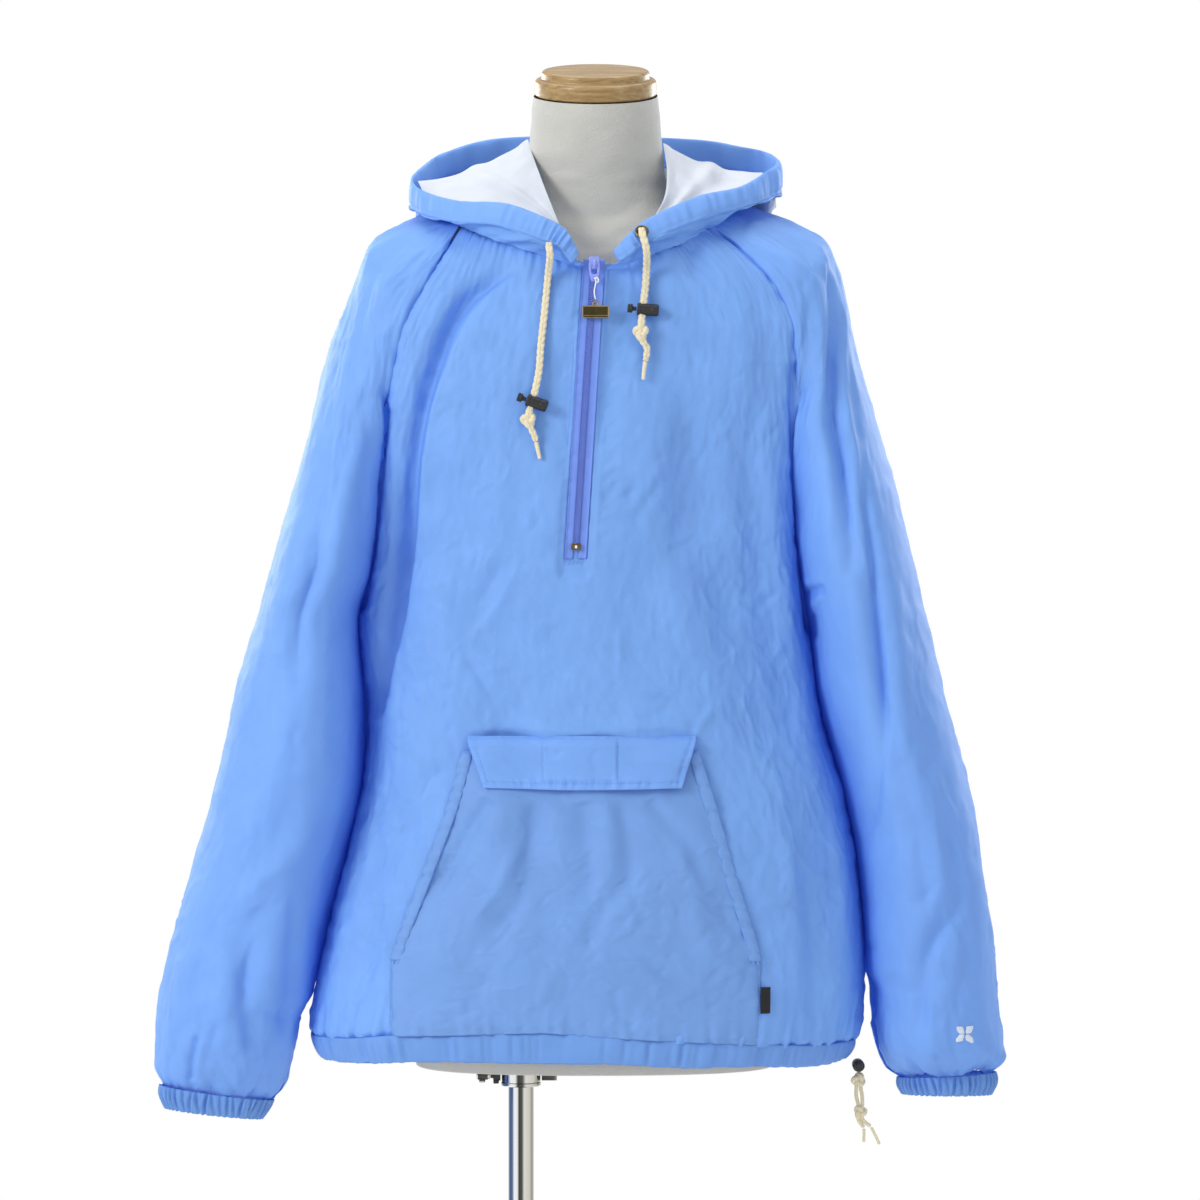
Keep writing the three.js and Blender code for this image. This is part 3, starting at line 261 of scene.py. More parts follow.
def panel_at(T, F, sign, s, z):
    L, R, yL, yR, d, b = (at(T, "z", z, c) for c in ("L", "R", "yL", "yR", "d", "b"))
    u, edge = mix(L, R, (s + 1) / 2), mix(yL, yR, (s + 1) / 2)
    cup = np.maximum(1 - np.abs(s) ** ROUND, 0) ** b
    y = edge + sign * (d - sign * edge) * cup - sign * folds(F, u, z) * cup
    return vec(CX + u, y, z)


def front_at(s, z):
    return panel_at(FRONT, FRONT_FOLDS, -1, s, z)


def back_at(s, z):
    return panel_at(BACK, BACK_FOLDS, 1, s, z)


def front_xz(u, z):
    L, R = at(FRONT, "z", z, "L"), at(FRONT, "z", z, "R")
    return front_at(np.clip(2 * (u - L) / (R - L) - 1, -1, 1), z)


def front_normal(u, z):
    a, b, c, d = front_xz(u - 3, z), front_xz(u + 3, z), front_xz(u, z - 3), front_xz(u, z + 3)
    return unit(np.cross(b - a, d - c))


def unit(v):
    return v / np.maximum(np.linalg.norm(v, axis=-1, keepdims=True), 1e-9)


def stations(side):
    e, T = ("L", TUBE_L) if side < 0 else ("R", TUBE_R)
    Y = YOKE
    out = dict(
        fu=at(FRONT, "z", Y["fz"], e) + side * Y["g"], fy=at(FRONT, "z", Y["fz"], "y" + e), fz=Y["fz"],
        bu=at(BACK, "z", Y["bz"], e) + side * Y["g"], by=at(BACK, "z", Y["bz"], "y" + e), bz=Y["bz"],
        ou=side * Y["oL" if side < 0 else "oR"], oy=0 * Y["g"], oz=Y["oz"], B=Y["B"], q=Y["q"])
    tube = dict(fu=side * T["i"], fy=T["yc"] - 0.25, fz=T["iz"], bu=side * T["i"], by=T["yc"] + 0.25, bz=T["iz"],
                ou=side * T["o"], oy=T["yc"], oz=T["oz"], B=T["B"], q=1 + 0 * T["i"])
    out = {k: np.concatenate([out[k], tube[k]]) for k in out}
    out["k"] = np.arange(len(out["q"]), dtype=float)
    return out


STATIONS = {-1: stations(-1), 1: stations(1)}
K_END = len(STATIONS[1]["k"]) - 1


def sleeve_at(side, k, t):
    g = {c: at(STATIONS[side], "k", k, c) for c in ("fu", "fy", "fz", "bu", "by", "bz", "ou", "oy", "oz", "B", "q")}
    c, s, q = np.cos(np.pi * t), np.sin(np.pi * t), g["q"]
    lobe = (1 - q) * s + q * (1 - np.cos(2 * np.pi * t)) / 2

    def p(f, b, o):
        return (g[f] + g[b]) / 2 + (g[f] - g[b]) / 2 * c + (g[o] - (g[f] + g[b]) / 2) * lobe
    return vec(CX + p("fu", "bu", "ou"), p("fy", "by", "oy") - g["B"] * np.sin(2 * np.pi * t), p("fz", "bz", "oz"))


def hood_col(t, c):
    return at(HOOD, "t", t, c)


def neck_at(t):
    t = np.asarray(t, float)
    m, side = np.where(t > 0.5, 1 - t, t), np.where(t > 0.5, 1, -1)
    s = side * mix(np.where(side < 0, 0.09, 0.04), 1, np.clip(m / 0.22, 0, 1))
    a = front_at(s, neckline(s))
    tt = np.clip((m - 0.22) / 0.15, 0, 1)
    b = np.where((side < 0)[..., None], sleeve_at(-1, 0 * tt, tt), sleeve_at(1, 0 * tt, tt))
    w = np.clip((m - 0.37) / 0.13, 0, 1)
    c = back_at(side * mix(1, 0, w), 1392 - 4 * smooth(w))
    p = np.where((m < 0.22)[..., None], a, np.where((m < 0.37)[..., None], b, c))
    r = np.radians(hood_col(t, "oa"))
    return p + vec(np.cos(r) * 1.5, np.sin(r) * 1.5, 2.8)


def rim_at(t):
    return vec(CX + hood_col(t, "u"), hood_col(t, "y"), hood_col(t, "z"))


def band_at(t):
    return vec(hood_col(t, "bu"), hood_col(t, "by"), hood_col(t, "bz"))


def hood_at(t, w):
    t, w = np.broadcast_arrays(np.asarray(t, float), np.asarray(w, float))
    N, Q, r = neck_at(t), rim_at(t) + band_at(t), np.radians(hood_col(t, "oa"))
    out = vec(np.cos(r), np.sin(r), 0)
    up = np.array([0, 0, 1.0])
    C1 = N + out * hood_col(t, "e1")[..., None] + up * hood_col(t, "d1")[..., None]
    C2 = Q + out * hood_col(t, "e2")[..., None] + up * hood_col(t, "d2")[..., None]
    m, w = (1 - w)[..., None], w[..., None]
    return N * m ** 3 + C1 * 3 * m * m * w + C2 * 3 * m * w * w + Q * w ** 3


def casing_at(t):
    t = np.asarray(t, float)
    b = band_at(t)
    n = np.linalg.norm(b, axis=-1)
    d = unit(b)
    tan = unit(rim_at(np.minimum(t + 0.01, 1)) - rim_at(np.maximum(t - 0.01, 0)))
    return d, unit(np.cross(tan, d)), rim_at(t) + d * ((n - 3) / 2)[..., None], (n - 3) / 2


# ---- meshes ----
def grid_normals(P, wrap=False):
    du = (np.roll(P, -1, 1) - np.roll(P, 1, 1)) if wrap else np.gradient(P, axis=1)
    return unit(np.cross(du, np.gradient(P, axis=0)))


def grid_faces(m, n, wrap=False, flip=False, start=0):
    i, j = np.arange(m - 1)[:, None], np.arange(n if wrap else n - 1)[None, :]
    f = np.stack([i * n + j, i * n + (j + 1) % n, (i + 1) * n + (j + 1) % n, (i + 1) * n + j], -1).reshape(-1, 4) + start
    return f[:, ::-1] if flip else f


def make(name, verts, faces, mat, body="form", node=(), slot=None, uv=None, flat=False):
    """A mesh object in metres from millimetre points and one or more face arrays."""
    faces = faces if isinstance(faces, list) else [faces]
    faces = [f for f in faces if len(f)]
    me = bpy.data.meshes.new(name)
    v = np.asarray(verts, np.float64).reshape(-1, 3) / 1000
    me.vertices.add(len(v))
    me.vertices.foreach_set("co", v.astype(np.float32).ravel())
    loops = np.concatenate([f.ravel() for f in faces]).astype(np.int32)
    sizes = np.concatenate([np.full(len(f), f.shape[1]) for f in faces])
    me.loops.add(len(loops))
    me.loops.foreach_set("vertex_index", loops)
    me.polygons.add(len(sizes))
    me.polygons.foreach_set("loop_start", (np.cumsum(sizes) - sizes).astype(np.int32))
    me.polygons.foreach_set("use_smooth", np.full(len(sizes), not flat))
    me.update(calc_edges=True)
    if uv is not None:
        layer = me.uv_layers.new(name="UVMap")
        layer.data.foreach_set("uv", np.asarray(uv, np.float32).reshape(-1, 2)[loops].ravel())
    me.validate()
    me.materials.append(mat)
    ob = bpy.data.objects.new(name, me)
    bpy.context.scene.collection.objects.link(ob)
    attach(ob, body)
    if node:
        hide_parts(*([node] if isinstance(node, str) else node))
    return ob


def arc_uv(P):
    """Metres along and across a grid, for the weave."""
    a = np.concatenate([np.zeros((len(P), 1)), np.cumsum(np.linalg.norm(np.diff(P, axis=1), axis=-1), 1)], 1)
    b = np.concatenate([np.zeros((1, P.shape[1])), np.cumsum(np.linalg.norm(np.diff(P, axis=0), axis=-1), 0)], 0)
    return np.stack([a, b], -1) / 1000


def tuck(P, N, edges, step=3.0, inward=1.5):
    """Turns the named edges of a grid under, as a seam does."""
    def add(P, N, axis, first):
        a = np.take(P, 0 if first else -1, axis)
        b = np.take(P, 1 if first else -2, axis)
        n = np.take(N, 0 if first else -1, axis)
        out = unit(a - b)
        e1 = a + out * 0.25 * inward - n * 0.35 * step
        e2 = a + out * 0.1 * inward - n * step
        new = np.stack([e2, e1] if first else [e1, e2], axis)
        nn = np.stack([n, n], axis)
        return (np.concatenate([new, P], axis), np.concatenate([nn, N], axis)) if first else (np.concatenate([P, new], axis), np.concatenate([N, nn], axis))
    for e in edges:
        P, N = add(P, N, 0 if e in "tb" else 1, e in "tl")
    return P, N


def flange(P, N, edges, out=6.0, inn=3.0, side=7.0):
    """Carries the named edges of a grid on past a seam: under the next piece where it faces front or back, towards it where it faces sideways."""
    def add(P, N, axis, first):
        a = np.take(P, 0 if first else -1, axis)
        b = np.take(P, 1 if first else -2, axis)
        n = np.take(N, 0 if first else -1, axis)
        o = unit(a - b)
        f = smooth((np.abs(n[:, 1:2]) - 0.45) / 0.3)
        g = mix(0.12, 1, smooth((a[:, 2:3] - 690) / 60)) if axis else 1.0
        d = mix(side, -inn, f) * g
        e1, e2 = a + o * 0.45 * out * g + n * d * 0.45, a + o * out * g + n * d
        new = np.stack([e2, e1] if first else [e1, e2], axis)
        nn = np.stack([n, n], axis)
        return (np.concatenate([new, P], axis), np.concatenate([nn, N], axis)) if first else (np.concatenate([P, new], axis), np.concatenate([N, nn], axis))
    for e in edges:
        P, N = add(P, N, 0 if e in "tb" else 1, e in "tl")
    return P, N


# ---- folds drawn as lines in the front view ----
def view_px(P):
    k = 0.9 * (4000 + P[..., 1]) / 4000
    return 600 + (P[..., 0] - 71) / k, 600 - (P[..., 2] - 1016) / k


def curve(pts, n=24):
    p = np.asarray(pts, float)
    if len(p) == 2:
        return p[0] + (p[1] - p[0]) * np.linspace(0, 1, max(n // 3, 3))[:, None]
    p = np.concatenate([[2 * p[0] - p[1]], p, [2 * p[-1] - p[-2]]])
    k = len(p) - 3
    s = np.linspace(0, k, n)
    i = np.minimum(s.astype(int), k - 1)
    t = (s - i)[:, None]
    a, b, c, d = p[i], p[i + 1], p[i + 2], p[i + 3]
    return 0.5 * (2 * b + (c - a) * t + (2 * a - 5 * b + 4 * c - d) * t * t + (3 * b - a - 3 * c + d) * t ** 3)


def stroke(X, Y, pts, wl, wr, ta=0.2, tb=0.2, sharp=False):
    """How much of a soft line lies on each point: 1 on it, fading over wl to the viewer's left and wr to the right."""
    out = np.zeros(X.shape)
    pad = 3.2 * max(wl, wr)
    q = np.asarray(pts, float)
    lo, hi = q.min(0) - pad, q.max(0) + pad
    sel = (X > lo[0]) & (X < hi[0]) & (Y > lo[1]) & (Y < hi[1])
    if not sel.any():
        return out
    c = curve(pts, 4 + 5 * len(pts))
    a, e = c[:-1], np.diff(c, axis=0)
    L = np.linalg.norm(e, axis=1)
    arc = np.concatenate([[0], np.cumsum(L)])
    x, y = X[sel][:, None], Y[sel][:, None]
    t = np.clip(((x - a[:, 0]) * e[:, 0] + (y - a[:, 1]) * e[:, 1]) / np.maximum(L ** 2, 1e-9), 0, 1)
    dx, dy = x - a[:, 0] - t * e[:, 0], y - a[:, 1] - t * e[:, 1]
    d2 = dx * dx + dy * dy
    k = d2.argmin(1)
    r = np.arange(len(k))
    d, t = np.sqrt(d2[r, k]), t[r, k]
    side = dx[r, k] * e[k, 1] - dy[r, k] * e[k, 0]
    w = np.where(side < 0, wl, wr)
    s = (arc[k] + t * L[k]) / arc[-1]
    f = np.exp(-(np.sqrt((d / w) ** 2 + 0.02) - 0.1414) * 1.7) if sharp else np.exp(-((d / w) ** 2))
    if sharp:
        f = np.maximum(f - 0.02, 0) / 0.98 * (d < 3.2 * w)
    out[sel] = f * (smooth(s / ta) if ta else 1) * (smooth((1 - s) / tb) if tb else 1)
    return out


def strokes(X, Y, table, scale=1.0):
    D = np.zeros(X.shape)
    for pts, depth, wl, wr, *rest in table:
        ta, tb, sharp = (list(rest) + [0.2, 0.2, False][len(rest):])[:3]
        D += scale * depth * stroke(X, Y, pts, wl, wr, ta, tb, sharp)
    return D


def noise2(shape, step, size, seed, angle=0.0, wrap=False):
    """Smooth noise of unit size on a grid: step is its spacing and size its grain, each (down, across), in mm."""
    m, n = shape
    rng = np.random.default_rng(seed)
    pm, pn = (m, n) if wrap else (int(m * 1.3) + 8, int(n * 1.3) + 8)
    if wrap:
        pm = int(m * 1.3) + 8
    g = rng.standard_normal((pm, pn))
    fy, fx = np.fft.fftfreq(pm, step[0])[:, None], np.fft.rfftfreq(pn, step[1])[None, :]
    ca, sa = math.cos(angle), math.sin(angle)
    a, b = (fy * ca + fx * sa) * size[0], (-fy * sa + fx * ca) * size[1]
    H = np.exp(-2 * (a * a + b * b)) - np.exp(-18 * (a * a + b * b))
    f = np.fft.irfft2(np.fft.rfft2(g) * H, (pm, pn))[:m, :n]
    return f / max(f.std(), 1e-9)


def crease_net(shape, step, size, seed, angle=0.0, wrap=False, width=0.3):
    """Thin soft ridges along the level lines of a noise."""
    f = noise2(shape, step, size, seed, angle, wrap)
    g = noise2(shape, step, (size[0] * 1.7, size[1] * 1.7), seed + 1, 0, wrap)
    return np.exp(-((f / width) ** 2)) * smooth(g * 0.8 + 0.35)


def crinkles(X, Y, seed, count, box, size=(18, 60), depth=(0.25, 0.8), width=(1.6, 4.5), lean=0.0):
    """Many short creases strewn by a seeded generator, some raised and some sunk."""
    rng = np.random.default_rng(seed)
    D = np.zeros(X.shape)
    for _ in range(count):
        x, y = rng.uniform(box[0], box[2]), rng.uniform(box[1], box[3])
        a = rng.normal(lean, 0.75) + math.pi / 2
        L = rng.uniform(*size)
        bend = rng.uniform(-0.25, 0.25) * L
        c, s = math.cos(a), math.sin(a)
        pts = [(x - c * L / 2, y - s * L / 2), (x - s * bend, y + c * bend), (x + c * L / 2, y + s * L / 2)]
        w = rng.uniform(*width)
        d = rng.uniform(*depth) * (1 if rng.random() < 0.5 else -1)
        D += d * stroke(X, Y, pts, w * rng.uniform(0.5, 1.2), w * rng.uniform(0.8, 2.2), 0.45, 0.45, True)
    return D


# ---- materials ----
def material(name):
    m = bpy.data.materials.new(name)
    m.use_nodes = True
    nt = m.node_tree
    return m, nt, nt.nodes["Principled BSDF"]


def node(nt, kind, **kw):
    n = nt.nodes.new(kind)
    for k, v in kw.items():
        if k.startswith("in_"):
            n.inputs[int(k[3:]) if k[3:].isdigit() else k[3:].replace("_", " ")].default_value = v
        else:
            setattr(n, k, v)
    return n


def link(nt, a, b):
    nt.links.new(a, b)


def ramp(nt, source, stops):
    r = node(nt, "ShaderNodeValToRGB")
    el = r.color_ramp.elements
    el[0].position, el[0].color = stops[0][0], stops[0][1]
    el[1].position, el[1].color = stops[-1][0], stops[-1][1]
    for p, c in stops[1:-1]:
        e = el.new(p)
        e.color = c
    link(nt, source, r.inputs["Fac"])
    return r.outputs["Color"]


def rgba(c, k=1.0):
    return (c[0] * k, c[1] * k, c[2] * k, 1)


def coords(nt):
    return node(nt, "ShaderNodeTexCoord").outputs["Object"]


def noise(nt, vector, scale, detail=3, rough=0.55, distortion=0.0):
    n = node(nt, "ShaderNodeTexNoise")
    n.inputs["Scale"].default_value = scale
    n.inputs["Detail"].default_value = detail
    n.inputs["Roughness"].default_value = rough
    n.inputs["Distortion"].default_value = distortion
    link(nt, vector, n.inputs["Vector"])
    return n.outputs["Fac"]


def math_node(nt, op, a, b):
    n = node(nt, "ShaderNodeMath", operation=op)
    for i, v in enumerate((a, b)):
        if isinstance(v, (int, float)):
            n.inputs[i].default_value = v
        else:
            link(nt, v, n.inputs[i])
    return n.outputs[0]


def bump(nt, bsdf, height, distance, strength=1.0, before=None):
    b = node(nt, "ShaderNodeBump")
    b.inputs["Distance"].default_value = distance
    b.inputs["Strength"].default_value = strength
    link(nt, height, b.inputs["Height"])
    if before is not None:
        link(nt, before, b.inputs["Normal"])
    link(nt, b.outputs["Normal"], bsdf.inputs["Normal"])
    return b.outputs["Normal"]


def nylon(name, base, crumple=1.0, rough=0.56, shade=0.93):
    """Thin crisp nylon: fine crumples, a close plain weave, slight variation of its dye, and painted shade that darkens
    the colour and turns it a deeper blue in creases by ambient occlusion.
    """
    m, nt, b = material(name)
    co = coords(nt)
    big = noise(nt, co, 26, 4, 0.6, 0.4)
    fine = noise(nt, co, 150, 5, 0.65, 0.8)
    tone = ramp(nt, big, [(0.3, rgba(base, shade)), (0.62, rgba(base, 1.0))])
    # painted shade: ambient occlusion darkens the base colour and shifts it to a deeper blue in creases and between
    # layers
    deep = node(nt, "ShaderNodeAmbientOcclusion", samples=6)
    deep.inputs["Distance"].default_value = 0.045
    held = ramp(nt, deep.outputs["AO"], [(0.15, (0.62, 0.74, 0.99, 1)), (0.8, (1, 1, 1, 1))])
    both = node(nt, "ShaderNodeMix", data_type="RGBA", blend_type="MULTIPLY")
    both.inputs["Factor"].default_value = 1.0
    link(nt, tone, both.inputs[6])
    link(nt, held, both.inputs[7])
    link(nt, both.outputs[2], b.inputs["Base Color"])
    b.inputs["Roughness"].default_value = rough
    b.inputs["Specular IOR Level"].default_value = 0.3
    h = math_node(nt, "ADD", math_node(nt, "MULTIPLY", big, 1.0), math_node(nt, "MULTIPLY", fine, 0.16))
    n1 = bump(nt, b, h, 0.0010 * crumple, 1.0)
    uv = node(nt, "ShaderNodeTexCoord").outputs["UV"]
    wa = node(nt, "ShaderNodeTexWave", wave_type="BANDS", bands_direction="X")
    wb = node(nt, "ShaderNodeTexWave", wave_type="BANDS", bands_direction="Y")
    for w in (wa, wb):
        w.inputs["Scale"].default_value = 700
        w.inputs["Distortion"].default_value = 0.4
        link(nt, uv, w.inputs["Vector"])
    weave = math_node(nt, "MULTIPLY", wa.outputs["Fac"], wb.outputs["Fac"])
    bump(nt, b, weave, 0.00006, 0.5, n1)
    through = node(nt, "ShaderNodeBsdfTranslucent")
    through.inputs["Color"].default_value = (0.10, 0.30, 1.0, 1)
    blend = node(nt, "ShaderNodeMixShader")
    blend.inputs["Fac"].default_value = 0.16
    link(nt, b.outputs["BSDF"], blend.inputs[1])
    link(nt, through.outputs["BSDF"], blend.inputs[2])
    link(nt, blend.outputs["Shader"], nt.nodes["Material Output"].inputs["Surface"])
    return m


SHELL = (0.205, 0.425, 0.90)
MAT = dict(
    shell=nylon("nylon_shell", SHELL),
    # pocket, trim (cuffs) and hem are darker copies of the shell colour: painted shade for doubled cloth that lets less
    # light through
    pocket=nylon("nylon_pocket_painted_shade", tuple(c * k for c, k in zip(SHELL, (0.93, 0.90, 0.88))), 0.8),
    trim=nylon("nylon_trim_painted_shade", tuple(c * k for c, k in zip(SHELL, (0.80, 0.82, 0.82))), 0.7, 0.52),
    hem=nylon("nylon_hem_painted_shade", tuple(c * k for c, k in zip(SHELL, (0.86, 0.88, 0.90))), 0.8),
)


def fabric(name, base, scale, depth, rough=0.9, sheen=0.2, vary=0.08):
    """Knitted or woven matt cloth with loops at the given scale."""
    m, nt, b = material(name)
    co = coords(nt)
    v = node(nt, "ShaderNodeTexVoronoi", feature="F1")
    v.inputs["Scale"].default_value = scale
    link(nt, co, v.inputs["Vector"])
    n = noise(nt, co, scale * 0.04, 4, 0.6)
    tone = ramp(nt, n, [(0.3, rgba(base, 1 - vary)), (0.7, rgba(base, 1.0))])
    link(nt, tone, b.inputs["Base Color"])
    b.inputs["Roughness"].default_value = rough
    b.inputs["Specular IOR Level"].default_value = 0.25
    b.inputs["Sheen Weight"].default_value = sheen
    h = math_node(nt, "SUBTRACT", noise(nt, co, scale * 0.3, 3, 0.6), math_node(nt, "MULTIPLY", v.outputs["Distance"], 0.8))
    bump(nt, b, h, depth, 0.7)
    return m


def hard(name, base, rough, metal=0.0, wear=0.15, grain=900, depth=0.00005, spec=0.5, coat=0.0):
    """Metal or plastic with faint mottling and small scratches."""
    m, nt, b = material(name)
    co = coords(nt)
    n = noise(nt, co, grain * 0.15, 4, 0.6)
    tone = ramp(nt, n, [(0.3, rgba(base, 1 - wear)), (0.7, rgba(base, 1.0))])
    link(nt, tone, b.inputs["Base Color"])
    r = node(nt, "ShaderNodeMapRange")
    r.inputs["To Min"].default_value = max(rough - 0.06, 0.03)
    r.inputs["To Max"].default_value = rough + 0.08
    link(nt, noise(nt, co, grain * 0.4, 3), r.inputs["Value"])
    link(nt, r.outputs["Result"], b.inputs["Roughness"])
    b.inputs["Metallic"].default_value = metal
    b.inputs["Specular IOR Level"].default_value = spec
    b.inputs["Coat Weight"].default_value = coat
    bump(nt, b, noise(nt, co, grain, 3), depth, 0.5)
    return m


def wood_material():
    m, nt, b = material("turned_wood")
    co = coords(nt)
    mp = node(nt, "ShaderNodeMapping")
    mp.inputs["Scale"].default_value = (3, 26, 60)
    link(nt, co, mp.inputs["Vector"])
    n = noise(nt, mp.outputs["Vector"], 6, 6, 0.6, 0.6)
    fine = node(nt, "ShaderNodeMapping")
    fine.inputs["Scale"].default_value = (8, 90, 240)
    link(nt, co, fine.inputs["Vector"])
    f = noise(nt, fine.outputs["Vector"], 10, 4, 0.6)
    both = math_node(nt, "ADD", math_node(nt, "MULTIPLY", n, 0.65), math_node(nt, "MULTIPLY", f, 0.35))
    tone = ramp(nt, both, [(0.35, (0.21, 0.115, 0.035, 1)), (0.5, (0.32, 0.20, 0.070, 1)), (0.65, (0.44, 0.31, 0.13, 1))])
    link(nt, tone, b.inputs["Base Color"])
    b.inputs["Roughness"].default_value = 0.42
    b.inputs["Coat Weight"].default_value = 0.25
    b.inputs["Coat Roughness"].default_value = 0.2
    bump(nt, b, both, 0.0002, 0.5)
    return m


def braid_material():
    m, nt, b = material("braided_cotton")
    co = coords(nt)
    n = noise(nt, co, 900, 4, 0.7)
    tone = ramp(nt, n, [(0.3, (0.62, 0.54, 0.34, 1)), (0.65, (0.84, 0.77, 0.56, 1))])
    link(nt, tone, b.inputs["Base Color"])
    b.inputs["Roughness"].default_value = 0.88
    b.inputs["Sheen Weight"].default_value = 0.3
    bump(nt, b, n, 0.0004, 0.6)
    return m


def chrome_painted_reflection_material():
    """Bright metal whose colour carries painted reflections: long dark and blue streaks down it, set by the normal's
    sideways direction, as a polished pole reflects a room.
    """
    m, nt, b = material("chrome")
    sep = node(nt, "ShaderNodeSeparateXYZ")
    link(nt, node(nt, "ShaderNodeTexCoord").outputs["Normal"], sep.inputs["Vector"])
    half = math_node(nt, "ADD", math_node(nt, "MULTIPLY", sep.outputs["X"], 0.5), 0.5)
    # painted reflections: bright, dark and blue streaks of the room, by the normal's direction
    painted_reflection_bands = [(0.0, (0.55, 0.55, 0.55, 1)), (0.06, (0.05, 0.09, 0.20, 1)), (0.17, (0.10, 0.16, 0.30, 1)), (0.24, (0.85, 0.86, 0.87, 1)), (0.36, (0.80, 0.81, 0.80, 1)),
             (0.42, (0.05, 0.055, 0.05, 1)), (0.55, (0.09, 0.09, 0.08, 1)), (0.63, (0.70, 0.69, 0.64, 1)), (0.83, (0.60, 0.59, 0.52, 1)), (0.93, (0.26, 0.26, 0.22, 1)), (1.0, (0.6, 0.6, 0.55, 1))]
    link(nt, ramp(nt, half, painted_reflection_bands), b.inputs["Base Color"])
    b.inputs["Metallic"].default_value = 1.0
    b.inputs["Roughness"].default_value = 0.13
    bump(nt, b, noise(nt, coords(nt), 900, 3), 0.00003, 0.4)
    return m


MAT.update(
    lining=fabric("brushed_lining", (0.60, 0.64, 0.71), 900, 0.0004),
    knit=fabric("knit_cover", (0.53, 0.53, 0.49), 700, 0.0005, vary=0.05),
    tape=fabric("zip_tape", (0.17, 0.29, 0.78), 1500, 0.0002, 0.75, 0.1),
    teeth=hard("zip_teeth", (0.20, 0.28, 0.80), 0.35),
    label=fabric("woven_label", (0.012, 0.012, 0.014), 1800, 0.0002, 0.7),
    thread=fabric("thread", (0.20, 0.40, 0.86), 2500, 0.0001, 0.7, 0.2),
    embroidery=fabric("embroidery", (0.72, 0.80, 0.92), 2200, 0.0002, 0.5, 0.2),
    string=fabric("white_string", (0.85, 0.86, 0.88), 2500, 0.0002, 0.8, 0.2),
    cord=braid_material(),
    wood=wood_material(),
    black=hard("black_plastic", (0.018, 0.018, 0.020), 0.42, wear=0.3, depth=0.00008),
    bronze=hard("antique_bronze", (0.20, 0.15, 0.07), 0.34, 1.0, 0.45, 700, 0.0001),
    brass=hard("antique_brass", (0.42, 0.32, 0.14), 0.32, 1.0, 0.5, 700, 0.00012),
    dark_brass=hard("dark_brass", (0.085, 0.070, 0.030), 0.40, 1.0, 0.4, 700, 0.00012),
    enamel=hard("zip_enamel", (0.25, 0.33, 0.85), 0.28, 0.0, 0.1, coat=0.3),
    chrome=chrome_painted_reflection_material(),
    steel=hard("brushed_steel", (0.55, 0.56, 0.58), 0.32, 1.0, 0.1),
)

# ---- camera, light and floor ----
cam = bpy.data.objects.new("camera", bpy.data.cameras.new("camera"))
cam.data.lens, cam.data.sensor_width = 133.333, 36.0
cam.data.clip_end = 60
cam.location, cam.rotation_euler = (0.071, -4.0, 1.016), (math.pi / 2, 0, 0)
bpy.context.scene.collection.objects.link(cam)
bpy.context.scene.camera = cam


def area(name, where, target, size, power, color=(1, 1, 1)):
    l = bpy.data.lights.new(name, "AREA")
    l.shape, l.size, l.size_y, l.energy, l.color = "RECTANGLE", size[0], size[1], power, color
    o = bpy.data.objects.new(name, l)
    o.location = where
    d = [target[i] - where[i] for i in range(3)]
    o.rotation_euler = (math.atan2(math.hypot(d[0], d[1]), -d[2]), 0, math.atan2(d[1], d[0]) - math.pi / 2)
    bpy.context.scene.collection.objects.link(o)
    return o


area("key_left", (-2.8, -2.3, 2.5), (0.05, 0, 1.05), (1.3, 1.3), 78, (1.0, 0.99, 0.97))
area("key_right", (2.2, -2.4, 2.3), (0.1, 0, 1.05), (1.4, 1.4), 10, (0.97, 0.99, 1.0))
area("overhead", (0.1, 0.2, 3.1), (0.07, 0, 1.0), (2.0, 2.0), 30)
area("back_left", (-1.9, 2.6, 2.0), (0.05, 0, 1.05), (1.4, 1.4), 40)
area("back_right", (2.1, 2.5, 2.0), (0.05, 0, 1.05), (1.4, 1.4), 40)

world = bpy.data.worlds.new("world")
bpy.context.scene.world = world
world.use_nodes = True
wt = world.node_tree
gen = node(wt, "ShaderNodeTexCoord").outputs["Generated"]
sep = node(wt, "ShaderNodeSeparateXYZ")
link(wt, gen, sep.inputs["Vector"])
lift = math_node(wt, "ABSOLUTE", sep.outputs["Z"], 0)
wcol = ramp(wt, lift, [(0.0, (1, 1, 1, 1)), (0.15, (1, 1, 1, 1)), (0.34, (0.50, 0.50, 0.51, 1)), (1.0, (0.42, 0.42, 0.43, 1))])
link(wt, wcol, wt.nodes["Background"].inputs["Color"])
wt.nodes["Background"].inputs["Strength"].default_value = 1.0
bpy.context.scene.view_settings.view_transform = "Standard"
bpy.context.scene.view_settings.look = "None"


def disc(name, r, z, mat):
    a = np.linspace(0, 2 * np.pi, 97)[:-1]
    v = [[0, 0, z]] + [[r * math.cos(t), r * math.sin(t), z] for t in a]
    me = bpy.data.meshes.new(name)
    me.from_pydata(v, [], [(0, 1 + i, 1 + (i + 1) % 96) for i in range(96)])
    me.materials.append(mat)
    o = bpy.data.objects.new(name, me)
    bpy.context.scene.collection.objects.link(o)
    return o


fm, fnt, fb = material("pale_floor")
fco = coords(fnt)
link(fnt, ramp(fnt, noise(fnt, fco, 3, 4), [(0.3, (0.80, 0.80, 0.80, 1)), (0.7, (0.86, 0.86, 0.86, 1))]), fb.inputs["Base Color"])
fb.inputs["Roughness"].default_value = 0.85
disc("floor", 2.8, -0.0006, fm)


# ---- drawcords first: their routes are the solids' own ----
def on_chest(u, z, off):
    p = front_xz(np.float64(u), np.float64(z))
    return np.array([p[0], p[1] - off, z])


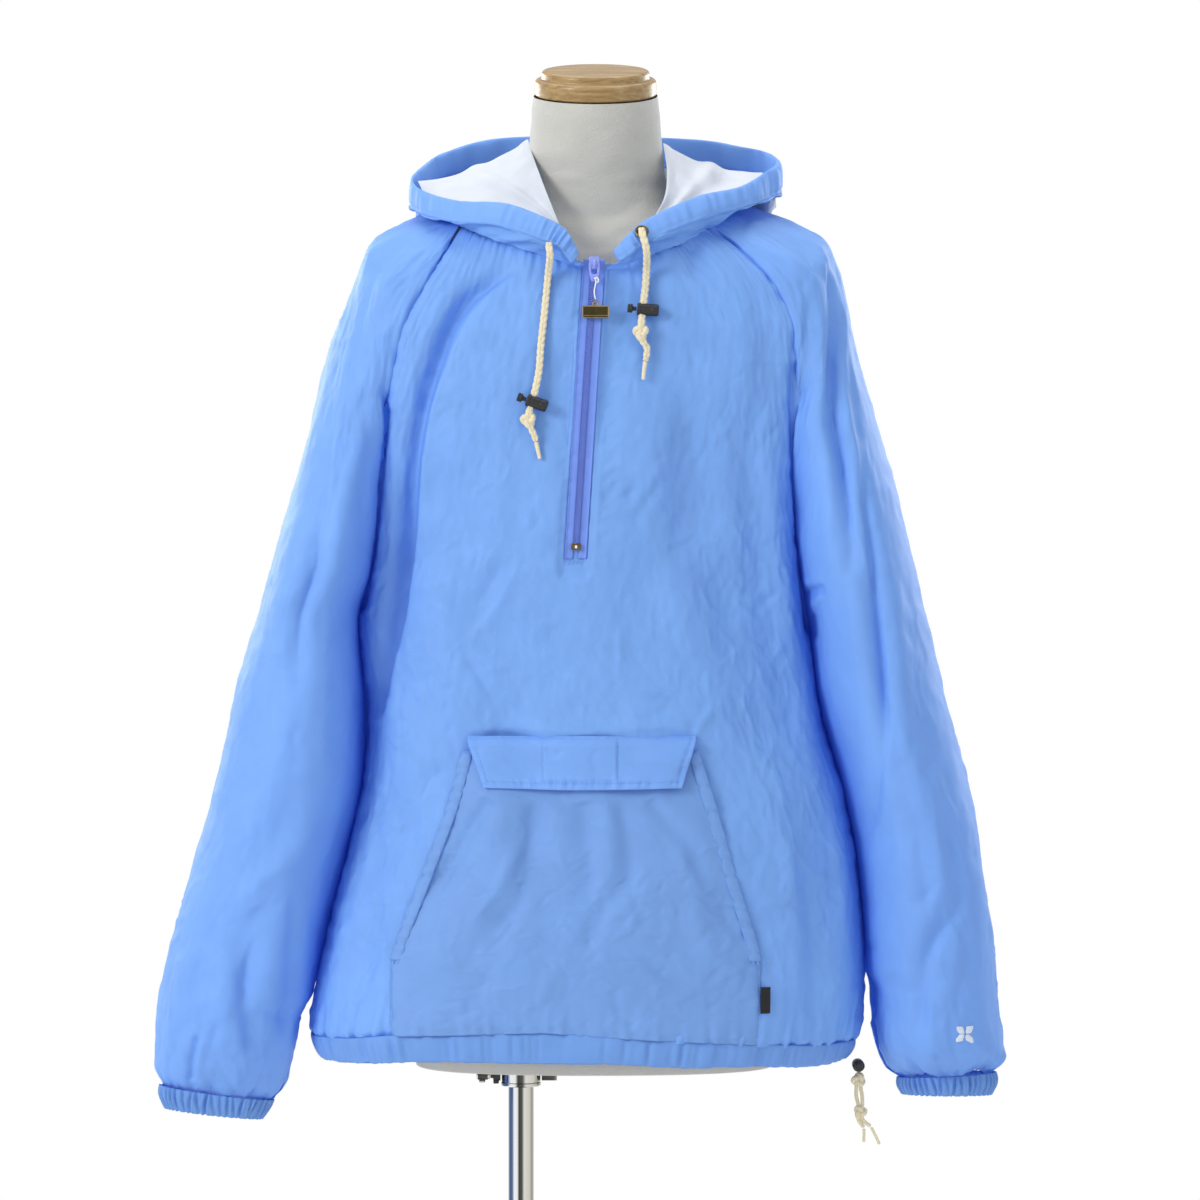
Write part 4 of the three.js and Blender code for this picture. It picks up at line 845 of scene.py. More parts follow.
def spline(pts, n):
    """The same centripetal curve that the solids follow."""
    p = np.asarray(pts, float)
    p = np.concatenate([[2 * p[0] - p[1]], p, [2 * p[-1] - p[-2]]])
    out = []
    segs = len(p) - 3
    for s in np.linspace(0, segs, n):
        i = min(int(s), segs - 1)
        w = s - i
        P = p[i:i + 4]
        d = [max(np.dot(P[j + 1] - P[j], P[j + 1] - P[j]) ** 0.25, 1e-4) for j in range(3)]
        t1 = (P[1] - P[0]) / d[0] - (P[2] - P[0]) / (d[0] + d[1]) + (P[2] - P[1]) / d[1]
        t2 = (P[2] - P[1]) / d[1] - (P[3] - P[1]) / (d[1] + d[2]) + (P[3] - P[2]) / d[2]
        t1, t2 = t1 * d[1], t2 * d[1]
        c2, c3 = -3 * P[1] + 3 * P[2] - 2 * t1 - t2, 2 * P[1] - 2 * P[2] + t1 + t2
        out.append(P[1] + t1 * w + c2 * w * w + c3 * w ** 3)
    return np.array(out)


def even(path, step):
    a = np.concatenate([[0], np.cumsum(np.linalg.norm(np.diff(path, axis=0), axis=1))])
    n = max(int(round(a[-1] / step)), 3)
    s = np.linspace(0, a[-1], n + 1)
    return np.stack([np.interp(s, a, path[:, i]) for i in range(3)], 1), a[-1]


def frames_along(path, first=(0, -1, 0)):
    t = unit(np.gradient(path, axis=0))
    n = np.zeros_like(path)
    v = np.array(first, float)
    for i in range(len(path)):
        v = v - t[i] * np.dot(v, t[i])
        v /= max(np.linalg.norm(v), 1e-9)
        n[i] = v
    return t, n, np.cross(t, n)


def braided(path, radius, around=36, step=0.5, pitch=6.0, plaits=4, depth=1.15, ends=True):
    """A tube of plaited strands: neighbouring columns slant opposite ways and meet in a chevron."""
    p, length = even(path, step)
    t, n, b = frames_along(p)
    s = np.linspace(0, length, len(p))[:, None]
    a = (2 * np.pi * np.arange(around) / around)[None, :]
    col = a / (2 * np.pi) * plaits
    k = np.floor(col)
    f = col - k
    slant = np.where(k % 2 == 0, f, 1 - f)
    bead = np.abs(np.sin(np.pi * (s / pitch + slant * 0.85)))
    rib = np.sin(np.pi * f) ** 0.5
    r = np.broadcast_to(np.asarray(radius, float).reshape(-1, 1) if np.ndim(radius) else radius, (len(p), 1))
    h = r - depth + depth * (0.25 + 0.75 * bead ** 0.6) * (0.35 + 0.65 * rib) * 1.25
    if ends:
        e = np.minimum(s, length - s)
        h = h * np.sqrt(np.clip(1 - (1 - np.minimum(e / 1.2, 1)) ** 2, 0.02, 1))
    P = p[:, None] + n[:, None] * (np.cos(a) * h)[..., None] + b[:, None] * (np.sin(a) * h)[..., None]
    return P, length


def tube_faces(m, n, closed=False):
    f = grid_faces(m, n, wrap=True)
    if closed:
        return f
    lo, hi = np.arange(n)[None, ::-1], (m - 1) * n + np.arange(n)[None, :]
    return [f, lo, hi]


def tube_object(name, P, mat, closed=False, **kw):
    return make(name, P, tube_faces(P.shape[0], P.shape[1], closed), mat, **kw)


CHEST = CORD_R + 1.4
LOCK_L, LOCK_R = on_chest(-55, 1189, LOCK["r"] + 1.2), on_chest(41.7, 1270, LOCK["r"] + 1.2)
DIR_L = np.array([-math.cos(0.33), 0, math.sin(0.33)])
DIR_R = np.array([-math.cos(0.082), 0, math.sin(0.082)])
EYE_LN = unit(np.array([0.03, -0.25, -1.0]))
EYE_L = rim_at(0.09) + band_at(0.09) + np.array([-0.5, -5.2, -0.4])
_, nrm, EYE_MID, _ = casing_at(0.912)
EYE_RN = -nrm if nrm[1] > 0 else nrm
EYE_R = EYE_MID + EYE_RN * 3.3
KNOT_L, KNOT_R = on_chest(-58.5, 1172.8, 7.2), on_chest(39.6, 1249.5, 7.2)

left_up = [EYE_L + EYE_LN * 1.2, EYE_L + EYE_LN * 6, np.array([CX - 39.6, -125.2, 1318]), on_chest(-41.5, 1300, CHEST + 4), on_chest(-44.5, 1268, CHEST),
           on_chest(-47.5, 1240, CHEST), on_chest(-49.5, 1215, CHEST), np.array([CX - 53.5, LOCK_L[1], LOCK_L[2] + 6.2])]
right_up = [EYE_R + EYE_RN * 3.4, EYE_R + EYE_RN * 5.4 + np.array([0.3, 0, -2]), np.array([CX + 44.3, -125.4, 1322]), on_chest(44.6, 1304, CHEST + 3.4),
            on_chest(43.6, 1289, CHEST + 0.5), np.array([CX + 42, LOCK_R[1], LOCK_R[2] + 6])]
left_down = [np.array([KNOT_L[0] + 2.4, KNOT_L[1], KNOT_L[2] - 7]), on_chest(-53, 1158.5, CHEST + 0.5), on_chest(-52, 1154, CHEST)]
right_down = [np.array([KNOT_R[0] + 2.0, KNOT_R[1], KNOT_R[2] - 7.6]), on_chest(45, 1236, CHEST), on_chest(44.6, 1230, CHEST - 0.4), on_chest(43.6, 1224.5, CHEST - 0.6)]


def knot_mesh(name, c, r, size, nodes, turn=0.0, seed=1):
    """A tight overhand knot: one strand wound through itself."""
    t = np.linspace(0, 2 * np.pi, 150)[:-1]
    q = np.stack([np.sin(t) + 2 * np.sin(2 * t), -np.sin(3 * t) * 1.15, np.cos(t) - 2 * np.cos(2 * t)], 1) / 3
    ca, sa = math.cos(turn), math.sin(turn)
    q = np.stack([q[:, 0] * ca - q[:, 2] * sa, q[:, 1], q[:, 0] * sa + q[:, 2] * ca], 1)
    q = q * np.asarray(size) + c
    p = np.concatenate([q, q[:1]])
    tt = unit(np.roll(q, -1, 0) - np.roll(q, 1, 0))
    n = np.zeros_like(q)
    v = np.array([0.3, 1, 0.2])
    for k in range(2):
        for i in range(len(q)):
            v = v - tt[i] * np.dot(v, tt[i])
            v /= np.linalg.norm(v)
            n[i] = v
    b = np.cross(tt, n)
    s = np.concatenate([[0], np.cumsum(np.linalg.norm(np.diff(p, axis=0), axis=1))])[:-1, None]
    a = (2 * np.pi * np.arange(28) / 28)[None, :]
    col = a / (2 * np.pi) * 6
    f = col - np.floor(col)
    slant = np.where(np.floor(col) % 2 == 0, f, 1 - f)
    h = r - 0.35 + 0.45 * np.abs(np.sin(np.pi * (s / 4.2 + slant * 0.85))) ** 0.6 * (0.4 + 0.6 * np.sin(np.pi * f) ** 0.5)
    P = q[:, None] + n[:, None] * (np.cos(a) * h)[..., None] + b[:, None] * (np.sin(a) * h)[..., None]
    m, k = P.shape[:2]
    i, j = np.arange(m)[:, None], np.arange(k)[None, :]
    faces = np.stack([i * k + j, i * k + (j + 1) % k, (i + 1) % m * k + (j + 1) % k, (i + 1) % m * k + j], -1).reshape(-1, 4)
    return make(name, P, faces, MAT["cord"], node=nodes, slot="cord")


def lathe_mesh(name, profile, mat, place=None, n=64, body="form", node=(), slot=None):
    """A turned piece round +Z from (radius, height) points; `place` moves the points."""
    r = np.array(profile, float)
    a = 2 * np.pi * np.arange(n) / n
    P = np.stack([r[:, :1] * np.cos(a), r[:, :1] * np.sin(a), np.broadcast_to(r[:, 1:], (len(r), n))], -1)
    if place is not None:
        P = place(P)
    return tube_object(name, P, mat, body=body, node=node, slot=slot)


def turned(points, bevel=0.4, k=4):
    """Rounds each corner of a profile."""
    p = np.array(points, float)
    out = [p[0]]
    for i in range(1, len(p) - 1):
        a, b = p[i - 1] - p[i], p[i + 1] - p[i]
        la, lb = np.linalg.norm(a), np.linalg.norm(b)
        d = min(bevel, la * 0.45, lb * 0.45)
        A, B = p[i] + a / la * d, p[i] + b / lb * d
        for t in np.linspace(0, 1, k):
            out.append((1 - t) ** 2 * A + 2 * t * (1 - t) * p[i] + t * t * B)
    out.append(p[-1])
    return np.array(out)


def frame_to(direction, origin):
    d = unit(np.asarray(direction, float))
    a = np.array([0, 0, 1.0]) if abs(d[2]) < 0.8 else np.array([0, 1.0, 0])
    x = unit(np.cross(a, d))
    y = np.cross(d, x)
    return lambda P: origin + P[..., :1] * x + P[..., 1:2] * y + P[..., 2:] * d


def lock(prefix, c, d, body):
    L = LOCK
    y0 = -(L["len"] + L["gap"] + L["press"]) / 2
    y1 = y0 + L["len"]
    R = L["r"]
    prof = [(0.01, y0 + 0.25), (R - 2.2, y0), (R - 0.9, y0 + 0.3), (R - 0.1, y0 + 1.6), (R - 0.15, y0 + 6), (R - 0.35, y0 + 6.3), (R - 0.35, y0 + 6.9), (R - 0.1, y0 + 7.3),
            (R, y1 - 4.4), (R - 0.45, y1 - 4.1), (R - 0.45, y1 - 3.5), (R, y1 - 3.2), (R, y1 - 0.7), (R - 0.7, y1), (L["bore"] + 0.3, y1), (L["bore"] + 0.05, y1 - 0.4), (L["bore"] + 0.05, y1 - 9.3), (0.01, y1 - 9.3)]
    place = frame_to(d, c)
    barrel = lathe_mesh(prefix + "_barrel_fine", turned(prof, 0.35), MAT["black"], place, 56, "form", prefix + "_barrel", "black")
    g, B = L["gap"], L["button"]
    prof = [(0.01, y1 + 0.5), (1.78, y1 + 0.5), (1.78, y1 + g - 1.4), (2.5, y1 + g), (B - 0.3, y1 + g), (B, y1 + g + 0.5), (B, y1 + g + 1.6), (B - 0.35, y1 + g + 1.9), (B - 0.35, y1 + g + 2.3), (B, y1 + g + 2.6),
            (B - 0.1, y1 + g + 3.9), (B - 0.9, y1 + g + 4.45), (0.01, y1 + g + 4.5)]
    plunger = lathe_mesh(prefix + "_plunger_fine", turned(prof, 0.3), MAT["black"], place, 48, body, prefix + "_plunger", "black")
    return barrel, plunger


locks = [lock("cord_lock_left", LOCK_L, DIR_L, "button_left"), lock("cord_lock_right", LOCK_R, DIR_R, "button_right")]
knots = [knot_mesh("knot_left", KNOT_L, 2.7, (4.9, 3.0, 5.0), "cord_knot_left", 0.3), knot_mesh("knot_right", KNOT_R, 2.7, (4.9, 3.0, 5.4), "cord_knot_right", 2.2)]
cord_left_path = spline(left_up + [LOCK_L + np.array([-0.8, 0, -2]), np.array([KNOT_L[0] + 0.5, KNOT_L[1], KNOT_L[2] + 6]), KNOT_L] + left_down, 160)
cord_right_path = spline(right_up + [LOCK_R + np.array([-0.6, 0, -2]), np.array([KNOT_R[0] + 0.3, KNOT_R[1], KNOT_R[2] + 6]), KNOT_R] + right_down, 160)


def drawcord(name, path, nodes, lock_pieces, knot, tip_pts, tip_node, exit, held):
    p, real = even(path, 0.5)
    s = np.linspace(0, real, len(p))
    r = CORD_R - 0.4 * smooth((s - (real - 24)) / 8) - 0.5 * smooth((s - (real - 5)) / 5)
    r = r - 1.9 * np.exp(-((np.linalg.norm(p - held, axis=1) / 4.9) ** 4))
    P, real = braided(path, r)
    ob = tube_object(name, P, MAT["cord"], node=nodes, slot="cord")
    tip, _ = even(spline(tip_pts, 30), 0.5)
    st = np.linspace(0, 1, len(tip))
    T, _ = braided(tip, 1.95 - 0.35 * st, 32, 0.5, 2.4, 6, 0.1)
    tip_ob = tube_object(name + "_tip", T, MAT["cord"], node=tip_node, slot="cord")
    [float(v) / 1000 for v in exit]
    [[float(v) / 1000 for v in q] for q in even(path, 3)[0]]
    list(lock_pieces) + [knot, tip_ob]
    print(name, "length", round(real, 1))
    return ob


drawcord("drawcord_left", cord_left_path, ["cord_left_upper", "cord_left_lower"], locks[0], knots[0],
         [on_chest(-51.9, 1154.2, CHEST), on_chest(-50, 1146, CHEST - 0.6), on_chest(-48.4, 1139, CHEST - 0.8)], "cord_tip_left", left_up[0], LOCK_L)
drawcord("drawcord_right", cord_right_path, ["cord_right_upper", "cord_right_lower"], locks[1], knots[1],
         [on_chest(43.6, 1224.8, CHEST - 0.6), on_chest(42.4, 1216, CHEST - 0.8), on_chest(41.6, 1208, CHEST - 1)], "cord_tip_right", right_up[0], LOCK_R)

# hem cord: the lock stands out of the casing; two strands, two knots, two thin ends
HEM_LOCK = np.array([CX + 235, -28.0, 600.0])
HK1, HK2 = HEM_LOCK + np.array([0, 0, -12.6]), HEM_LOCK + np.array([1.5, 0, -41.5])
hem_lock = lock("hem_lock", HEM_LOCK, (0, -1, 0), "button_hem")
hem_knots = [knot_mesh("hem_knot_upper_fine", HK1, 2.5, (4.7, 4.2, 4.4), "hem_knot_upper", 0.8), knot_mesh("hem_knot_lower_fine", HK2, 2.4, (4.2, 3.8, 4.4), "hem_knot_lower", 1.7)]
for tag, s in (("a", -1), ("b", 1)):
    end = np.array([3.2, -1, -27.0]) if s < 0 else np.array([17.3, -1, -29.0])
    mid = np.array([3.4, -0.6, -14.0]) if s < 0 else np.array([9.5, -0.6, -13.0])
    sx = np.array([s, 0, 0.0])
    pts = [HK1 + sx * 0.8 + np.array([0, 0, 4.0]), HK1 + sx * 1.6, HK1 + sx * 1.95 + np.array([0, 0, -7.1]), HK1 + sx * 2.6 + np.array([0.6, 0, -14]), HK2 + sx * 1.95 + np.array([0, 0, 6.9]),
           HK2 + sx * 1.2, HK2 + sx * 1.95 + np.array([0.4, 0, -6.9]), HK2 + mid]
    path = spline(pts, 90)
    P, real = braided(path, HEM_CORD_R, 30, 0.5, 3.0, 6, 0.25)
    ob = tube_object("hem_cord_" + tag, P, MAT["cord"], node=["hem_cord_" + tag + "_middle", "hem_cord_" + tag + "_end"], slot="cord")
    d = unit(end - mid)
    T, _ = braided(spline([HK2 + mid + d * 0.6, HK2 + (mid + end) / 2 + np.array([0, 0, 0.2]), HK2 + end], 20), 1.4, 24, 0.5, 2.2, 6, 0.08)
    tip = tube_object("hem_tip_" + tag + "_fine", T, MAT["cord"], node="hem_tip_" + tag, slot="cord")
    print("hem cord", tag, "length", round(real, 1))
    [float(v) / 1000 for v in pts[0]]
    [[float(v) / 1000 for v in q] for q in even(path, 2)[0]]


# ---- the main creases, as lines in the front view: points, depth (up is out), width to the left, width to the right, tapers, crisp ----
FRONT_LINES = [
    ([(528, 264), (500, 276), (470, 302), (449, 335), (433, 380), (425, 412), (418, 450), (414, 489), (411, 535), (406, 581), (402, 612), (394, 642), (383, 690), (375, 724)], -9, 13, 5.0, 0.12, 0.06),
    ([(505, 285), (477, 312), (458, 345), (443, 385), (434, 420), (427, 460), (423, 505), (419, 550), (413, 600), (402, 650), (391, 695)], 4, 6, 22, 0.15, 0.1),
    ([(685, 380), (686, 434), (688, 519), (704, 567), (736, 637), (750, 728), (757, 800)], -3.5, 22, 26, 0.25, 0.25),
    ([(650, 440), (655, 520), (672, 600), (700, 680), (715, 720)], 2.0, 30, 16, 0.3, 0.3),
    ([(690, 240), (693, 262), (700, 285)], -2.0, 6, 10, 0.2, 0.5),
    ([(770, 430), (774, 520), (790, 620), (806, 720), (818, 800)], 2.5, 14, 12, 0.25, 0.25),
    ([(745, 400), (752, 500), (768, 600), (788, 700), (800, 780)], -2.5, 16, 14, 0.25, 0.25),
    ([(725, 358), (745, 361), (768, 361), (790, 364)], 0.8, 2.2, 3, 0.2, 0.2, True),
    ([(674, 466), (655, 490), (637, 514), (632, 530)], -1.2, 5, 7, 0.3, 0.3),
    ([(640, 470), (625, 505)], -0.8, 4, 6, 0.3, 0.3),
    ([(618, 475), (612, 490), (600, 500)], -0.8, 4, 5, 0.3, 0.2),
    ([(524, 551), (500, 600), (468, 645)], 1.8, 5, 9, 0.3, 0.3),
    ([(505, 560), (486, 590), (476, 610)], -1.2, 6, 5, 0.3, 0.3),
    ([(460, 648), (480, 680), (500, 712)], -1.5, 4, 6, 0.3, 0.3),
    ([(618, 621), (619, 661), (617, 685)], 1.0, 3, 5, 0.3, 0.3),
    ([(715, 701), (699, 728), (693, 737)], 1.5, 4, 6, 0.3, 0.1),
    ([(672, 709), (652, 716), (634, 720)], -1.0, 4, 6, 0.3, 0.3),
    ([(465, 731), (520, 730), (587, 734), (650, 728), (694, 731)], 1.5, 3, 12, 0.05, 0.05),
    ([(340, 905), (375, 900), (400, 905)], 1.0, 3, 5, 0.3, 0.3),
    ([(749, 905), (775, 905), (800, 900)], 1.0, 3, 5, 0.3, 0.3),
    ([(794, 327), (795, 367), (794, 407), (798, 488), (803, 555), (811, 640)], -4, 5, 3, 0.15, 0.05),
    ([(375, 380), (381, 411), (378, 453), (372, 516), (366, 562), (360, 598), (355.5, 620)], -5, 4, 6, 0.2, 0.1),
    ([(640, 560), (655, 610), (690, 668), (712, 700)], -1.3, 12, 14, 0.4, 0.3),
    ([(560, 590), (556, 640), (548, 700)], -1.0, 12, 14, 0.4, 0.3),
    ([(480, 360), (474, 430), (470, 520), (462, 600)], -1.4, 14, 18, 0.35, 0.35),
    ([(505, 420), (500, 500), (490, 560)], 1.0, 12, 14, 0.4, 0.4),
    ([(735, 300), (742, 360), (745, 420)], 1.2, 14, 12, 0.35, 0.35),
    ([(655, 290), (648, 350), (650, 420)], -1.2, 14, 16, 0.35, 0.35),
    ([(428, 770), (400, 840), (372, 930), (352, 1010)], -2.4, 12, 14, 0.25, 0.2),
    ([(445, 690), (420, 760), (396, 850), (378, 940)], 1.6, 10, 12, 0.3, 0.3),
    ([(372, 800), (352, 880), (338, 960), (330, 1020)], 1.8, 9, 12, 0.25, 0.2),
    ([(795, 830), (808, 900), (815, 970), (815, 1030)], -2.4, 12, 12, 0.25, 0.15),
    ([(770, 790), (788, 860), (798, 940), (800, 1020)], 1.6, 10, 12, 0.3, 0.2),
    ([(830, 800), (842, 870), (846, 950), (842, 1020)], 1.8, 9, 9, 0.25, 0.2),
]
ZIG = np.random.default_rng(11)
for yy in range(300, 545, 12):
    xl, xr = 600 - (yy - 257) * 0.062 - 14, 600 - (yy - 257) * 0.062 + 12
    j = ZIG.uniform(-3, 3, 4)
    FRONT_LINES.append(([(xl, yy + j[0]), (xl - 9, yy + 7 + j[1]), (xl - 18 + j[2], yy + 15)], -0.55 - 0.2 * ZIG.random(), 2.6, 3.4, 0.1, 0.6))
    FRONT_LINES.append(([(xr + 3, yy + j[1]), (xr + 13, yy - 5 + j[3]), (xr + 24 + j[0], yy - 12)], -0.6 - 0.25 * ZIG.random(), 2.6, 3.6, 0.1, 0.6))
POCKET_LINES = [
    ([(535, 798), (530, 850), (519, 902), (492, 930), (468, 942)], -2.6, 9, 11, 0.08, 0.3),
    ([(524, 832), (505, 880), (488, 905), (468, 929)], 1.6, 8, 6, 0.3, 0.3),
    ([(581, 800), (587, 835), (589, 870), (583, 920)], -2.6, 12, 12, 0.06, 0.35),
    ([(618, 795), (627, 840), (629, 881), (605, 907), (588, 945), (581, 985)], -2.0, 9, 9, 0.1, 0.3),
    ([(629, 891), (640, 915), (648, 934)], -1.3, 5, 6, 0.3, 0.3),
    ([(648, 798), (668, 824), (688, 846), (709, 891)], -2.0, 9, 8, 0.06, 0.3),
    ([(492, 798), (470, 832), (447, 870), (424, 900)], -2.6, 7, 9, 0.06, 0.3),
    ([(558, 800), (560, 860), (550, 920)], 1.5, 12, 12, 0.15, 0.4),
    ([(606, 800), (610, 850), (606, 890)], 1.5, 10, 10, 0.15, 0.4),
    ([(672, 830), (690, 880), (702, 930), (715, 960)], 1.6, 10, 10, 0.25, 0.3),
    ([(455, 885), (440, 935), (432, 985)], 1.6, 12, 14, 0.3, 0.3),
    ([(500, 960), (478, 990), (462, 1022)], -1.2, 6, 8, 0.3, 0.2),
    ([(640, 950), (660, 975), (690, 992)], -1.1, 5, 7, 0.3, 0.3),
    ([(560, 950), (548, 985), (530, 1015)], 1.0, 7, 8, 0.3, 0.3),
    ([(700, 940), (722, 965), (748, 975)], 1.1, 5, 6, 0.3, 0.2),
    ([(715, 900), (730, 925), (750, 945)], -1.1, 5, 6, 0.3, 0.2),
    ([(610, 990), (618, 1010), (630, 1030)], -1.0, 5, 6, 0.3, 0.1),
    ([(520, 905), (505, 935), (480, 960)], -0.8, 3, 4, 0.3, 0.3, True),
    ([(645, 900), (625, 930), (600, 950)], 0.7, 3, 4, 0.3, 0.3, True),
]
LEFT_LINES = [
    ([(346, 372), (337, 443), (328, 506), (324.5, 550), (322, 622), (320, 700), (319.6, 760), (318, 830)], 3, 5, 22, 0.2, 0.2),
    ([(334, 450), (322, 520), (314, 590), (306, 650), (302, 710)], -3.5, 18, 9, 0.25, 0.3),
    ([(310, 800), (305, 832), (285, 860), (266, 880), (245, 905), (235, 925)], 4, 14, 12, 0.25, 0.25),
    ([(300, 870), (290, 900), (287, 930), (285, 960), (284, 1000), (281, 1035)], -4, 5, 9, 0.25, 0.2),
    ([(297, 880), (298, 940), (296, 990), (290, 1030)], 3, 7, 7, 0.25, 0.25),
    ([(262, 930), (250, 960), (244, 985), (245, 1015), (247, 1035), (250, 1060)], -5, 6, 14, 0.25, 0.15),
    ([(232, 950), (226, 990), (222, 1030)], 3, 14, 8, 0.3, 0.3),
    ([(200, 1028), (193, 1052), (190, 1078)], -3, 4, 3, 0.3, 0.0),
    ([(213, 790), (205, 850), (200, 900)], -2, 10, 12, 0.3, 0.3),
    ([(381, 380), (387, 411), (381, 453), (375, 516), (369, 562), (361, 598), (355.5, 620)], -6, 4, 6, 0.15, 0.1),
    ([(361, 640), (366, 690), (362, 740), (350, 800)], -3, 8, 10, 0.2, 0.3),
    ([(395, 300), (372, 360), (355, 430)], 2.0, 12, 14, 0.3, 0.3),
    ([(420, 255), (392, 300), (372, 345)], -1.8, 9, 11, 0.3, 0.4),
    ([(300, 500), (285, 570), (268, 640)], 2.2, 16, 14, 0.3, 0.3),
    ([(262, 690), (250, 760), (236, 830)], -2.4, 16, 14, 0.3, 0.3),
    ([(290, 700), (278, 770), (262, 840)], 2.2, 14, 14, 0.3, 0.3),
    ([(330, 840), (322, 900), (310, 960)], -2.4, 10, 8, 0.3, 0.3),
    ([(190, 940), (184, 990), (186, 1030)], 2.0, 9, 10, 0.3, 0.3),
    ([(216, 900), (206, 950), (203, 1000)], -1.8, 9, 9, 0.3, 0.3),
]
RIGHT_LINES = [
    ([(819.5, 236), (822, 300), (823.5, 370), (822.7, 418), (828, 445), (833, 475), (835, 510), (833, 585)], 5, 12, 3.5, 0.1, 0.15),
    ([(829, 300), (832, 370), (833, 418), (840, 470), (846, 520), (848, 580), (846, 640)], -6, 6, 10, 0.2, 0.25),
    ([(822, 244), (830, 274), (837, 300), (841, 340), (845, 380), (850, 420), (856, 461), (863, 501), (868, 560), (870, 620)], 2.5, 6, 5, 0.1, 0.25),
    ([(842, 330), (853, 390), (860, 425), (866, 455)], -3, 6, 6, 0.3, 0.2),
    ([(862, 440), (866, 488), (870, 528), (875, 566), (880, 640), (883, 700), (884, 760), (880, 806), (871, 852), (868, 880)], -6, 9, 4, 0.15, 0.2),
    ([(871, 450), (878, 488), (886, 536), (893, 595), (897, 660), (900, 720), (905, 780)], 3, 8, 14, 0.2, 0.25),
    ([(800, 370), (800, 430), (801, 488), (806, 540)], -3.5, 4, 5, 0.25, 0.2),
    ([(807, 591), (820, 588), (832, 584.6)], -6, 6, 3, 0.15, 0.2),
    ([(808, 582), (820, 579), (832, 577)], 3, 5, 5, 0.2, 0.2),
    ([(815, 610), (817, 625), (818, 640)], -8, 5, 5, 0.2, 0.2),
    ([(816, 606), (823, 599), (829, 592)], 4, 3, 4, 0.2, 0.2),
    ([(946, 800), (950, 836), (957, 886), (956, 912), (935, 939), (924, 969), (920, 1018), (916, 1050)], -4, 9, 8, 0.2, 0.1),
    ([(935, 830), (940, 880), (930, 910), (912, 945), (905, 985)], 2.5, 10, 10, 0.25, 0.25),
    ([(907, 905), (922, 897), (937, 893)], -1.5, 5, 5, 0.3, 0.3),
    ([(850, 500), (854, 560), (856, 640)], 1.6, 6, 6, 0.3, 0.3),
    ([(905, 560), (914, 640), (922, 720)], -2.0, 10, 12, 0.3, 0.3),
    ([(930, 700), (940, 770), (948, 830)], 2.0, 10, 9, 0.3, 0.3),
    ([(850, 700), (862, 780), (872, 850)], -2.5, 9, 9, 0.3, 0.3),
    ([(900, 790), (896, 850), (886, 920)], -2.0, 10, 12, 0.3, 0.3),
    ([(972, 850), (980, 920), (982, 990)], 2.0, 9, 7, 0.3, 0.3),
    ([(965, 900), (966, 960), (955, 1020)], -1.8, 8, 9, 0.3, 0.3),
    ([(800, 260), (806, 300), (810, 350)], -1.6, 6, 8, 0.3, 0.4),
    ([(740, 232), (770, 262), (795, 300)], 1.0, 6, 8, 0.3, 0.4),
    ([(875, 900), (882, 960), (890, 1010)], 2.2, 7, 8, 0.25, 0.25),
    ([(862, 935), (872, 946), (886, 950)], -3, 4, 5, 0.1, 0.4),
]
BACK_LINES = [  # the back's own, in its own view: across from the middle in mm, and down from the neck seam
    ([(-8, 30), (-60, 120), (-100, 220), (-130, 330)], -6, 20, 26, 0.3, 0.2),
    ([(20, 40), (70, 130), (112, 240), (140, 340)], -6, 26, 20, 0.3, 0.2),
    ([(-140, 120), (-120, 260), (-110, 420)], 4, 16, 20, 0.3, 0.3),
    ([(150, 110), (132, 250), (124, 400)], 4, 20, 16, 0.3, 0.3),
    ([(-60, 300), (-40, 460), (-52, 620)], -4, 24, 20, 0.35, 0.3),
    ([(40, 280), (60, 440), (48, 640)], -4, 20, 26, 0.35, 0.3),
    ([(0, 250), (6, 420), (-4, 600)], 2.6, 22, 22, 0.35, 0.3),
    ([(-170, 420), (-186, 560), (-198, 700)], -5, 14, 18, 0.3, 0.2),
    ([(165, 430), (184, 560), (196, 700)], -5, 18, 14, 0.3, 0.2),
    ([(-120, 500), (-128, 620), (-140, 730)], 3, 14, 16, 0.3, 0.2),
    ([(112, 520), (130, 640), (138, 730)], 3, 16, 14, 0.3, 0.2),
    ([(-90, 660), (-60, 690), (-20, 700)], 1.5, 6, 8, 0.3, 0.3),
    ([(20, 690), (60, 676), (100, 660)], -1.5, 6, 8, 0.3, 0.3),
    ([(-30, 60), (0, 72), (34, 58)], -1.6, 6, 9, 0.25, 0.25),
    ([(-60, 96), (0, 112), (66, 92)], 1.6, 8, 9, 0.25, 0.25),
]

SEAM = (np.array([-258, -218, -179, -110, -45, 13, 79, 144, 193, 237.0]), np.array([628, 630, 635, 638, 640.5, 636, 632, 628, 624, 624.0]))
EDGE = (np.array([-252, -237, -212, -155, -110, -36, 13, 79, 144, 193, 215, 237.0]), np.array([607, 606.5, 607.5, 612, 612.6, 612, 612, 607.5, 607.5, 604, 605, 607.5]))


def seam_z(u):
    return np.interp(u, *SEAM)


def edge_z(u):
    return np.interp(u, *EDGE)


POCKET = rows("z l r", [[892, -115, 87.5], [837, -129.5, 105], [774, -152.5, 123], [706, -178, 143.5], [680, -180, 144.5], [632, -179, 145]])


def pocket_l(z):
    return at(POCKET, "z", z, "l")


def pocket_r(z):
    return at(POCKET, "z", z, "r")


def zip_u(z):
    return mix(ZIP["botU"], ZIP["topU"], (z - ZIP["botZ"]) / (ZIP["topZ"] - ZIP["botZ"]))


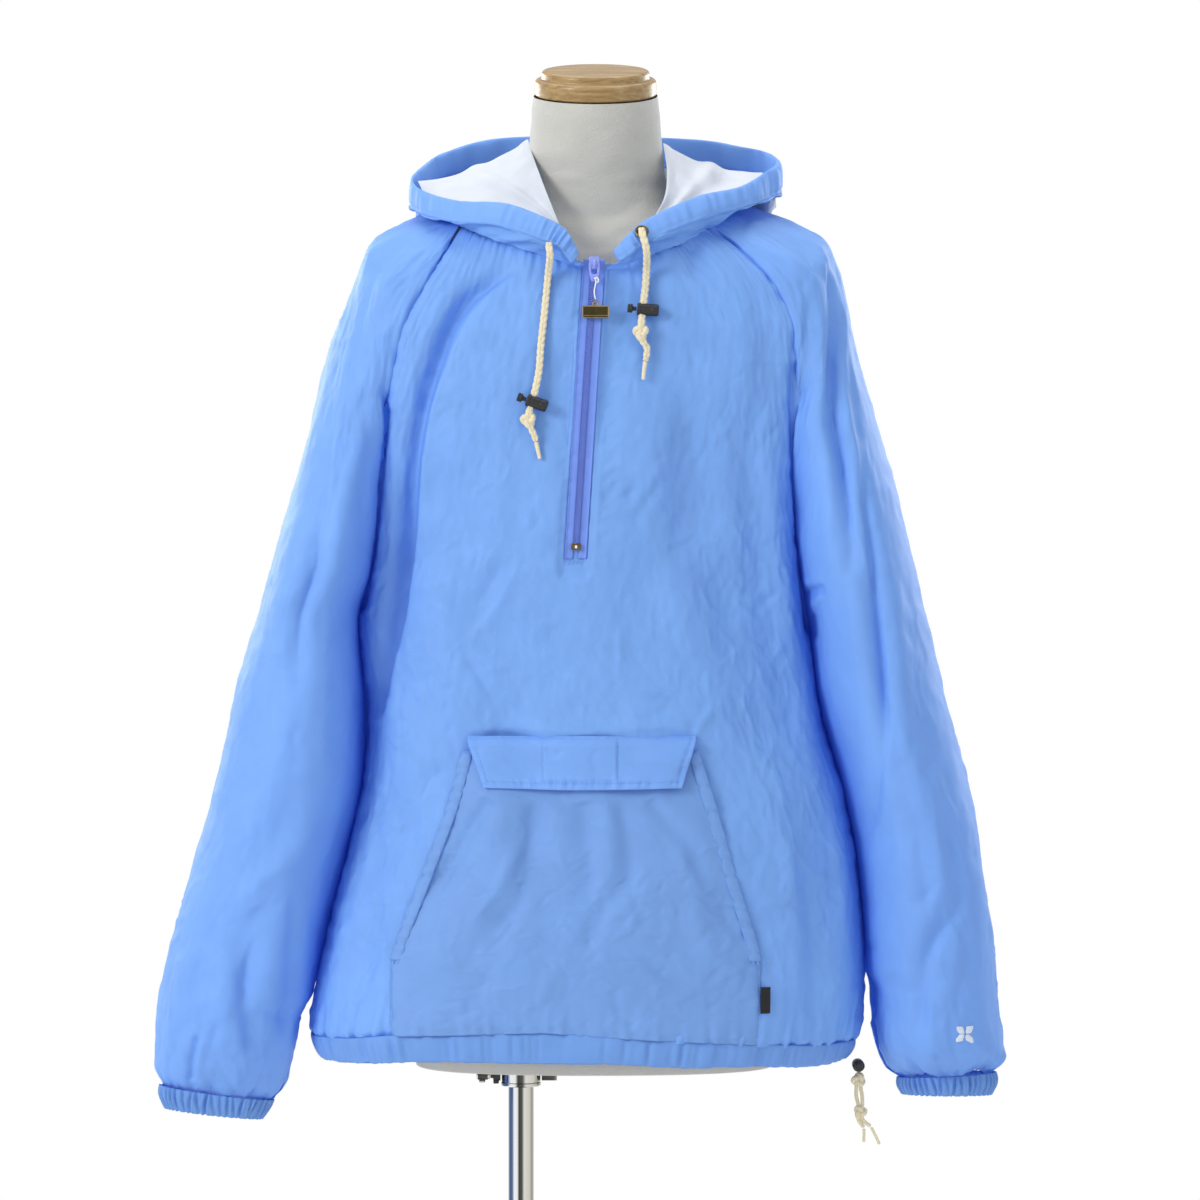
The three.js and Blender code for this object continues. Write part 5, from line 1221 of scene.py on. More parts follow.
def zip_relief(u, z):
    """The zip lies a little below the folded edges of the front on both sides of it."""
    d = np.abs(u - zip_u(z))
    inside = smooth((z - 1046) / 6)
    slot = -1.5 * smooth((9.6 - d) / 1.6) * inside
    lip = 0.7 * np.exp(-(((d - 11.2) / 1.8) ** 2)) * smooth((z - 1040) / 8)
    groove = -0.45 * np.exp(-(((d - 13.6) / 0.9) ** 2)) * smooth((z - 1044) / 4)
    end = 0.5 * np.exp(-(((z - 1047) / 2.5) ** 2)) * smooth((12 - d) / 3)
    return slot + lip + groove + end


def front_disp(P):
    X, Y = view_px(P)
    return strokes(X, Y, FRONT_LINES, 1.3)


def on_front(U, Z, off=0.0, extra=0.0, relief=False):
    """Points at a height above the folded front."""
    B, N = front_xz(U, Z), front_normal(U, Z)
    D = front_disp(B) + off + extra
    if relief:
        D = D + zip_relief(U, Z)
    return B + N * np.asarray(D)[..., None], N


def pocket_mask(U, Z, inset):
    l, r = pocket_l(Z), pocket_r(Z)
    return smooth((U - l - inset) / 8) * smooth((r - inset - U) / 8) * smooth((880 - inset - Z) / 8) * smooth((Z - 636) / 6)


# front
def build_front():
    m, n = 256, 272
    a = (np.linspace(0, 1, n) - 0.5) * np.pi
    s0 = np.sin(a) * 0.5 + a / (np.pi / 2) * 0.5
    v = np.linspace(0, 1, m)[:, None]
    s0 = np.broadcast_to(s0, (m, n))
    L0, R0 = at(FRONT, "z", 640.0, "L"), at(FRONT, "z", 640.0, "R")
    bottom = seam_z(mix(L0, R0, (s0 + 1) / 2)) - 2.6
    Z = mix(neckline(s0), bottom, v)
    w = at(FRONT, "z", Z, "R") - at(FRONT, "z", Z, "L")
    S = s0 * (1 - 0.5 / w)
    P = front_at(S, Z)
    N = -grid_normals(P)
    X, Y = view_px(P)
    U = P[..., 0] - CX
    step = (2.7, 1.9)
    under = pocket_mask(U, Z, 4)
    calm = 1 - under
    e = (1 - np.abs(S)) * w / 2
    D = front_disp(P) + zip_relief(U, Z) - 6.5 * pocket_mask(U, Z, 9)
    near_zip = smooth((np.abs(U - zip_u(Z)) - 9) / 8) + smooth((1040 - Z) / 10)
    quiet = calm * np.clip(near_zip, 0, 1)
    low = smooth((1150 - Z) / 350)
    D += quiet * (1.7 * noise2((m, n), step, (95, 55), 3) * smooth(e / 40) + (0.22 + 0.4 * low) * crease_net((m, n), step, (34, 15), 5, 0.3) - (0.2 + 0.3 * low) * crease_net((m, n), step, (22, 12), 9, -0.5) + 0.22 * noise2((m, n), step, (14, 9), 21))
    D += quiet * crinkles(X, Y, 31, 230, (390, 300, 800, 720), (18, 60), (0.25, 0.9), (1.8, 4.5), 0.3)
    D += quiet * crinkles(X, Y, 32, 130, (340, 540, 480, 1030), (16, 55), (0.5, 1.6), (1.8, 4.5), 0.5)
    D += quiet * crinkles(X, Y, 33, 120, (700, 520, 850, 1030), (16, 55), (0.4, 1.4), (1.8, 4.5), -0.4)
    D += quiet * crinkles(X, Y, 34, 40, (740, 540, 790, 620), (10, 24), (0.3, 0.8), (1.6, 3), 0.9)
    pk = noise2((m, n), step, (9, 60), 41)
    D += pk * 0.5 * np.exp(-e / 9) * smooth((Z - 1000) / 40) + pk * 0.5 * np.exp(-e / 12) * smooth((1000 - Z) / 40)
    D -= 1.1 * np.exp(-((e / 3.0) ** 2))
    gather = noise2((m, n), step, (80, 7), 43)
    top = neckline(S) - Z
    hem = Z - bottom - 3.0
    D += calm * (1.5 * gather * np.exp(-np.abs(hem) / 16) - 1.4 * np.exp(-((hem / 3) ** 2)) - 2.4 * smooth((0.8 - hem) / 2.0)) + 0.5 * gather * np.exp(-top / 10)
    P = P + N * D[..., None]
    uv = arc_uv(P)
    P2, N2 = flange(P, N, "lrt", 8.0, 3.5, 6.0)
    return make("front_panel", P2, grid_faces(m + 2, n + 4, flip=True), MAT["shell"], node="front", slot="shell", uv=arc_uv(P2))


def build_back():
    m, n = 170, 150
    a = (np.linspace(0, 1, n) - 0.5) * np.pi
    s0 = np.sin(a) * 0.5 + a / (np.pi / 2) * 0.5
    v = np.linspace(0, 1, m)[:, None]
    s0 = np.broadcast_to(s0, (m, n))
    Z = mix(1388 + 4 * np.abs(s0), 628.0, v)
    w = at(BACK, "z", Z, "R") - at(BACK, "z", Z, "L")
    S = s0 * (1 - 0.5 / w)
    P = back_at(S, Z)
    N = grid_normals(P)
    U = P[..., 0] - CX
    e = (1 - np.abs(S)) * w / 2
    step = (4.5, 3.4)
    X, Y = U, 1392 - Z
    D = strokes(X, Y, BACK_LINES)
    D += 1.6 * noise2((m, n), step, (110, 60), 53) * smooth(e / 40) + 0.6 * crease_net((m, n), step, (42, 18), 55, 0.3) - 0.5 * crease_net((m, n), step, (30, 16), 59, -0.5)
    D += crinkles(X, Y, 61, 260, (-230, 60, 230, 740), (20, 70), (0.3, 0.9), (3, 6), 0.0)
    pk = noise2((m, n), step, (10, 60), 63)
    D += 0.5 * pk * np.exp(-e / 10) - 1.1 * np.exp(-((e / 3.5) ** 2))
    gather = noise2((m, n), step, (80, 9), 65)
    hem = Z - 631
    D += 1.0 * gather * np.exp(-hem / 18) - 1.2 * np.exp(-((hem / 4) ** 2)) + 0.5 * gather * np.exp(-(1390 - Z) / 12)
    P = P + N * D[..., None]
    uv = arc_uv(P)
    P2, N2 = flange(P, N, "lr", 8.0, 3.5, 6.0)
    return make("back_panel", P2, grid_faces(m, n + 4), MAT["shell"], node="back", slot="shell", uv=arc_uv(P2))


def even_k(side, m):
    kk = np.linspace(0, K_END, 600)
    a = sleeve_at(side, kk, 0 * kk + 0.5)
    b = sleeve_at(side, kk, 0 * kk + 0.12)
    c = sleeve_at(side, kk, 0 * kk + 0.88)
    s = sum(np.concatenate([[0], np.cumsum(np.linalg.norm(np.diff(q, axis=0), axis=1))]) for q in (a, b, c)) / 3
    return np.interp(np.linspace(0, s[-1], m), s, kk), s[-1]


def build_sleeve(side, lines, seed, name, node_name, centres):
    m, n = 254, 158
    K, length = even_k(side, m)
    T = np.linspace(0, 1, n)[None, :]
    K = K[:, None]
    P = sleeve_at(side, K + 0 * T, T + 0 * K)
    N = grid_normals(P) * (1 if side < 0 else -1)
    X, Y = view_px(P)
    fwd, aft = smooth((-N[..., 1] + 0.05) / 0.3), smooth((N[..., 1] + 0.05) / 0.3)
    D = fwd * strokes(X, Y, lines, 1.3)
    sh = 8 * side
    D += aft * strokes(X + sh, Y + 25, lines, 0.75)
    step = (length / m, 2.3)
    down = np.linspace(0, 1, m)[:, None]
    seam = np.minimum(T, 1 - T) * 420
    D += 1.5 * noise2((m, n), step, (100, 34), seed) * smooth(down / 0.1) + (0.35 + 0.8 * down) * crease_net((m, n), step, (48, 16), seed + 2, 0.25 * side) - (0.3 + 0.4 * down) * crease_net((m, n), step, (34, 14), seed + 4, -0.3 * side)
    D += 0.25 * noise2((m, n), step, (16, 9), seed + 6)
    box = (X.min(), Y.min(), X.max(), Y.max())
    D += fwd * crinkles(X, Y, seed + 8, 240, box, (22, 75), (0.3, 1.2), (1.8, 4.5), 0.25 * side)
    D += aft * crinkles(X, Y, seed + 9, 160, box, (22, 75), (0.25, 0.85), (2.4, 5), 0.25 * side)
    # raglan seams and the underarm seam
    pk = noise2((m, n), step, (9, 60), seed + 11)
    D += 0.45 * pk * np.exp(-seam / 10) - 1.0 * np.exp(-((seam / 3.5) ** 2))
    # gathers into the cuff
    w = (1 - down) * length
    rng = np.random.default_rng(seed + 13)
    th = T + 0.02 * noise2((m, n), step, (60, 400), seed + 14) * np.exp(-w / 60)
    for c in centres:
        depth, wide, reach, lean = rng.uniform(2.0, 4.2), rng.uniform(0.010, 0.020), rng.uniform(18, 60), rng.uniform(-0.0009, 0.0009)
        q = (th - c - lean * w) / wide
        D -= depth * (np.exp(-(np.sqrt(q * q + 0.03) - 0.17) * 1.3)) * np.exp(-w / reach) * smooth(w / 1.5 + 0.4)
    D += 2.0 * np.exp(-(((w - 17) / 12) ** 2)) * (0.7 + 0.3 * noise2((m, n), step, (40, 12), seed + 15))
    D -= 2.2 * np.exp(-((w / 4) ** 2))
    # the inner side rests against the body
    rest = smooth((-side * N[..., 0] - 0.15) / 0.5) * smooth((1222 - P[..., 2]) / 30) * smooth((P[..., 2] - (645 if side < 0 else 668)) / 22)
    D = D * (1 - 0.6 * rest) + 6.5 * rest
    P = P + N * D[..., None]
    tail = P[-1] + unit(P[-1] - P[-3]) * 7.0 - N[-1] * 1.2
    P1, N1 = np.concatenate([P, tail[None]]), np.concatenate([N, N[-1:]])
    P2, N2 = flange(P1, N1, "lrt", 5.0, 3.0, -2.0)
    ob = make(name, P2, grid_faces(m + 3, n + 4, flip=side > 0), MAT["shell"], node=node_name, slot="shell", uv=arc_uv(P2))
    return ob, P, N


CUFFS = {-1: rows("i iz o oz B", [[287.6, 568.8, 391, 582.4, 24], [293, 560, 390, 572.5, 24], [297.5, 551.5, 386.5, 561.5, 21.5]]),
         1: rows("i iz o oz B", [[269.5, 589.3, 359, 593.8, 24], [270.5, 581.5, 359, 584, 24], [273.5, 574, 355.5, 573.5, 21.5]])}


def build_cuff(side, name, node_name, seed):
    n, mv = 420, 22
    C = CUFFS[side]
    idx = np.arange(3.0)
    C["k"] = idx
    a = 2 * np.pi * np.arange(n) / n
    rng = np.random.default_rng(seed)
    count = 44
    centres = (np.arange(count) + rng.uniform(-0.26, 0.26, count)) / count * 2 * np.pi
    tilt = rng.uniform(-0.1, 0.1, count) + (0.05 * side)
    deep = rng.uniform(1.5, 3.0, count)
    wide = rng.uniform(0.016, 0.03, count)

    def ringrow(v, inset, ribs):
        r = {c: at(C, "k", np.float64(v * 2), c) for c in ("i", "iz", "o", "oz", "B")}
        c = (1 - np.cos(a)) / 2
        half, mid = abs(r["o"] - r["i"]) / 2, (r["i"] + r["o"]) / 2
        h = np.zeros(n)
        for c0, t0, d0, w0 in zip(centres, tilt, deep, wide):
            q = (a - c0 - t0 * (v - 0.5) + np.pi) % (2 * np.pi) - np.pi
            h -= d0 * np.exp(-np.abs(q / w0) ** 1.3)
            h += 0.35 * d0 * np.exp(-((np.abs(q) - 0.055) / 0.03) ** 2)
        h *= ribs
        ins = inset - h
        k = 1 - ins / half
        u = mid + (mix(r["i"], r["o"], c) - mid) * k
        z = mix(r["iz"], r["oz"], c)
        return vec(CX + side * u, -20 - (r["B"] - ins) * np.sin(a), z), h
    out = []
    for v in np.linspace(0, 1, mv):
        bulge = 0.9 * math.sin(math.pi * v) ** 0.6 - 0.5
        P, h = ringrow(v, -bulge, 0.55 + 0.45 * math.sin(math.pi * min(v * 1.15, 1)))
        if v < 0.01 or v > 0.99:
            P = P + np.array([0, 0, 0.45 if v < 0.5 else -0.45]) * h[:, None]
        out.append(P)
    for v in np.linspace(0.97, 0.03, 8):
        P, h = ringrow(v, 2.6, 0.4)
        out.append(P)
    P = np.array(out)
    m = len(P)
    i, j = np.arange(m)[:, None], np.arange(n)[None, :]
    f = np.stack([i * n + j, i * n + (j + 1) % n, (i + 1) % m * n + (j + 1) % n, (i + 1) % m * n + j], -1).reshape(-1, 4)
    if side > 0:
        f = f[:, ::-1]
    uv = np.stack(np.broadcast_arrays(a[None, :] * 0.036, np.arange(m)[:, None] * 0.001), -1)
    return make(name, P, f, MAT["trim"], node=node_name, slot="shell", uv=uv)


def build_hem():
    nf = 330
    s = np.sin((np.linspace(0, 1, nf) - 0.5) * np.pi) * 0.45 + np.linspace(-1, 1, nf) * 0.55
    sb = s[::-1][1:-1]
    rngs = np.random.default_rng(77)

    def line(zf, zb):
        uf = mix(at(FRONT, "z", 625.0, "L"), at(FRONT, "z", 625.0, "R"), (s + 1) / 2)
        ub = mix(at(BACK, "z", 625.0, "L"), at(BACK, "z", 625.0, "R"), (sb + 1) / 2)
        e = smooth((1 - np.abs(sb)) / 0.12)
        zb2 = mix(zf(ub), zb, e)
        return np.concatenate([front_at(s, zf(uf)), back_at(sb, zb2)])
    top, bot = line(seam_z, 631.0), line(edge_z, 610.0)
    n = len(top)
    mid = np.array([CX - 10, -5.0, 0])
    out = top - mid
    out[:, 2] = 0
    tang = unit(np.roll(top, -1, 0) - np.roll(top, 1, 0))
    nrm = unit(np.cross(tang, np.array([0, 0, 1.0])))
    nrm *= np.sign((nrm * out).sum(1))[:, None]
    arc = np.concatenate([[0], np.cumsum(np.linalg.norm(np.diff(top, axis=0), axis=1))])
    total = arc[-1]
    X, _ = view_px(top)
    front_half = np.arange(n) < nf
    puff = np.zeros(n)
    for _ in range(150):
        c, d, w = rngs.uniform(0, total), rngs.uniform(0.4, 2.0), rngs.uniform(1.6, 5.0)
        puff -= d * np.exp(-(((arc - c) / w) ** 2))
    for x, d, w in ((326, 2.0, 3), (389, 3.0, 3), (457, 1.6, 3), (531, 1.4, 3), (538, 1.2, 2.5), (605, 1.6, 3), (700, 1.6, 3.5), (762, 3.0, 3.5), (775, 1.4, 3), (790, 1.6, 3), (830, 1.8, 3)):
        puff -= front_half * d * np.exp(-(((X - x) / w) ** 2))
    wav = np.interp(arc, np.linspace(0, total, 60), rngs.uniform(-0.8, 0.8, 60))
    rowsP = []
    vs = np.linspace(0, 1, 18)
    for v in vs:
        base = top + (bot - top) * v
        body = 2.6 * math.sin(math.pi * min(v * 1.02, 1)) ** 0.7 - 0.9
        body = body + (puff + wav) * (0.35 + 0.65 * math.sin(math.pi * v))
        P = base + nrm * np.asarray(body)[:, None]
        if v > 0.99:
            P = P + np.array([0, 0, 1.0]) * (-puff * 0.35)[:, None]
        rowsP.append(P)
    for v, k in ((1.0, -2.4), (0.9, -3.2), (0.5, -3.4), (0.05, -2.8)):
        rowsP.append(top + (bot - top) * v + nrm * k + np.array([0, 0, 0.6 if v == 1.0 else 0]))
    P = np.array(rowsP)
    m = len(P)
    i, j = np.arange(m)[:, None], np.arange(n)[None, :]
    f = np.stack([i * n + j, i * n + (j + 1) % n, (i + 1) % m * n + (j + 1) % n, (i + 1) % m * n + j], -1).reshape(-1, 4)
    uv = np.stack(np.broadcast_arrays(arc[None, :] / 1000, np.arange(m)[:, None] * 0.0015), -1)
    ob = make("hem_tube", P, f[:, ::-1], MAT["hem"], node="hem_casing", slot="shell", uv=uv)
    return ob, top, nrm, total


front_ob = build_front()
back_ob = build_back()
left_ob, LEFT_P, LEFT_N = build_sleeve(-1, LEFT_LINES, 101, "sleeve_left_cloth", "sleeve_left", [0.03, 0.09, 0.15, 0.2, 0.27, 0.33, 0.4, 0.46, 0.53, 0.6, 0.68, 0.75, 0.83, 0.9, 0.96])
right_ob, RIGHT_P, RIGHT_N = build_sleeve(1, RIGHT_LINES, 201, "sleeve_right_cloth", "sleeve_right", [0.02, 0.08, 0.14, 0.21, 0.26, 0.33, 0.39, 0.45, 0.54, 0.61, 0.69, 0.76, 0.84, 0.91, 0.97])
cuff_l = build_cuff(-1, "cuff_left_cloth", "cuff_left", 7)
cuff_r = build_cuff(1, "cuff_right_cloth", "cuff_right", 8)
hem_ob, HEM_TOP, HEM_NRM, HEM_LEN = build_hem()


# ---- hood ----
def build_hood():
    m, n = 230, 100
    T, W = np.linspace(0, 1, m)[:, None], np.linspace(0, 1, n)[None, :]
    P = hood_at(T + 0 * W, W + 0 * T)
    N = grid_normals(P)
    step = (5.0, 1.3)
    D = 1.4 * noise2((m, n), step, (38, 60), 301) * smooth(W / 0.15) * smooth((1 - W) / 0.1) + 0.7 * crease_net((m, n), step, (14, 50), 303, 0.4) * smooth(W / 0.1) * smooth((1 - W) / 0.12) - 0.4 * crease_net((m, n), step, (12, 30), 305, -0.4)
    pk = noise2((m, n), step, (9, 60), 307)
    D = D + 0.5 * pk * (np.exp(-W / 0.08) + np.exp(-(1 - W) / 0.1)) - 1.0 * np.exp(-((W / 0.03) ** 2))
    P2 = P + N * D[..., None]
    uv = arc_uv(P2)
    ob = make("hood_cloth", P2, grid_faces(m, n), MAT["shell"], node="hood_shell", slot="shell", uv=uv)
    # lining
    a, b = int(m * 0.07), int(m * 0.93)
    ml = b - a
    L = P + N * (np.minimum(D, 0.3) - 2.1)[..., None]
    behind = smooth((T - 0.3) / 0.08) * smooth((0.7 - T) / 0.08)
    wob = 1.2 * noise2((m, n), step, (26, 40), 311) * smooth(W / 0.1) * smooth((1 - W) / 0.15)
    L = L - N * (np.maximum(wob + 0.6, 0) * behind)[..., None]
    W2 = W + 0 * T
    near = neck_at(T + 0 * W)
    inw = np.array([CX, 8.0, 0]) - near
    inw[..., 2] = 0
    skirt = near + unit(inw) * 9.5 + np.array([0, 0, 1.0]) * (-20 + 150 * W2)[..., None]
    back_side = smooth((near[..., 1] + 20) / 40)
    L = L + (skirt - L) * (back_side * smooth((0.34 - W2) / 0.16))[..., None]
    lx, ly = view_px(L)
    for cx, cy, r in ((449, 219, 15), (470, 222, 9), (492, 226, 11), (722, 213, 11), (665, 242, 10)):
        g = np.exp(-(((lx - cx) / (1.6 * r)) ** 2 + ((ly - cy) / r) ** 2)) * smooth((-12 - L[..., 1]) / 24)
        L = L + (unit(inw) * 7 + np.array([0, 0, 7.0])) * g[..., None]
    foot = L[..., 2].min()
    L = L + np.array([0, -1.5, 4.0]) * smooth((foot + 16 - L[..., 2]) / 16)[..., None]
    L = L[a:b]
    lin = make("hood_lining_cloth", L, grid_faces(ml, n, flip=True), MAT["lining"], node="hood_lining", slot="lining", uv=arc_uv(L))
    return ob, lin, P2, N


hood_ob, lining_ob, HOOD_P, HOOD_N = build_hood()


def world(px, py, y):
    k = 0.9 * (4000 + y) / 4000
    return np.array([71 + (px - 600) * k, y, 1016 - (py - 600) * k])


def lining_fold(name, inner, outer, seed):
    """The lining where it stands up beside the neck."""
    A, B = spline([world(*q) for q in inner], 46), spline([world(*q) for q in outer], 46)
    t = np.linspace(0, 1, 40)[None, :, None]
    P = A[:, None] * (1 - t) + B[:, None] * t
    N = grid_normals(P)
    N *= np.sign(-N[20, 20, 1])
    u = np.linspace(0, 1, 46)[:, None]
    D = 9 * np.sin(np.pi * t[..., 0]) * smooth(u / 0.3) - 5 * np.exp(-(((t[..., 0] - 0.35 - 0.15 * u) / 0.10) ** 2)) * smooth(u / 0.4) + 0.7 * noise2((46, 40), (2.6, 2.6), (18, 26), seed)
    P = P - N * (D * smooth(t[..., 0] / 0.12))[..., None]
    return make(name, P, grid_faces(46, 40), MAT["lining"], slot="lining", uv=arc_uv(P))


FOLDS = [lining_fold("lining_fold_left", [(560, 226, -86), (548, 196, -68), (538, 170, -46), (531, 150, -20), (528, 139, 8)],
                     [(558, 229, -88), (520, 211, -84), (470, 202, -68), (430, 199, -42), (418, 182, -8)], 331),
         lining_fold("lining_fold_right", [(650, 224, -84), (664, 198, -66), (667, 174, -44), (665, 155, -18), (663, 143, 8)],
                     [(652, 227, -86), (694, 208, -80), (728, 197, -66), (756, 188, -40), (763, 172, -8)], 333)]


def build_rim():
    m, n = 420, 36
    T = np.linspace(0, 1, m)
    d, nr, mid, hw = casing_at(T)
    mid, hw = mid + d * 1.5, hw + 2.2
    a = (2 * np.pi * np.arange(n) / n)[None, :]
    c, s = np.cos(a), np.sin(a)
    th = 2.4
    sgn = np.sign
    c2, s2 = sgn(c) * np.abs(c) ** 0.8, sgn(s) * np.abs(s) ** 0.75
    arc = np.concatenate([[0], np.cumsum(np.linalg.norm(np.diff(rim_at(T), axis=0), axis=1))])[:, None]
    g = noise2((m, n), (arc[-1, 0] / m, 1.2), (7, 30), 401, wrap=False)
    g2 = noise2((m, n), (arc[-1, 0] / m, 1.2), (24, 60), 403)
    blend = np.minimum(np.arange(n), n - 1 - np.arange(n))[None, :] / (n / 2)
    g = g * smooth(blend * 3 + 0.2)
    thick = th + 0.9 + 0.5 * g + 0.5 * g2
    P = mid[:, None] + d[:, None] * ((hw[:, None] + 0.6) * c2)[..., None] + nr[:, None] * (thick * s2)[..., None]
    # a stitched groove beside the seam with the hood
    off = (c2 * (hw[:, None] + 0.6))
    groove = -0.8 * np.exp(-(((off - (hw[:, None] - 3.0)) / 0.9) ** 2))
    P = P + nr[:, None] * (groove * sgn(s))[..., None]
    ends = np.minimum(T, 1 - T)
    k = np.sqrt(np.clip(1 - (1 - np.minimum(ends / 0.006, 1)) ** 2, 0.0, 1))[:, None, None]
    ctr = P.mean(1, keepdims=True)
    P = ctr + (P - ctr) * np.maximum(k, 0.25)
    uv = np.stack(np.broadcast_arrays(arc / 1000, a * 0.006), -1)
    f = tube_faces(m, n)
    return make("hood_rim_tube", P, f, MAT["shell"], node="hood_rim_casing", slot="shell", uv=uv), arc[-1, 0]


rim_ob, RIM_LEN = build_rim()


# ---- pieces laid on the front ----
def shell_piece(name, U, Z, near, far, extra, mat, node_name, slot, relief=False, round_edge=0.35):
    m, n = U.shape
    O, N = on_front(U, Z, far, extra, relief)
    I, _ = on_front(U, Z, near, extra, relief)
    edge = np.zeros((m, n))
    edge[0], edge[-1], edge[:, 0], edge[:, -1] = 1, 1, 1, 1
    O = O - N * (edge * round_edge)[..., None]
    V = np.concatenate([O.reshape(-1, 3), I.reshape(-1, 3)])
    f1 = grid_faces(m, n)
    f2 = grid_faces(m, n, flip=True, start=m * n)
    idx = np.arange(m * n).reshape(m, n)
    loop = np.concatenate([idx[0, :-1], idx[:-1, -1], idx[-1, :0:-1], idx[:0:-1, 0]])
    nxt = np.roll(loop, -1)
    side = np.stack([loop, loop + m * n, nxt + m * n, nxt], 1)
    P = front_xz(U, Z)
    sense = np.cross(P[0, 1] - P[0, 0], P[1, 0] - P[0, 0])[1]
    faces = [f1, f2, side]
    if sense > 0:
        faces = [f[:, ::-1] for f in faces]
    uv = arc_uv(O).reshape(-1, 2)
    return make(name, V, faces, mat, node=node_name, slot=slot, uv=np.concatenate([uv, uv])), O, N


def grid_uz(m, n, fn):
    v, s = np.linspace(0, 1, m)[:, None], np.linspace(0, 1, n)[None, :]
    U, Z = fn(v + 0 * s, s + 0 * v)
    return U, Z, v + 0 * s, s + 0 * v


def pocket_fn(v, s):
    z0 = mix(884.0, 636.0, v)
    U = mix(pocket_l(z0), pocket_r(z0), s)
    Z = mix(884.0, seam_z(U) - 1.0, v)
    return mix(pocket_l(Z), pocket_r(Z), s), Z


U, Z, v, s = grid_uz(170, 126, pocket_fn)
B = front_xz(U, Z)
X, Y = view_px(B)
step = (1.48, 2.5)
open_side = smooth((Z - 700) / 14)
dl, dr = U - pocket_l(Z), pocket_r(Z) - U
dside = np.minimum(dl, dr)
sewn = (1 - open_side) * np.exp(-((dside / 4) ** 2))
ext = strokes(X, Y, POCKET_LINES, 1.35) * smooth(dside / 10 + 0.15)
ext = ext + 1.1 * noise2(U.shape, step, (60, 45), 501) * smooth(dside / 20) + 0.7 * crease_net(U.shape, step, (26, 15), 503, 0.7) * smooth((880 - Z) / 90) * smooth(dside / 14) - 0.6 * crease_net(U.shape, step, (22, 13), 505, -0.7) * smooth((860 - Z) / 90) * smooth(dside / 14)
ext = ext + crinkles(X, Y, 507, 150, (400, 850, 750, 1030), (12, 44), (0.3, 1.2), (1.6, 3.8), 0.6) * smooth(dside / 10) + crinkles(X, Y, 509, 60, (440, 790, 740, 900), (16, 50), (0.15, 0.5), (1.8, 4), 0.2)
pk = noise2(U.shape, step, (7, 60), 511)
ext = ext + 0.35 * pk * np.exp(-dside / 7) - 1.6 * sewn
hem = Z - seam_z(U)
gather = noise2(U.shape, step, (80, 7), 513)
ext = ext + 0.9 * gather * np.exp(-hem / 14) - 1.5 * np.exp(-((hem / 4) ** 2))
ext = ext + 3.2 * smooth((Z - 640) / 60) * smooth((880 - Z) / 60) * smooth(dside / 60)
pocket_ob, POCKET_P, POCKET_N = shell_piece("pocket_cloth", U, Z, 1.4, 2.4, ext, MAT["pocket"], "pocket_panel", "shell")

BANDS = []
for tag, edge_fn, sg in (("left", pocket_l, 1), ("right", pocket_r, -1)):
    def band_fn(v, s, edge_fn=edge_fn, sg=sg):
        z = mix(882.0, 700.0, v)
        e = edge_fn(z)
        return e + sg * mix(0.2, 10.8, s), z
    U, Z, v, s = grid_uz(150, 12, band_fn)
    pk = noise2(U.shape, (1.25, 0.9), (5.5, 60), 521 + sg)
    q = mix(0.2, 10.8, s)
    ext = 0.4 * pk * (1 - 0.5 * np.sin(np.pi * s)) - 0.4 * np.exp(-(((q - 1.6) / 0.7) ** 2)) - 0.4 * np.exp(-(((q - 9.6) / 0.7) ** 2)) + 0.5 * np.sin(np.pi * np.clip(s, 0, 1))
    ob, O, N = shell_piece("pocket_band_%s_cloth" % tag, U, Z, 2.0, 3.2, ext, MAT["pocket"], "pocket_band_" + tag, "shell")
    BANDS.append((ob, edge_fn, sg))


def flap_fn(v, s):
    z = mix(897.0, 851.0, v) - 1.5 * np.sin(np.pi * s) * v
    return mix(mix(-112.0, -96.0, v), mix(88.5, 74.5, v), s), z


U, Z, v, s = grid_uz(54, 164, flap_fn)
width = mix(200.5, 170.5, v)
dl, dr, dt, db = s * width, (1 - s) * width, v * 46, (1 - v) * 46
ln = lambda d, at_, w=0.7: np.exp(-(((d - at_) / w) ** 2))
pk = noise2(U.shape, (0.87, 1.22), (60, 5.5), 531)
pk2 = noise2(U.shape, (0.87, 1.22), (5.5, 60), 533)
inner = smooth((np.minimum(dl, dr) - 6) / 3) * smooth((db - 6) / 3)
box_l, box_r, box_b = -44.5, 19.5, 857.0
inbox = smooth((U - box_l) / 2) * smooth((box_r - U) / 2) * smooth((Z - box_b) / 2)
boxline = (np.exp(-(((U - box_l) / 0.8) ** 2)) + np.exp(-(((U - box_r) / 0.8) ** 2))) * smooth((Z - box_b + 1) / 2) + np.exp(-(((Z - box_b) / 0.8) ** 2)) * smooth((U - box_l + 1) / 2) * smooth((box_r + 1 - U) / 2)
ext = -0.5 * (ln(dl, 5.2) + ln(dr, 5.2)) * (db > 4) - 0.5 * ln(db, 5.6) * (dl > 4) * (dr > 4) - 0.5 * ln(dt, 1.8) - 0.45 * boxline
ext = ext + 0.45 * pk * (np.exp(-np.abs(db - 4) / 4) + 0.7 * np.exp(-dt / 3) + 0.6 * np.exp(-np.abs(Z - box_b) / 3) * (U > box_l) * (U < box_r)) + 0.45 * pk2 * (np.exp(-np.abs(dl - 4) / 4) + np.exp(-np.abs(dr - 4) / 4))
ext = ext + inner * (0.9 * noise2(U.shape, (0.87, 1.22), (22, 40), 535) * (1 - 0.4 * inbox) + 0.5 * inbox) + 1.6 * smooth(1 - db / 16) + 0.5 * noise2(U.shape, (0.87, 1.22), (40, 50), 537) * smooth(v / 0.5)
ext = ext - 3.6 * np.exp(-((dt / 2.2) ** 2)) + 0.3
X, Y = view_px(front_xz(U, Z))
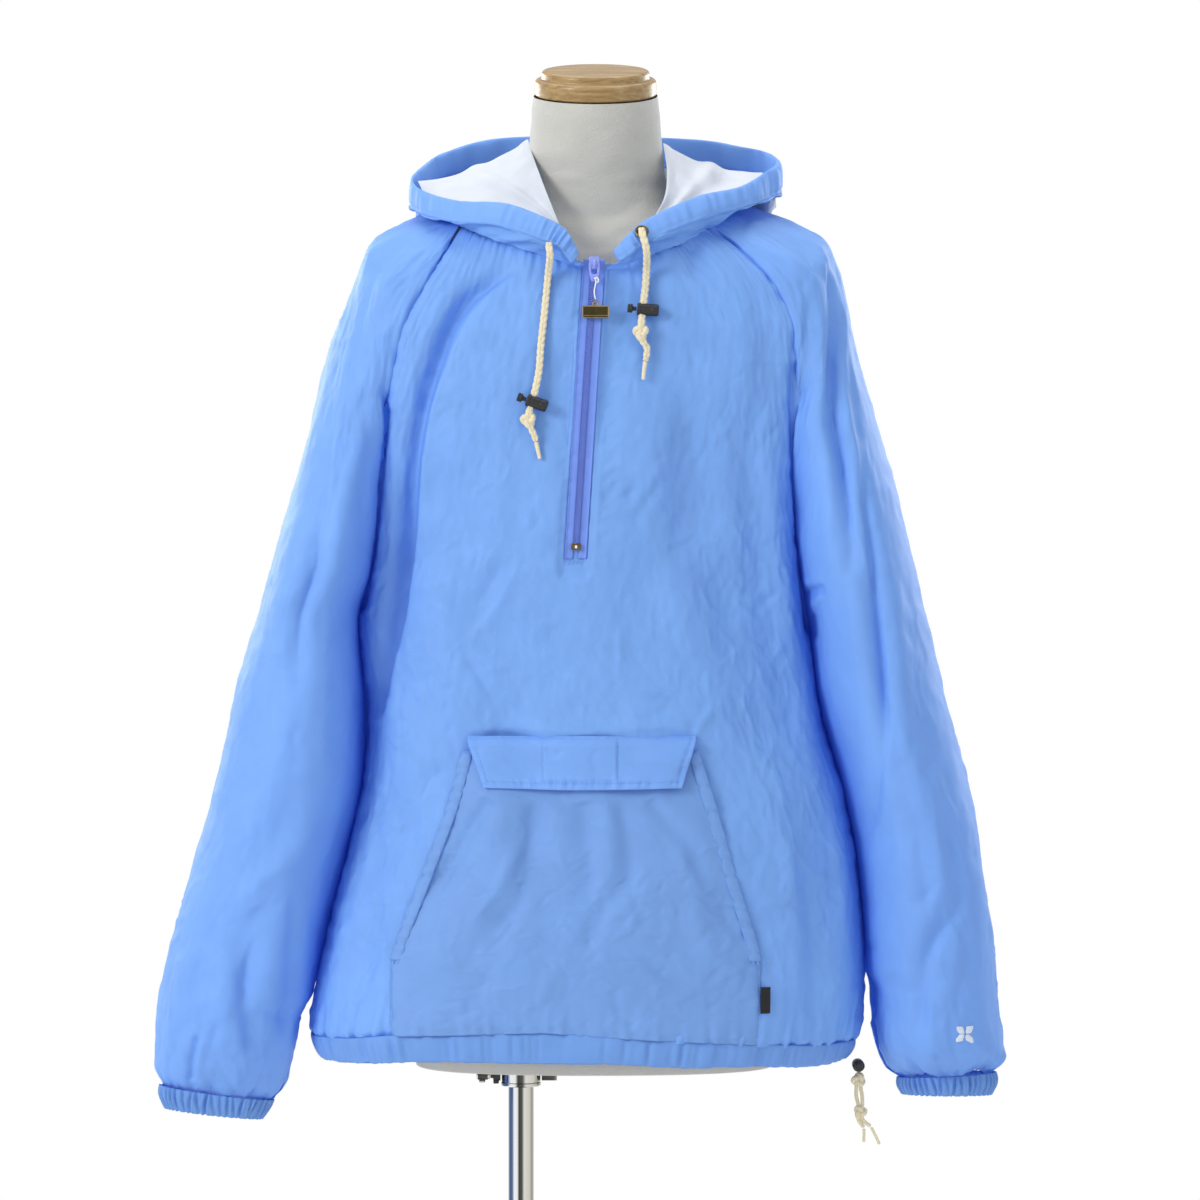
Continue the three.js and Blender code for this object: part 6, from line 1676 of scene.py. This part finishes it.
ext = ext + strokes(X, Y, [([(500, 752), (520, 770), (545, 782)], -0.8, 4, 6, 0.3, 0.3), ([(545, 745), (556, 756), (566, 748)], -0.7, 3, 4, 0.3, 0.3), ([(600, 748), (592, 760), (600, 775)], -0.7, 3, 4, 0.3, 0.3), ([(625, 755), (640, 768), (668, 770)], -0.6, 4, 5, 0.3, 0.3)])
flap_ob, FLAP_P, FLAP_N = shell_piece("pocket_flap_cloth", U, Z, 4.2, 5.3, ext + 2.6 * smooth((v - 0.02) / 0.2), MAT["shell"], "pocket_flap", "shell")


# ---- stitches ----
def stitches(name, lines, mat, pitch=3.1, length=2.2, r=0.27):
    """Short rounded threads along lines of points with normals, all in one mesh."""
    C, A, B = [], [], []
    for P, N in lines:
        q, L = even(P, 0.5)
        src = np.concatenate([[0], np.cumsum(np.linalg.norm(np.diff(P, axis=0), axis=1))])
        n = max(int(L / pitch), 1)
        s = (np.arange(n) + 0.5) * L / n
        c = np.stack([np.interp(s, src, P[:, i]) for i in range(3)], 1)
        e = np.stack([np.interp(s + 0.4, src, P[:, i]) - np.interp(s - 0.4, src, P[:, i]) for i in range(3)], 1)
        nn = unit(np.stack([np.interp(s, src, N[:, i]) for i in range(3)], 1))
        C.append(c), A.append(unit(e)), B.append(nn)
    C, A, B = np.concatenate(C), np.concatenate(A), np.concatenate(B)
    S = np.cross(A, B)
    ks = np.array([-0.5, -0.36, 0, 0.36, 0.5]) * length
    rs = np.array([0.25, 0.85, 1, 0.85, 0.25]) * r
    lift = np.array([-0.25, 0.05, 0.12, 0.05, -0.25])
    ang = 2 * np.pi * np.arange(6) / 6
    P = (C[:, None, None] + A[:, None, None] * ks[None, :, None, None] + B[:, None, None] * (lift[None, :, None, None] + (rs[:, None] * np.sin(ang))[None, ..., None]) + S[:, None, None] * (rs[:, None] * np.cos(ang))[None, ..., None])
    k, m, n = P.shape[:3]
    f0 = grid_faces(m, n, wrap=True)
    caps = np.array([list(range(n))[::-1], [(m - 1) * n + j for j in range(n)]])
    off = (np.arange(k) * m * n)[:, None, None]
    return make(name, P, [(f0[None] + off).reshape(-1, 4), (caps[None] + off).reshape(-1, n)], mat, slot="shell")


def surf_line(G, N, fi, fj, n=80, off=0.1):
    """A line over a grid of points by fractional row and column."""
    t = np.linspace(0, 1, n)
    i, j = fi(t), fj(t)
    i, j = np.clip(i, 0, 1) * (G.shape[0] - 1.001), np.clip(j, 0, 1) * (G.shape[1] - 1.001)
    i0, j0 = i.astype(int), j.astype(int)
    a, b = (i - i0)[:, None], (j - j0)[:, None]

    def pick(A):
        return (A[i0, j0] * (1 - a) + A[i0 + 1, j0] * a) * (1 - b) + (A[i0, j0 + 1] * (1 - a) + A[i0 + 1, j0 + 1] * a) * b
    return pick(G) + pick(N) * off, unit(pick(N))


one = lambda x: (lambda t: 0 * t + x)
lin = lambda a, b: (lambda t: mix(a, b, t))
L5 = 5.2 / 185
flap_lines = [surf_line(FLAP_P, FLAP_N, one(1.8 / 46), lin(0.006, 0.994), 200), surf_line(FLAP_P, FLAP_N, one(1 - 5.6 / 46), lin(L5, 1 - L5), 200),
              surf_line(FLAP_P, FLAP_N, lin(0.03, 1 - 5.6 / 46), lin(L5 * 0.92, L5 * 1.05), 60), surf_line(FLAP_P, FLAP_N, lin(0.03, 1 - 5.6 / 46), lin(1 - L5 * 0.92, 1 - L5 * 1.05), 60)]


def flap_uv(u, z):
    vv = (897.0 - z) / 46
    return vv, (u - mix(-112.0, -96.0, vv)) / mix(200.5, 170.5, vv)


a0, a1 = flap_uv(box_l, 893), flap_uv(box_l, box_b)
b0, b1 = flap_uv(box_r, 893), flap_uv(box_r, box_b)
for p, q, k in ((a0, a1, 50), (b0, b1, 50), (a1, b1, 90)):
    flap_lines.append(surf_line(FLAP_P, FLAP_N, lin(p[0], q[0]), lin(p[1], q[1]), k))


def front_line(us, zs, off, n=160):
    us, zs = np.asarray(us, float), np.asarray(zs, float)
    t = np.linspace(0, len(us) - 1, n)
    U, Z = np.interp(t, np.arange(len(us)), us), np.interp(t, np.arange(len(us)), zs)
    P, N = on_front(U, Z, off)
    return P, N


pocket_lines = []
for ob, edge_fn, sg in BANDS:
    zz = np.linspace(880, 702, 160)
    for q in (1.6, 9.6):
        pocket_lines.append(front_line(edge_fn(zz) + sg * q, zz, 3.1))
    zc = 697.0
    for k in range(6):
        z0 = zc + 0.55 * k
        pocket_lines.append(front_line([edge_fn(z0) + sg * 1.5, edge_fn(z0) + sg * 9.5], [z0, z0], 3.0, 20))
    zz = np.linspace(696, 648, 60)
    pocket_lines.append(front_line(edge_fn(zz) + sg * 2.0, zz, 1.9))
stitches("pocket_stitches", flap_lines + pocket_lines, MAT["thread"])
zz = np.linspace(1322, 1046, 260)
zip_lines = []
for q in (-13.6, 13.6):
    U = zip_u(zz) + q
    P, N = on_front(U, zz, 0.15, 0.0, True)
    zip_lines.append((P, N))
for z0 in (1047.5, 1049.0, 1050.5):
    P, N = on_front(np.linspace(-7.5, 7.5, 20) + zip_u(z0), np.full(20, z0), 0.5)
    zip_lines.append((P, N))
U = zip_u(zz) + 30
P, N = on_front(U, zz, 0.15)
stitches("zip_stitches", zip_lines, MAT["thread"])


# ---- half zip ----
def strip_fn(z0, z1, a, b):
    return lambda v, s: (zip_u(mix(z0, z1, v)) + mix(a, b, s), mix(z0, z1, v))


TAPES = []
for tag, a, b in (("left", -ZIP["tape"] - 1.4, -2.3), ("right", 2.3, ZIP["tape"] + 1.4)):
    U, Z, v, s = grid_uz(220, 9, strip_fn(1315.0, 1052.0, a, b))
    ob, O, N = shell_piece("zip_tape_%s_cloth" % tag, U, Z, -0.6, 0.1, 1.5 + 0.12 * noise2(U.shape, (1.2, 0.9), (8, 30), 601), MAT["tape"], "zip_tape_" + tag, "tape", relief=True)
    TAPES.append(ob)

cp, cl = even(on_front(zip_u(np.linspace(1306, 1064, 300)), np.linspace(1306, 1064, 300), 0.9)[0], 0.4)
zc = np.interp(np.linspace(0, 1, 300), [0, 1], [1306, 1064])
pitch = 1.95
count = int(cl / pitch)
s_at = (np.arange(count) + 0.5) * cl / count
src = np.linspace(0, cl, len(cp))
C = np.stack([np.interp(s_at, src, cp[:, i]) for i in range(3)], 1)
Tn = unit(np.stack([np.interp(s_at + 1, src, cp[:, i]) - np.interp(s_at - 1, src, cp[:, i]) for i in range(3)], 1))
Nn = front_normal(C[:, 0] - CX, C[:, 2])
Sd = unit(np.cross(Tn, Nn))
tooth = np.array([(-2.55, -0.52, -0.7), (-2.55, 0.52, -0.7), (0.35, 0.34, -0.55), (0.35, -0.34, -0.55), (-2.4, -0.46, 0.8), (-2.4, 0.46, 0.8), (-0.1, 0.3, 1.05), (-0.1, -0.3, 1.05), (0.35, 0.22, 0.6), (0.35, -0.22, 0.6)])
tf4 = np.array([(0, 3, 2, 1), (4, 5, 6, 7), (0, 1, 5, 4), (7, 6, 8, 9), (9, 8, 2, 3)])
tf5 = np.array([(1, 2, 8, 6, 5), (0, 4, 7, 9, 3)])
V, F4, F5 = [], [], []
for k in range(count):
    for sg in (1, -1):
        c = C[k] + Tn[k] * (0 if sg > 0 else cl / count / 2)
        base = len(V) * 10
        V.append(c + Sd[k] * (tooth[:, :1] * sg) + Tn[k] * tooth[:, 1:2] + Nn[k] * (tooth[:, 2:] + 0.2))
        F4.append((tf4 if sg > 0 else tf4[:, ::-1]) + base)
        F5.append((tf5 if sg > 0 else tf5[:, ::-1]) + base)
core_lines = []
teeth = make("zip_teeth", np.concatenate(V), [np.concatenate(F4), np.concatenate(F5)], MAT["teeth"], node="zip_chain", slot="tape", flat=True)

# stop: a small clamp across the chain's lower end
stop_P, stop_N = on_front(np.array([zip_u(1062.5)]), np.array([1062.5]), 2.2)


def plate(name, outlines, thickness, bevel, origin, xa, ya, mat, body="form", node=()):
    """A flat piece cut from outlines in its own plane, its edges rounded."""
    cu = bpy.data.curves.new(name, "CURVE")
    cu.dimensions, cu.fill_mode = "2D", "BOTH"
    for o in outlines:
        sp = cu.splines.new("POLY")
        sp.points.add(len(o) - 1)
        sp.points.foreach_set("co", np.concatenate([np.asarray(o, float) / 1000, np.zeros((len(o), 1)), np.ones((len(o), 1))], 1).ravel())
        sp.use_cyclic_u = True
    cu.bevel_depth, cu.bevel_resolution, cu.offset = bevel / 1000, 2, -bevel / 1000
    cu.extrude = max(thickness / 2 - bevel, 0) / 1000
    cu.materials.append(mat)
    ob = bpy.data.objects.new(name, cu)
    xa, ya = unit(np.asarray(xa, float)), unit(np.asarray(ya, float))
    za = np.cross(xa, ya)
    M = np.eye(4)
    M[:3, 0], M[:3, 1], M[:3, 2], M[:3, 3] = xa, ya, za, np.asarray(origin) / 1000
    from mathutils import Matrix
    ob.matrix_world = Matrix(M.tolist())
    bpy.context.scene.collection.objects.link(ob)
    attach(ob, body)
    if node:
        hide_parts(*([node] if isinstance(node, str) else node))
    return ob


def rounded(w, h, r, k=5, cx=0.0, cy=0.0):
    out = []
    for sx, sy, a0 in ((1, 1, 0), (-1, 1, 90), (-1, -1, 180), (1, -1, 270)):
        for t in np.linspace(a0, a0 + 90, k):
            out.append((cx + sx * (w / 2 - r) + r * math.cos(math.radians(t)), cy + sy * (h / 2 - r) + r * math.sin(math.radians(t))))
    return out


XA, ZA = (1, 0, 0), (0, 0, 1)
plate("zip_stop_fine", [rounded(8.6, 5.6, 0.8)], 1.5, 0.35, stop_P[0] + np.array([0, -0.1, 0]), XA, ZA, MAT["bronze"], node="zip_stop")
plate("zip_stop_window", [rounded(2.0, 2.6, 0.5)], 0.5, 0.15, stop_P[0] + np.array([0, -1.0, 0]), XA, ZA, MAT["string"])
PIVOT = np.array([CX - 1, -112.3, 1309.5])
TAG_PIVOT = PIVOT - np.array([0, 0, 15.4])
body_out = [(-4.7, 4.2), (-4.3, 5.6), (-2.0, 5.9), (0, 4.9), (2.0, 5.9), (4.3, 5.6), (4.7, 4.2), (4.2, -3.6), (3.4, -5.2), (-3.4, -5.2), (-4.2, -3.6)]
plate("zip_slider_body", [body_out], 2.3, 0.5, PIVOT + np.array([0, 1.0, 1.4]), XA, ZA, MAT["enamel"], node="zip_slider")
plate("zip_slider_back", [body_out], 1.0, 0.3, PIVOT + np.array([0, 3.2, 1.4]), XA, ZA, MAT["enamel"])
arch = [(4.4 * math.cos(t), 4.2 * math.sin(t)) for t in np.linspace(0, math.pi, 15)] + [(-4.4, -0.8), (4.4, -0.8)]
hole = [(2.2 * math.cos(t), 1.5 + 1.45 * math.sin(t)) for t in np.linspace(0, 2 * math.pi, 17)[:-1]]
plate("zip_slider_crown", [arch, hole], 2.4, 0.45, PIVOT + np.array([0, 1.2, 0]), ZA, (0, -1, 0), MAT["enamel"])
tab = [(-4.9, 0.7), (-4.2, 1.2), (-3.4, 1.0), (-2.9, 0.2), (-2.6, -7.2), (-1.6, -8.3), (1.6, -8.3), (2.6, -7.2), (2.9, 0.2), (3.4, 1.0), (4.2, 1.2), (4.9, 0.7), (4.7, -5.0), (4.2, -8.6), (3.2, -13.6), (2.2, -14.8), (-2.2, -14.8), (-3.2, -13.6), (-4.2, -8.6), (-4.7, -5.0)]
tab_ob = plate("pull_tab_fine", [tab, [(1.1 * math.cos(t), -12.6 + 1.1 * math.sin(t)) for t in np.linspace(0, 2 * math.pi, 13)[:-1]]], 1.5, 0.4, PIVOT, XA, ZA, MAT["enamel"], body="tab", node="pull_tab")
plate("pull_tab_bar", [rounded(6.4, 1.6, 0.7, cy=0.1)], 1.5, 0.5, PIVOT, XA, ZA, MAT["enamel"], body="tab")

sp = spline([TAG_PIVOT + np.array(q) for q in ((0.9, -1.4, 2.6), (1.5, -1.9, 0.6), (0.9, -2.2, -3), (0.0, -4.0, -9), (1, -5.6, -15.6))], 60)
P, _ = braided(sp, 0.62, 20, 0.35, 1.8, 4, 0.18)
tube_object("tag_string_fine", P, MAT["string"], body="tag", node="tag_string", slot="lining")
sp = spline([TAG_PIVOT + np.array(q) for q in ((-0.6, -1.2, 2.6), (2.2, -1.3, 3.6), (3.6, -1.0, 1.6), (2.6, -1.0, -0.4), (0.6, -1.2, 0.4))], 40)
P, _ = braided(sp, 0.8, 16, 0.35, 1.8, 4, 0.2)
tube_object("tag_string_loop", P, MAT["string"], body="tag", slot="lining")
tc = np.array([TAG_PIVOT[0] + 1.2, TAG_PIVOT[1] - 5.8, TAG_PIVOT[2] - 16])
tag_out = rounded(23.4, 11.0, 0.8, cy=-10.5)
plate("zip_tag_fine", [tag_out], 1.1, 0.3, tc, XA, ZA, MAT["dark_brass"], body="tag", node="zip_tag")
plate("zip_tag_rim", [tag_out, rounded(21.4, 9.0, 0.5, cy=-10.5)], 1.6, 0.3, tc, XA, ZA, MAT["brass"], body="tag")
plate("zip_tag_bar", [rounded(20.6, 0.7, 0.3, cy=-13.6)], 1.5, 0.25, tc, XA, ZA, MAT["brass"], body="tag")
lug = [(3.1 * math.cos(t), -3.4 + 3.1 * math.sin(t)) for t in np.linspace(-0.6, math.pi + 0.6, 18)]
plate("zip_tag_lug", [lug, [(1.5 * math.cos(t), -3.2 + 1.5 * math.sin(t)) for t in np.linspace(0, 2 * math.pi, 15)[:-1]]], 1.4, 0.3, tc, XA, ZA, MAT["brass"], body="tag")

# eyelet
ep = [(3.55, -0.6), (6.0, -0.6), (6.25, -0.1), (5.9, 0.45), (5.0, 0.85), (4.2, 0.7), (3.7, 0.2), (3.55, -0.6)]
place = frame_to(EYE_RN, EYE_R)
r = turned(ep, 0.3)
a = 2 * np.pi * np.arange(64) / 64
P = place(np.stack([r[:, :1] * np.cos(a), r[:, :1] * np.sin(a), np.broadcast_to(r[:, 1:], (len(r), 64))], -1))
make("eyelet_fine", P, grid_faces(len(r), 64, wrap=True), MAT["bronze"], node="eyelet_right", slot="bronze")
# a near-black disc just inside the eyelet: painted shade for the dark inside of the hole
P = place(np.stack([np.array([[0.01], [3.6]]) * np.cos(a), np.array([[0.01], [3.6]]) * np.sin(a), np.full((2, 64), -0.35)], -1))
make("eyelet_hole_painted_shade", P, grid_faces(2, 64, wrap=True), MAT["label"], slot="bronze")

# side label, bare
U, Z, v, s = grid_uz(24, 12, lambda v, s: (mix(143.4, 152.0, s) - 0.6 * v, mix(677.6, 654.8, v)))
label_ob, _, _ = shell_piece("side_label_cloth", U, Z, 2.9, 3.5, 0.5 * np.sin(np.pi * s) + 0.7 * v, MAT["label"], "side_label", "label")


# small stitched rosette on the sleeve: four plain leaves
def on_sleeve(G, N, x, y):
    X, Y = view_px(G)
    d = np.hypot(X - x, Y - y) + 1e3 * (N[..., 1] > -0.1)
    i, j = np.unravel_index(d.argmin(), d.shape)
    a = slice(max(i - 2, 0), i + 3), slice(max(j - 2, 0), j + 3)
    w = 1 / (np.hypot(X[a] - x, Y[a] - y) ** 3 + 1e-3)
    w /= w.sum()
    return (G[a] * w[..., None]).sum((0, 1)), unit((N[a] * w[..., None]).sum((0, 1)))


V, F = [], []
off = 0
for q in range(4):
    ang = math.pi / 4 + q * math.pi / 2
    m, n = 15, 9
    G = np.zeros((m, n, 3))
    for i, t in enumerate(np.linspace(0.12, 1, m)):
        wdt = 3.0 * math.sin(math.pi * min((t - 0.12) / 0.88, 1)) ** 0.8 + 0.25
        for j, s_ in enumerate(np.linspace(-1, 1, n)):
            lx, ly = 11.5 * t, wdt * s_
            x, y = 964.5 + lx * math.cos(ang) - ly * math.sin(ang), 1034 + lx * math.sin(ang) + ly * math.cos(ang)
            p, nn = on_sleeve(RIGHT_P, RIGHT_N, x, y)
            rib = 0.12 * math.cos(i * math.pi)
            G[i, j] = p + nn * (0.25 + (0.75 + rib) * math.sqrt(max(1 - s_ * s_, 0)))
    V.append(G.reshape(-1, 3))
    F.append(grid_faces(m, n, start=off))
    off += m * n
make("sleeve_rosette", np.concatenate(V), np.concatenate(F), MAT["embroidery"], slot="lining")


# ---- dress form, cap and stand ----
def build_form():
    n = 160
    a = 2 * np.pi * np.arange(n) / n
    c, s = np.cos(a), np.sin(a)
    out = []
    zs = np.concatenate([np.linspace(FORM_BOTTOM + 1.2, 1290, 60), np.linspace(1292, 1398, 46)])
    for z in zs:
        w, d, e, y = (float(at(FORM, "z", np.float64(z), k)) for k in ("w", "d", "n", "y"))
        out.append(vec(CX + w * np.sign(c) * np.abs(c) ** (2 / e), y + d * np.sign(s) * np.abs(s) ** (2 / e), z))
    for f in np.linspace(0.06, 1, 18):
        tilt, L = NECK_TILT * f, 72 * f
        w, d = mix(62.5, 55.5, f), mix(56.5, 55.5, f)
        out.append(vec(CX + w * c, 2 - L * math.sin(NECK_TILT) + d * s * math.cos(tilt), 1398 + L * math.cos(NECK_TILT) + d * s * math.sin(tilt)))
    P = np.array(out)
    N = -grid_normals(P, wrap=True)
    ctr = P.mean(1, keepdims=True)
    N *= np.sign(((P - ctr) * N).sum(-1, keepdims=True))
    X, Y = view_px(P)
    fwd = smooth(-N[..., 1] * 3)
    D = fwd * strokes(X, Y, [([(545, 196), (570, 214), (600, 218), (630, 210), (652, 190)], -1.2, 5, 7, 0.3, 0.3), ([(548, 214), (580, 234), (612, 232), (640, 214)], 1.2, 5, 6, 0.3, 0.3),
                             ([(560, 236), (590, 250), (622, 240)], -1.4, 4, 6, 0.3, 0.3), ([(575, 170), (600, 178), (640, 168)], -0.5, 5, 8, 0.4, 0.4)])
    D += 0.25 * noise2(P.shape[:2], (9, 5), (40, 60), 701) * (Z_ok := 1)
    P = P + N * D[..., None]
    low = P[0].copy()
    rows_ = []
    bore = vec(13.4 * np.cos(a), 13.4 * np.sin(a), FORM_BOTTOM)
    low2 = low.copy()
    low2[:, 2] = FORM_BOTTOM
    sh = low2 * 0.985 + np.array([CX, 0, FORM_BOTTOM]) * 0.015
    # turn the bore's points so that they face the outline's
    th = np.arctan2(sh[:, 1], sh[:, 0])
    bore = vec(13.4 * np.cos(th), 13.4 * np.sin(th), FORM_BOTTOM)
    for f in (1, 0.66, 0.33, 0):
        rows_.append(bore + (sh - bore) * (1 - f) if f < 1 else bore)
    up = bore.copy()
    up[:, 2] += 40
    bottom = [up] + rows_
    P = np.concatenate([np.array(bottom), P])
    f = tube_faces(P.shape[0], n)
    return make("dress_form", P, f[0], MAT["knit"], node="form_torso", slot="knit"), P


form_ob, FORM_P = build_form()
rings = FORM_P[-1]
cap_place = lambda P: np.stack([P[..., 0], P[..., 1] * math.cos(NECK_TILT) - P[..., 2] * math.sin(NECK_TILT), P[..., 1] * math.sin(NECK_TILT) + P[..., 2] * math.cos(NECK_TILT)], -1) + np.array([CX, 2 - 72.5 * math.sin(NECK_TILT), 1398 + 72.5 * math.cos(NECK_TILT)])
cp = [(0.01, 0), (CAP["r1"] - 1.5, 0), (CAP["r1"], 1.4), (CAP["r1"], CAP["h1"] - 2.4), (CAP["r1"] - 2.4, CAP["h1"]), (CAP["r2"] + 0.6, CAP["h1"] + 0.3), (CAP["r2"], CAP["h1"] + 1.2), (CAP["r2"], CAP["h1"] + CAP["h2"] - 2), (CAP["r2"] - 2, CAP["h1"] + CAP["h2"]), (0.01, CAP["h1"] + CAP["h2"])]
lathe_mesh("neck_cap_turned", turned(cp, 1.6, 6), MAT["wood"], cap_place, 128, "form", "neck_cap", "wood")

lathe_mesh("base_fine", turned([(0.01, 0), (BASE_R - 1, 0), (BASE_R, 1.2), (BASE_R, BASE_H - 3), (BASE_R - 3, BASE_H), (40, BASE_H + 2.4), (30, 16), (22, HUB_H), (POLE_R + 0.4, HUB_H), (POLE_R + 0.4, 3), (0.01, 3)], 1.5, 6), MAT["steel"], None, 160, "stand", "base", "steel")
lathe_mesh("pole_fine", turned([(0.01, 3.4), (POLE_R, 3.4), (POLE_R, 200), (POLE_R, 400), (POLE_R, POLE_TOP - 2), (POLE_R - 2, POLE_TOP), (0.01, POLE_TOP)], 0.8, 4), MAT["chrome"], None, 72, "stand", "pole", "chrome")
col = turned([(POLE_R + 0.45, 579), (17.2, 579), (18, 580), (18, 582), (17.5, 582.6), (17.5, 592.8), (18, 593.4), (18, 595.4), (17.2, 596.4), (POLE_R + 0.45, 596.4), (POLE_R + 0.45, 579)], 0.5, 4)
a = 2 * np.pi * np.arange(96) / 96
P = np.stack([col[:, :1] * np.cos(a), col[:, :1] * np.sin(a), np.broadcast_to(col[:, 1:], (len(col), 96))], -1)
make("clamp_collar_fine", P, grid_faces(len(col), 96, wrap=True), MAT["chrome"], body="collar", node="clamp_collar", slot="chrome")


def rod_x(name, prof, mat, node_name=(), slot="chrome", z=588.0):
    """A piece turned about the X axis: (x, radius) points."""
    pts = turned([(r_, x_) for x_, r_ in prof], 0.3, 3)
    return lathe_mesh(name, pts, mat, lambda P: np.stack([P[..., 2], P[..., 0], P[..., 1] + z], -1), 40, "collar", node_name, slot)


rod_x("wing_bolt_shank", [(-27.6, 0.01), (-27.6, 2.3), (-25.2, 2.4), (-25, 4.6), (-18.6, 4.6), (-18.6, 0.01)], MAT["black"], "wing_bolt", "black")
rod_x("wing_nut_hub", [(-40, 0.01), (-40, 3.2), (-39, 3.8), (-30, 3.8), (-28, 3.2), (-28, 0.01)], MAT["chrome"], "wing_nut", "chrome")


def wing(h, t):
    up = [(-h, -t), (-h * 0.8, -t * 1.15), (-h * 0.4, -t * 0.7), (h * 0.4, -t * 0.7), (h * 0.8, -t * 1.15), (h, -t), (h, t), (h * 0.8, t * 1.15), (h * 0.4, t * 0.7), (-h * 0.4, t * 0.7), (-h * 0.8, t * 1.15), (-h, t)]
    return up


plate("wing_bolt_wing", [wing(7.0, 2.2)], 5.0, 0.7, (-22.5, 0, 588), ZA, (0, 1, 0), MAT["black"], body="collar")
plate("wing_nut_wing", [wing(6.0, 1.5)], 5.6, 0.5, (-35, 0, 588), ZA, (0, 1, 0), MAT["chrome"], body="collar")
ct = turned([(3.8, 21.6), (3.8, 32.3), (5.0, 32.3), (5.0, 18.5), (3.0, 18.5), (3.0, 21.4), (3.8, 21.6)], 0.2, 3)
a = 2 * np.pi * np.arange(56) / 56
P = np.stack([np.broadcast_to(ct[:, 1:], (len(ct), 56)), ct[:, :1] * np.cos(a), ct[:, :1] * np.sin(a) + 588.5], -1)
make("cross_tube_fine", P, grid_faces(len(ct), 56, wrap=True), MAT["chrome"], body="collar", node="cross_tube", slot="chrome")

# ---- every sheet of cloth with the size it was cut to ----
SHEETS = [
    (front_ob, (0.60, 0.74), 0.385, "draped", [form_ob]),
    (back_ob, (0.60, 0.79), 0.400, "draped", [form_ob]),
    (left_ob, (0.46, 0.85), 0.300, "draped", [form_ob]),
    (right_ob, (0.46, 0.85), 0.300, "draped", [form_ob]),
    (cuff_l, (0.25, 0.024), None, "gathered", [left_ob]),
    (cuff_r, (0.25, 0.024), None, "gathered", [right_ob]),
    (hem_ob, (1.25, 0.030), None, "gathered", [front_ob, back_ob]),
    (hood_ob, (0.86, 0.30), 0.160, "draped", [form_ob, back_ob]),
    (lining_ob, (0.80, 0.29), 0.150, "draped", [hood_ob]),
    (FOLDS[0], (0.12, 0.09), None, "draped", [form_ob, lining_ob]),
    (FOLDS[1], (0.12, 0.09), None, "draped", [form_ob, lining_ob]),
    (rim_ob, (0.92, 0.025), None, "gathered", [hood_ob]),
    (pocket_ob, (0.35, 0.26), 0.080, "draped", [front_ob]),
    (BANDS[0][0], (0.012, 0.19), None, "draped", [pocket_ob]),
    (BANDS[1][0], (0.012, 0.19), None, "draped", [pocket_ob]),
    (flap_ob, (0.205, 0.047), None, "draped", [pocket_ob]),
    (TAPES[0], (0.010, 0.265), None, "draped", [front_ob]),
    (TAPES[1], (0.010, 0.265), None, "draped", [front_ob]),
    (label_ob, (0.010, 0.023), None, "draped", [pocket_ob]),
]
for ob, flat, share, held, under in SHEETS:
    got = sum(p.area for p in ob.data.polygons)
    print("sheet", ob.name, "area", round(got, 4), "of", flat[0] * flat[1], share)
    if share:
        [u.name for u in under]
    else:
        [u.name for u in under]
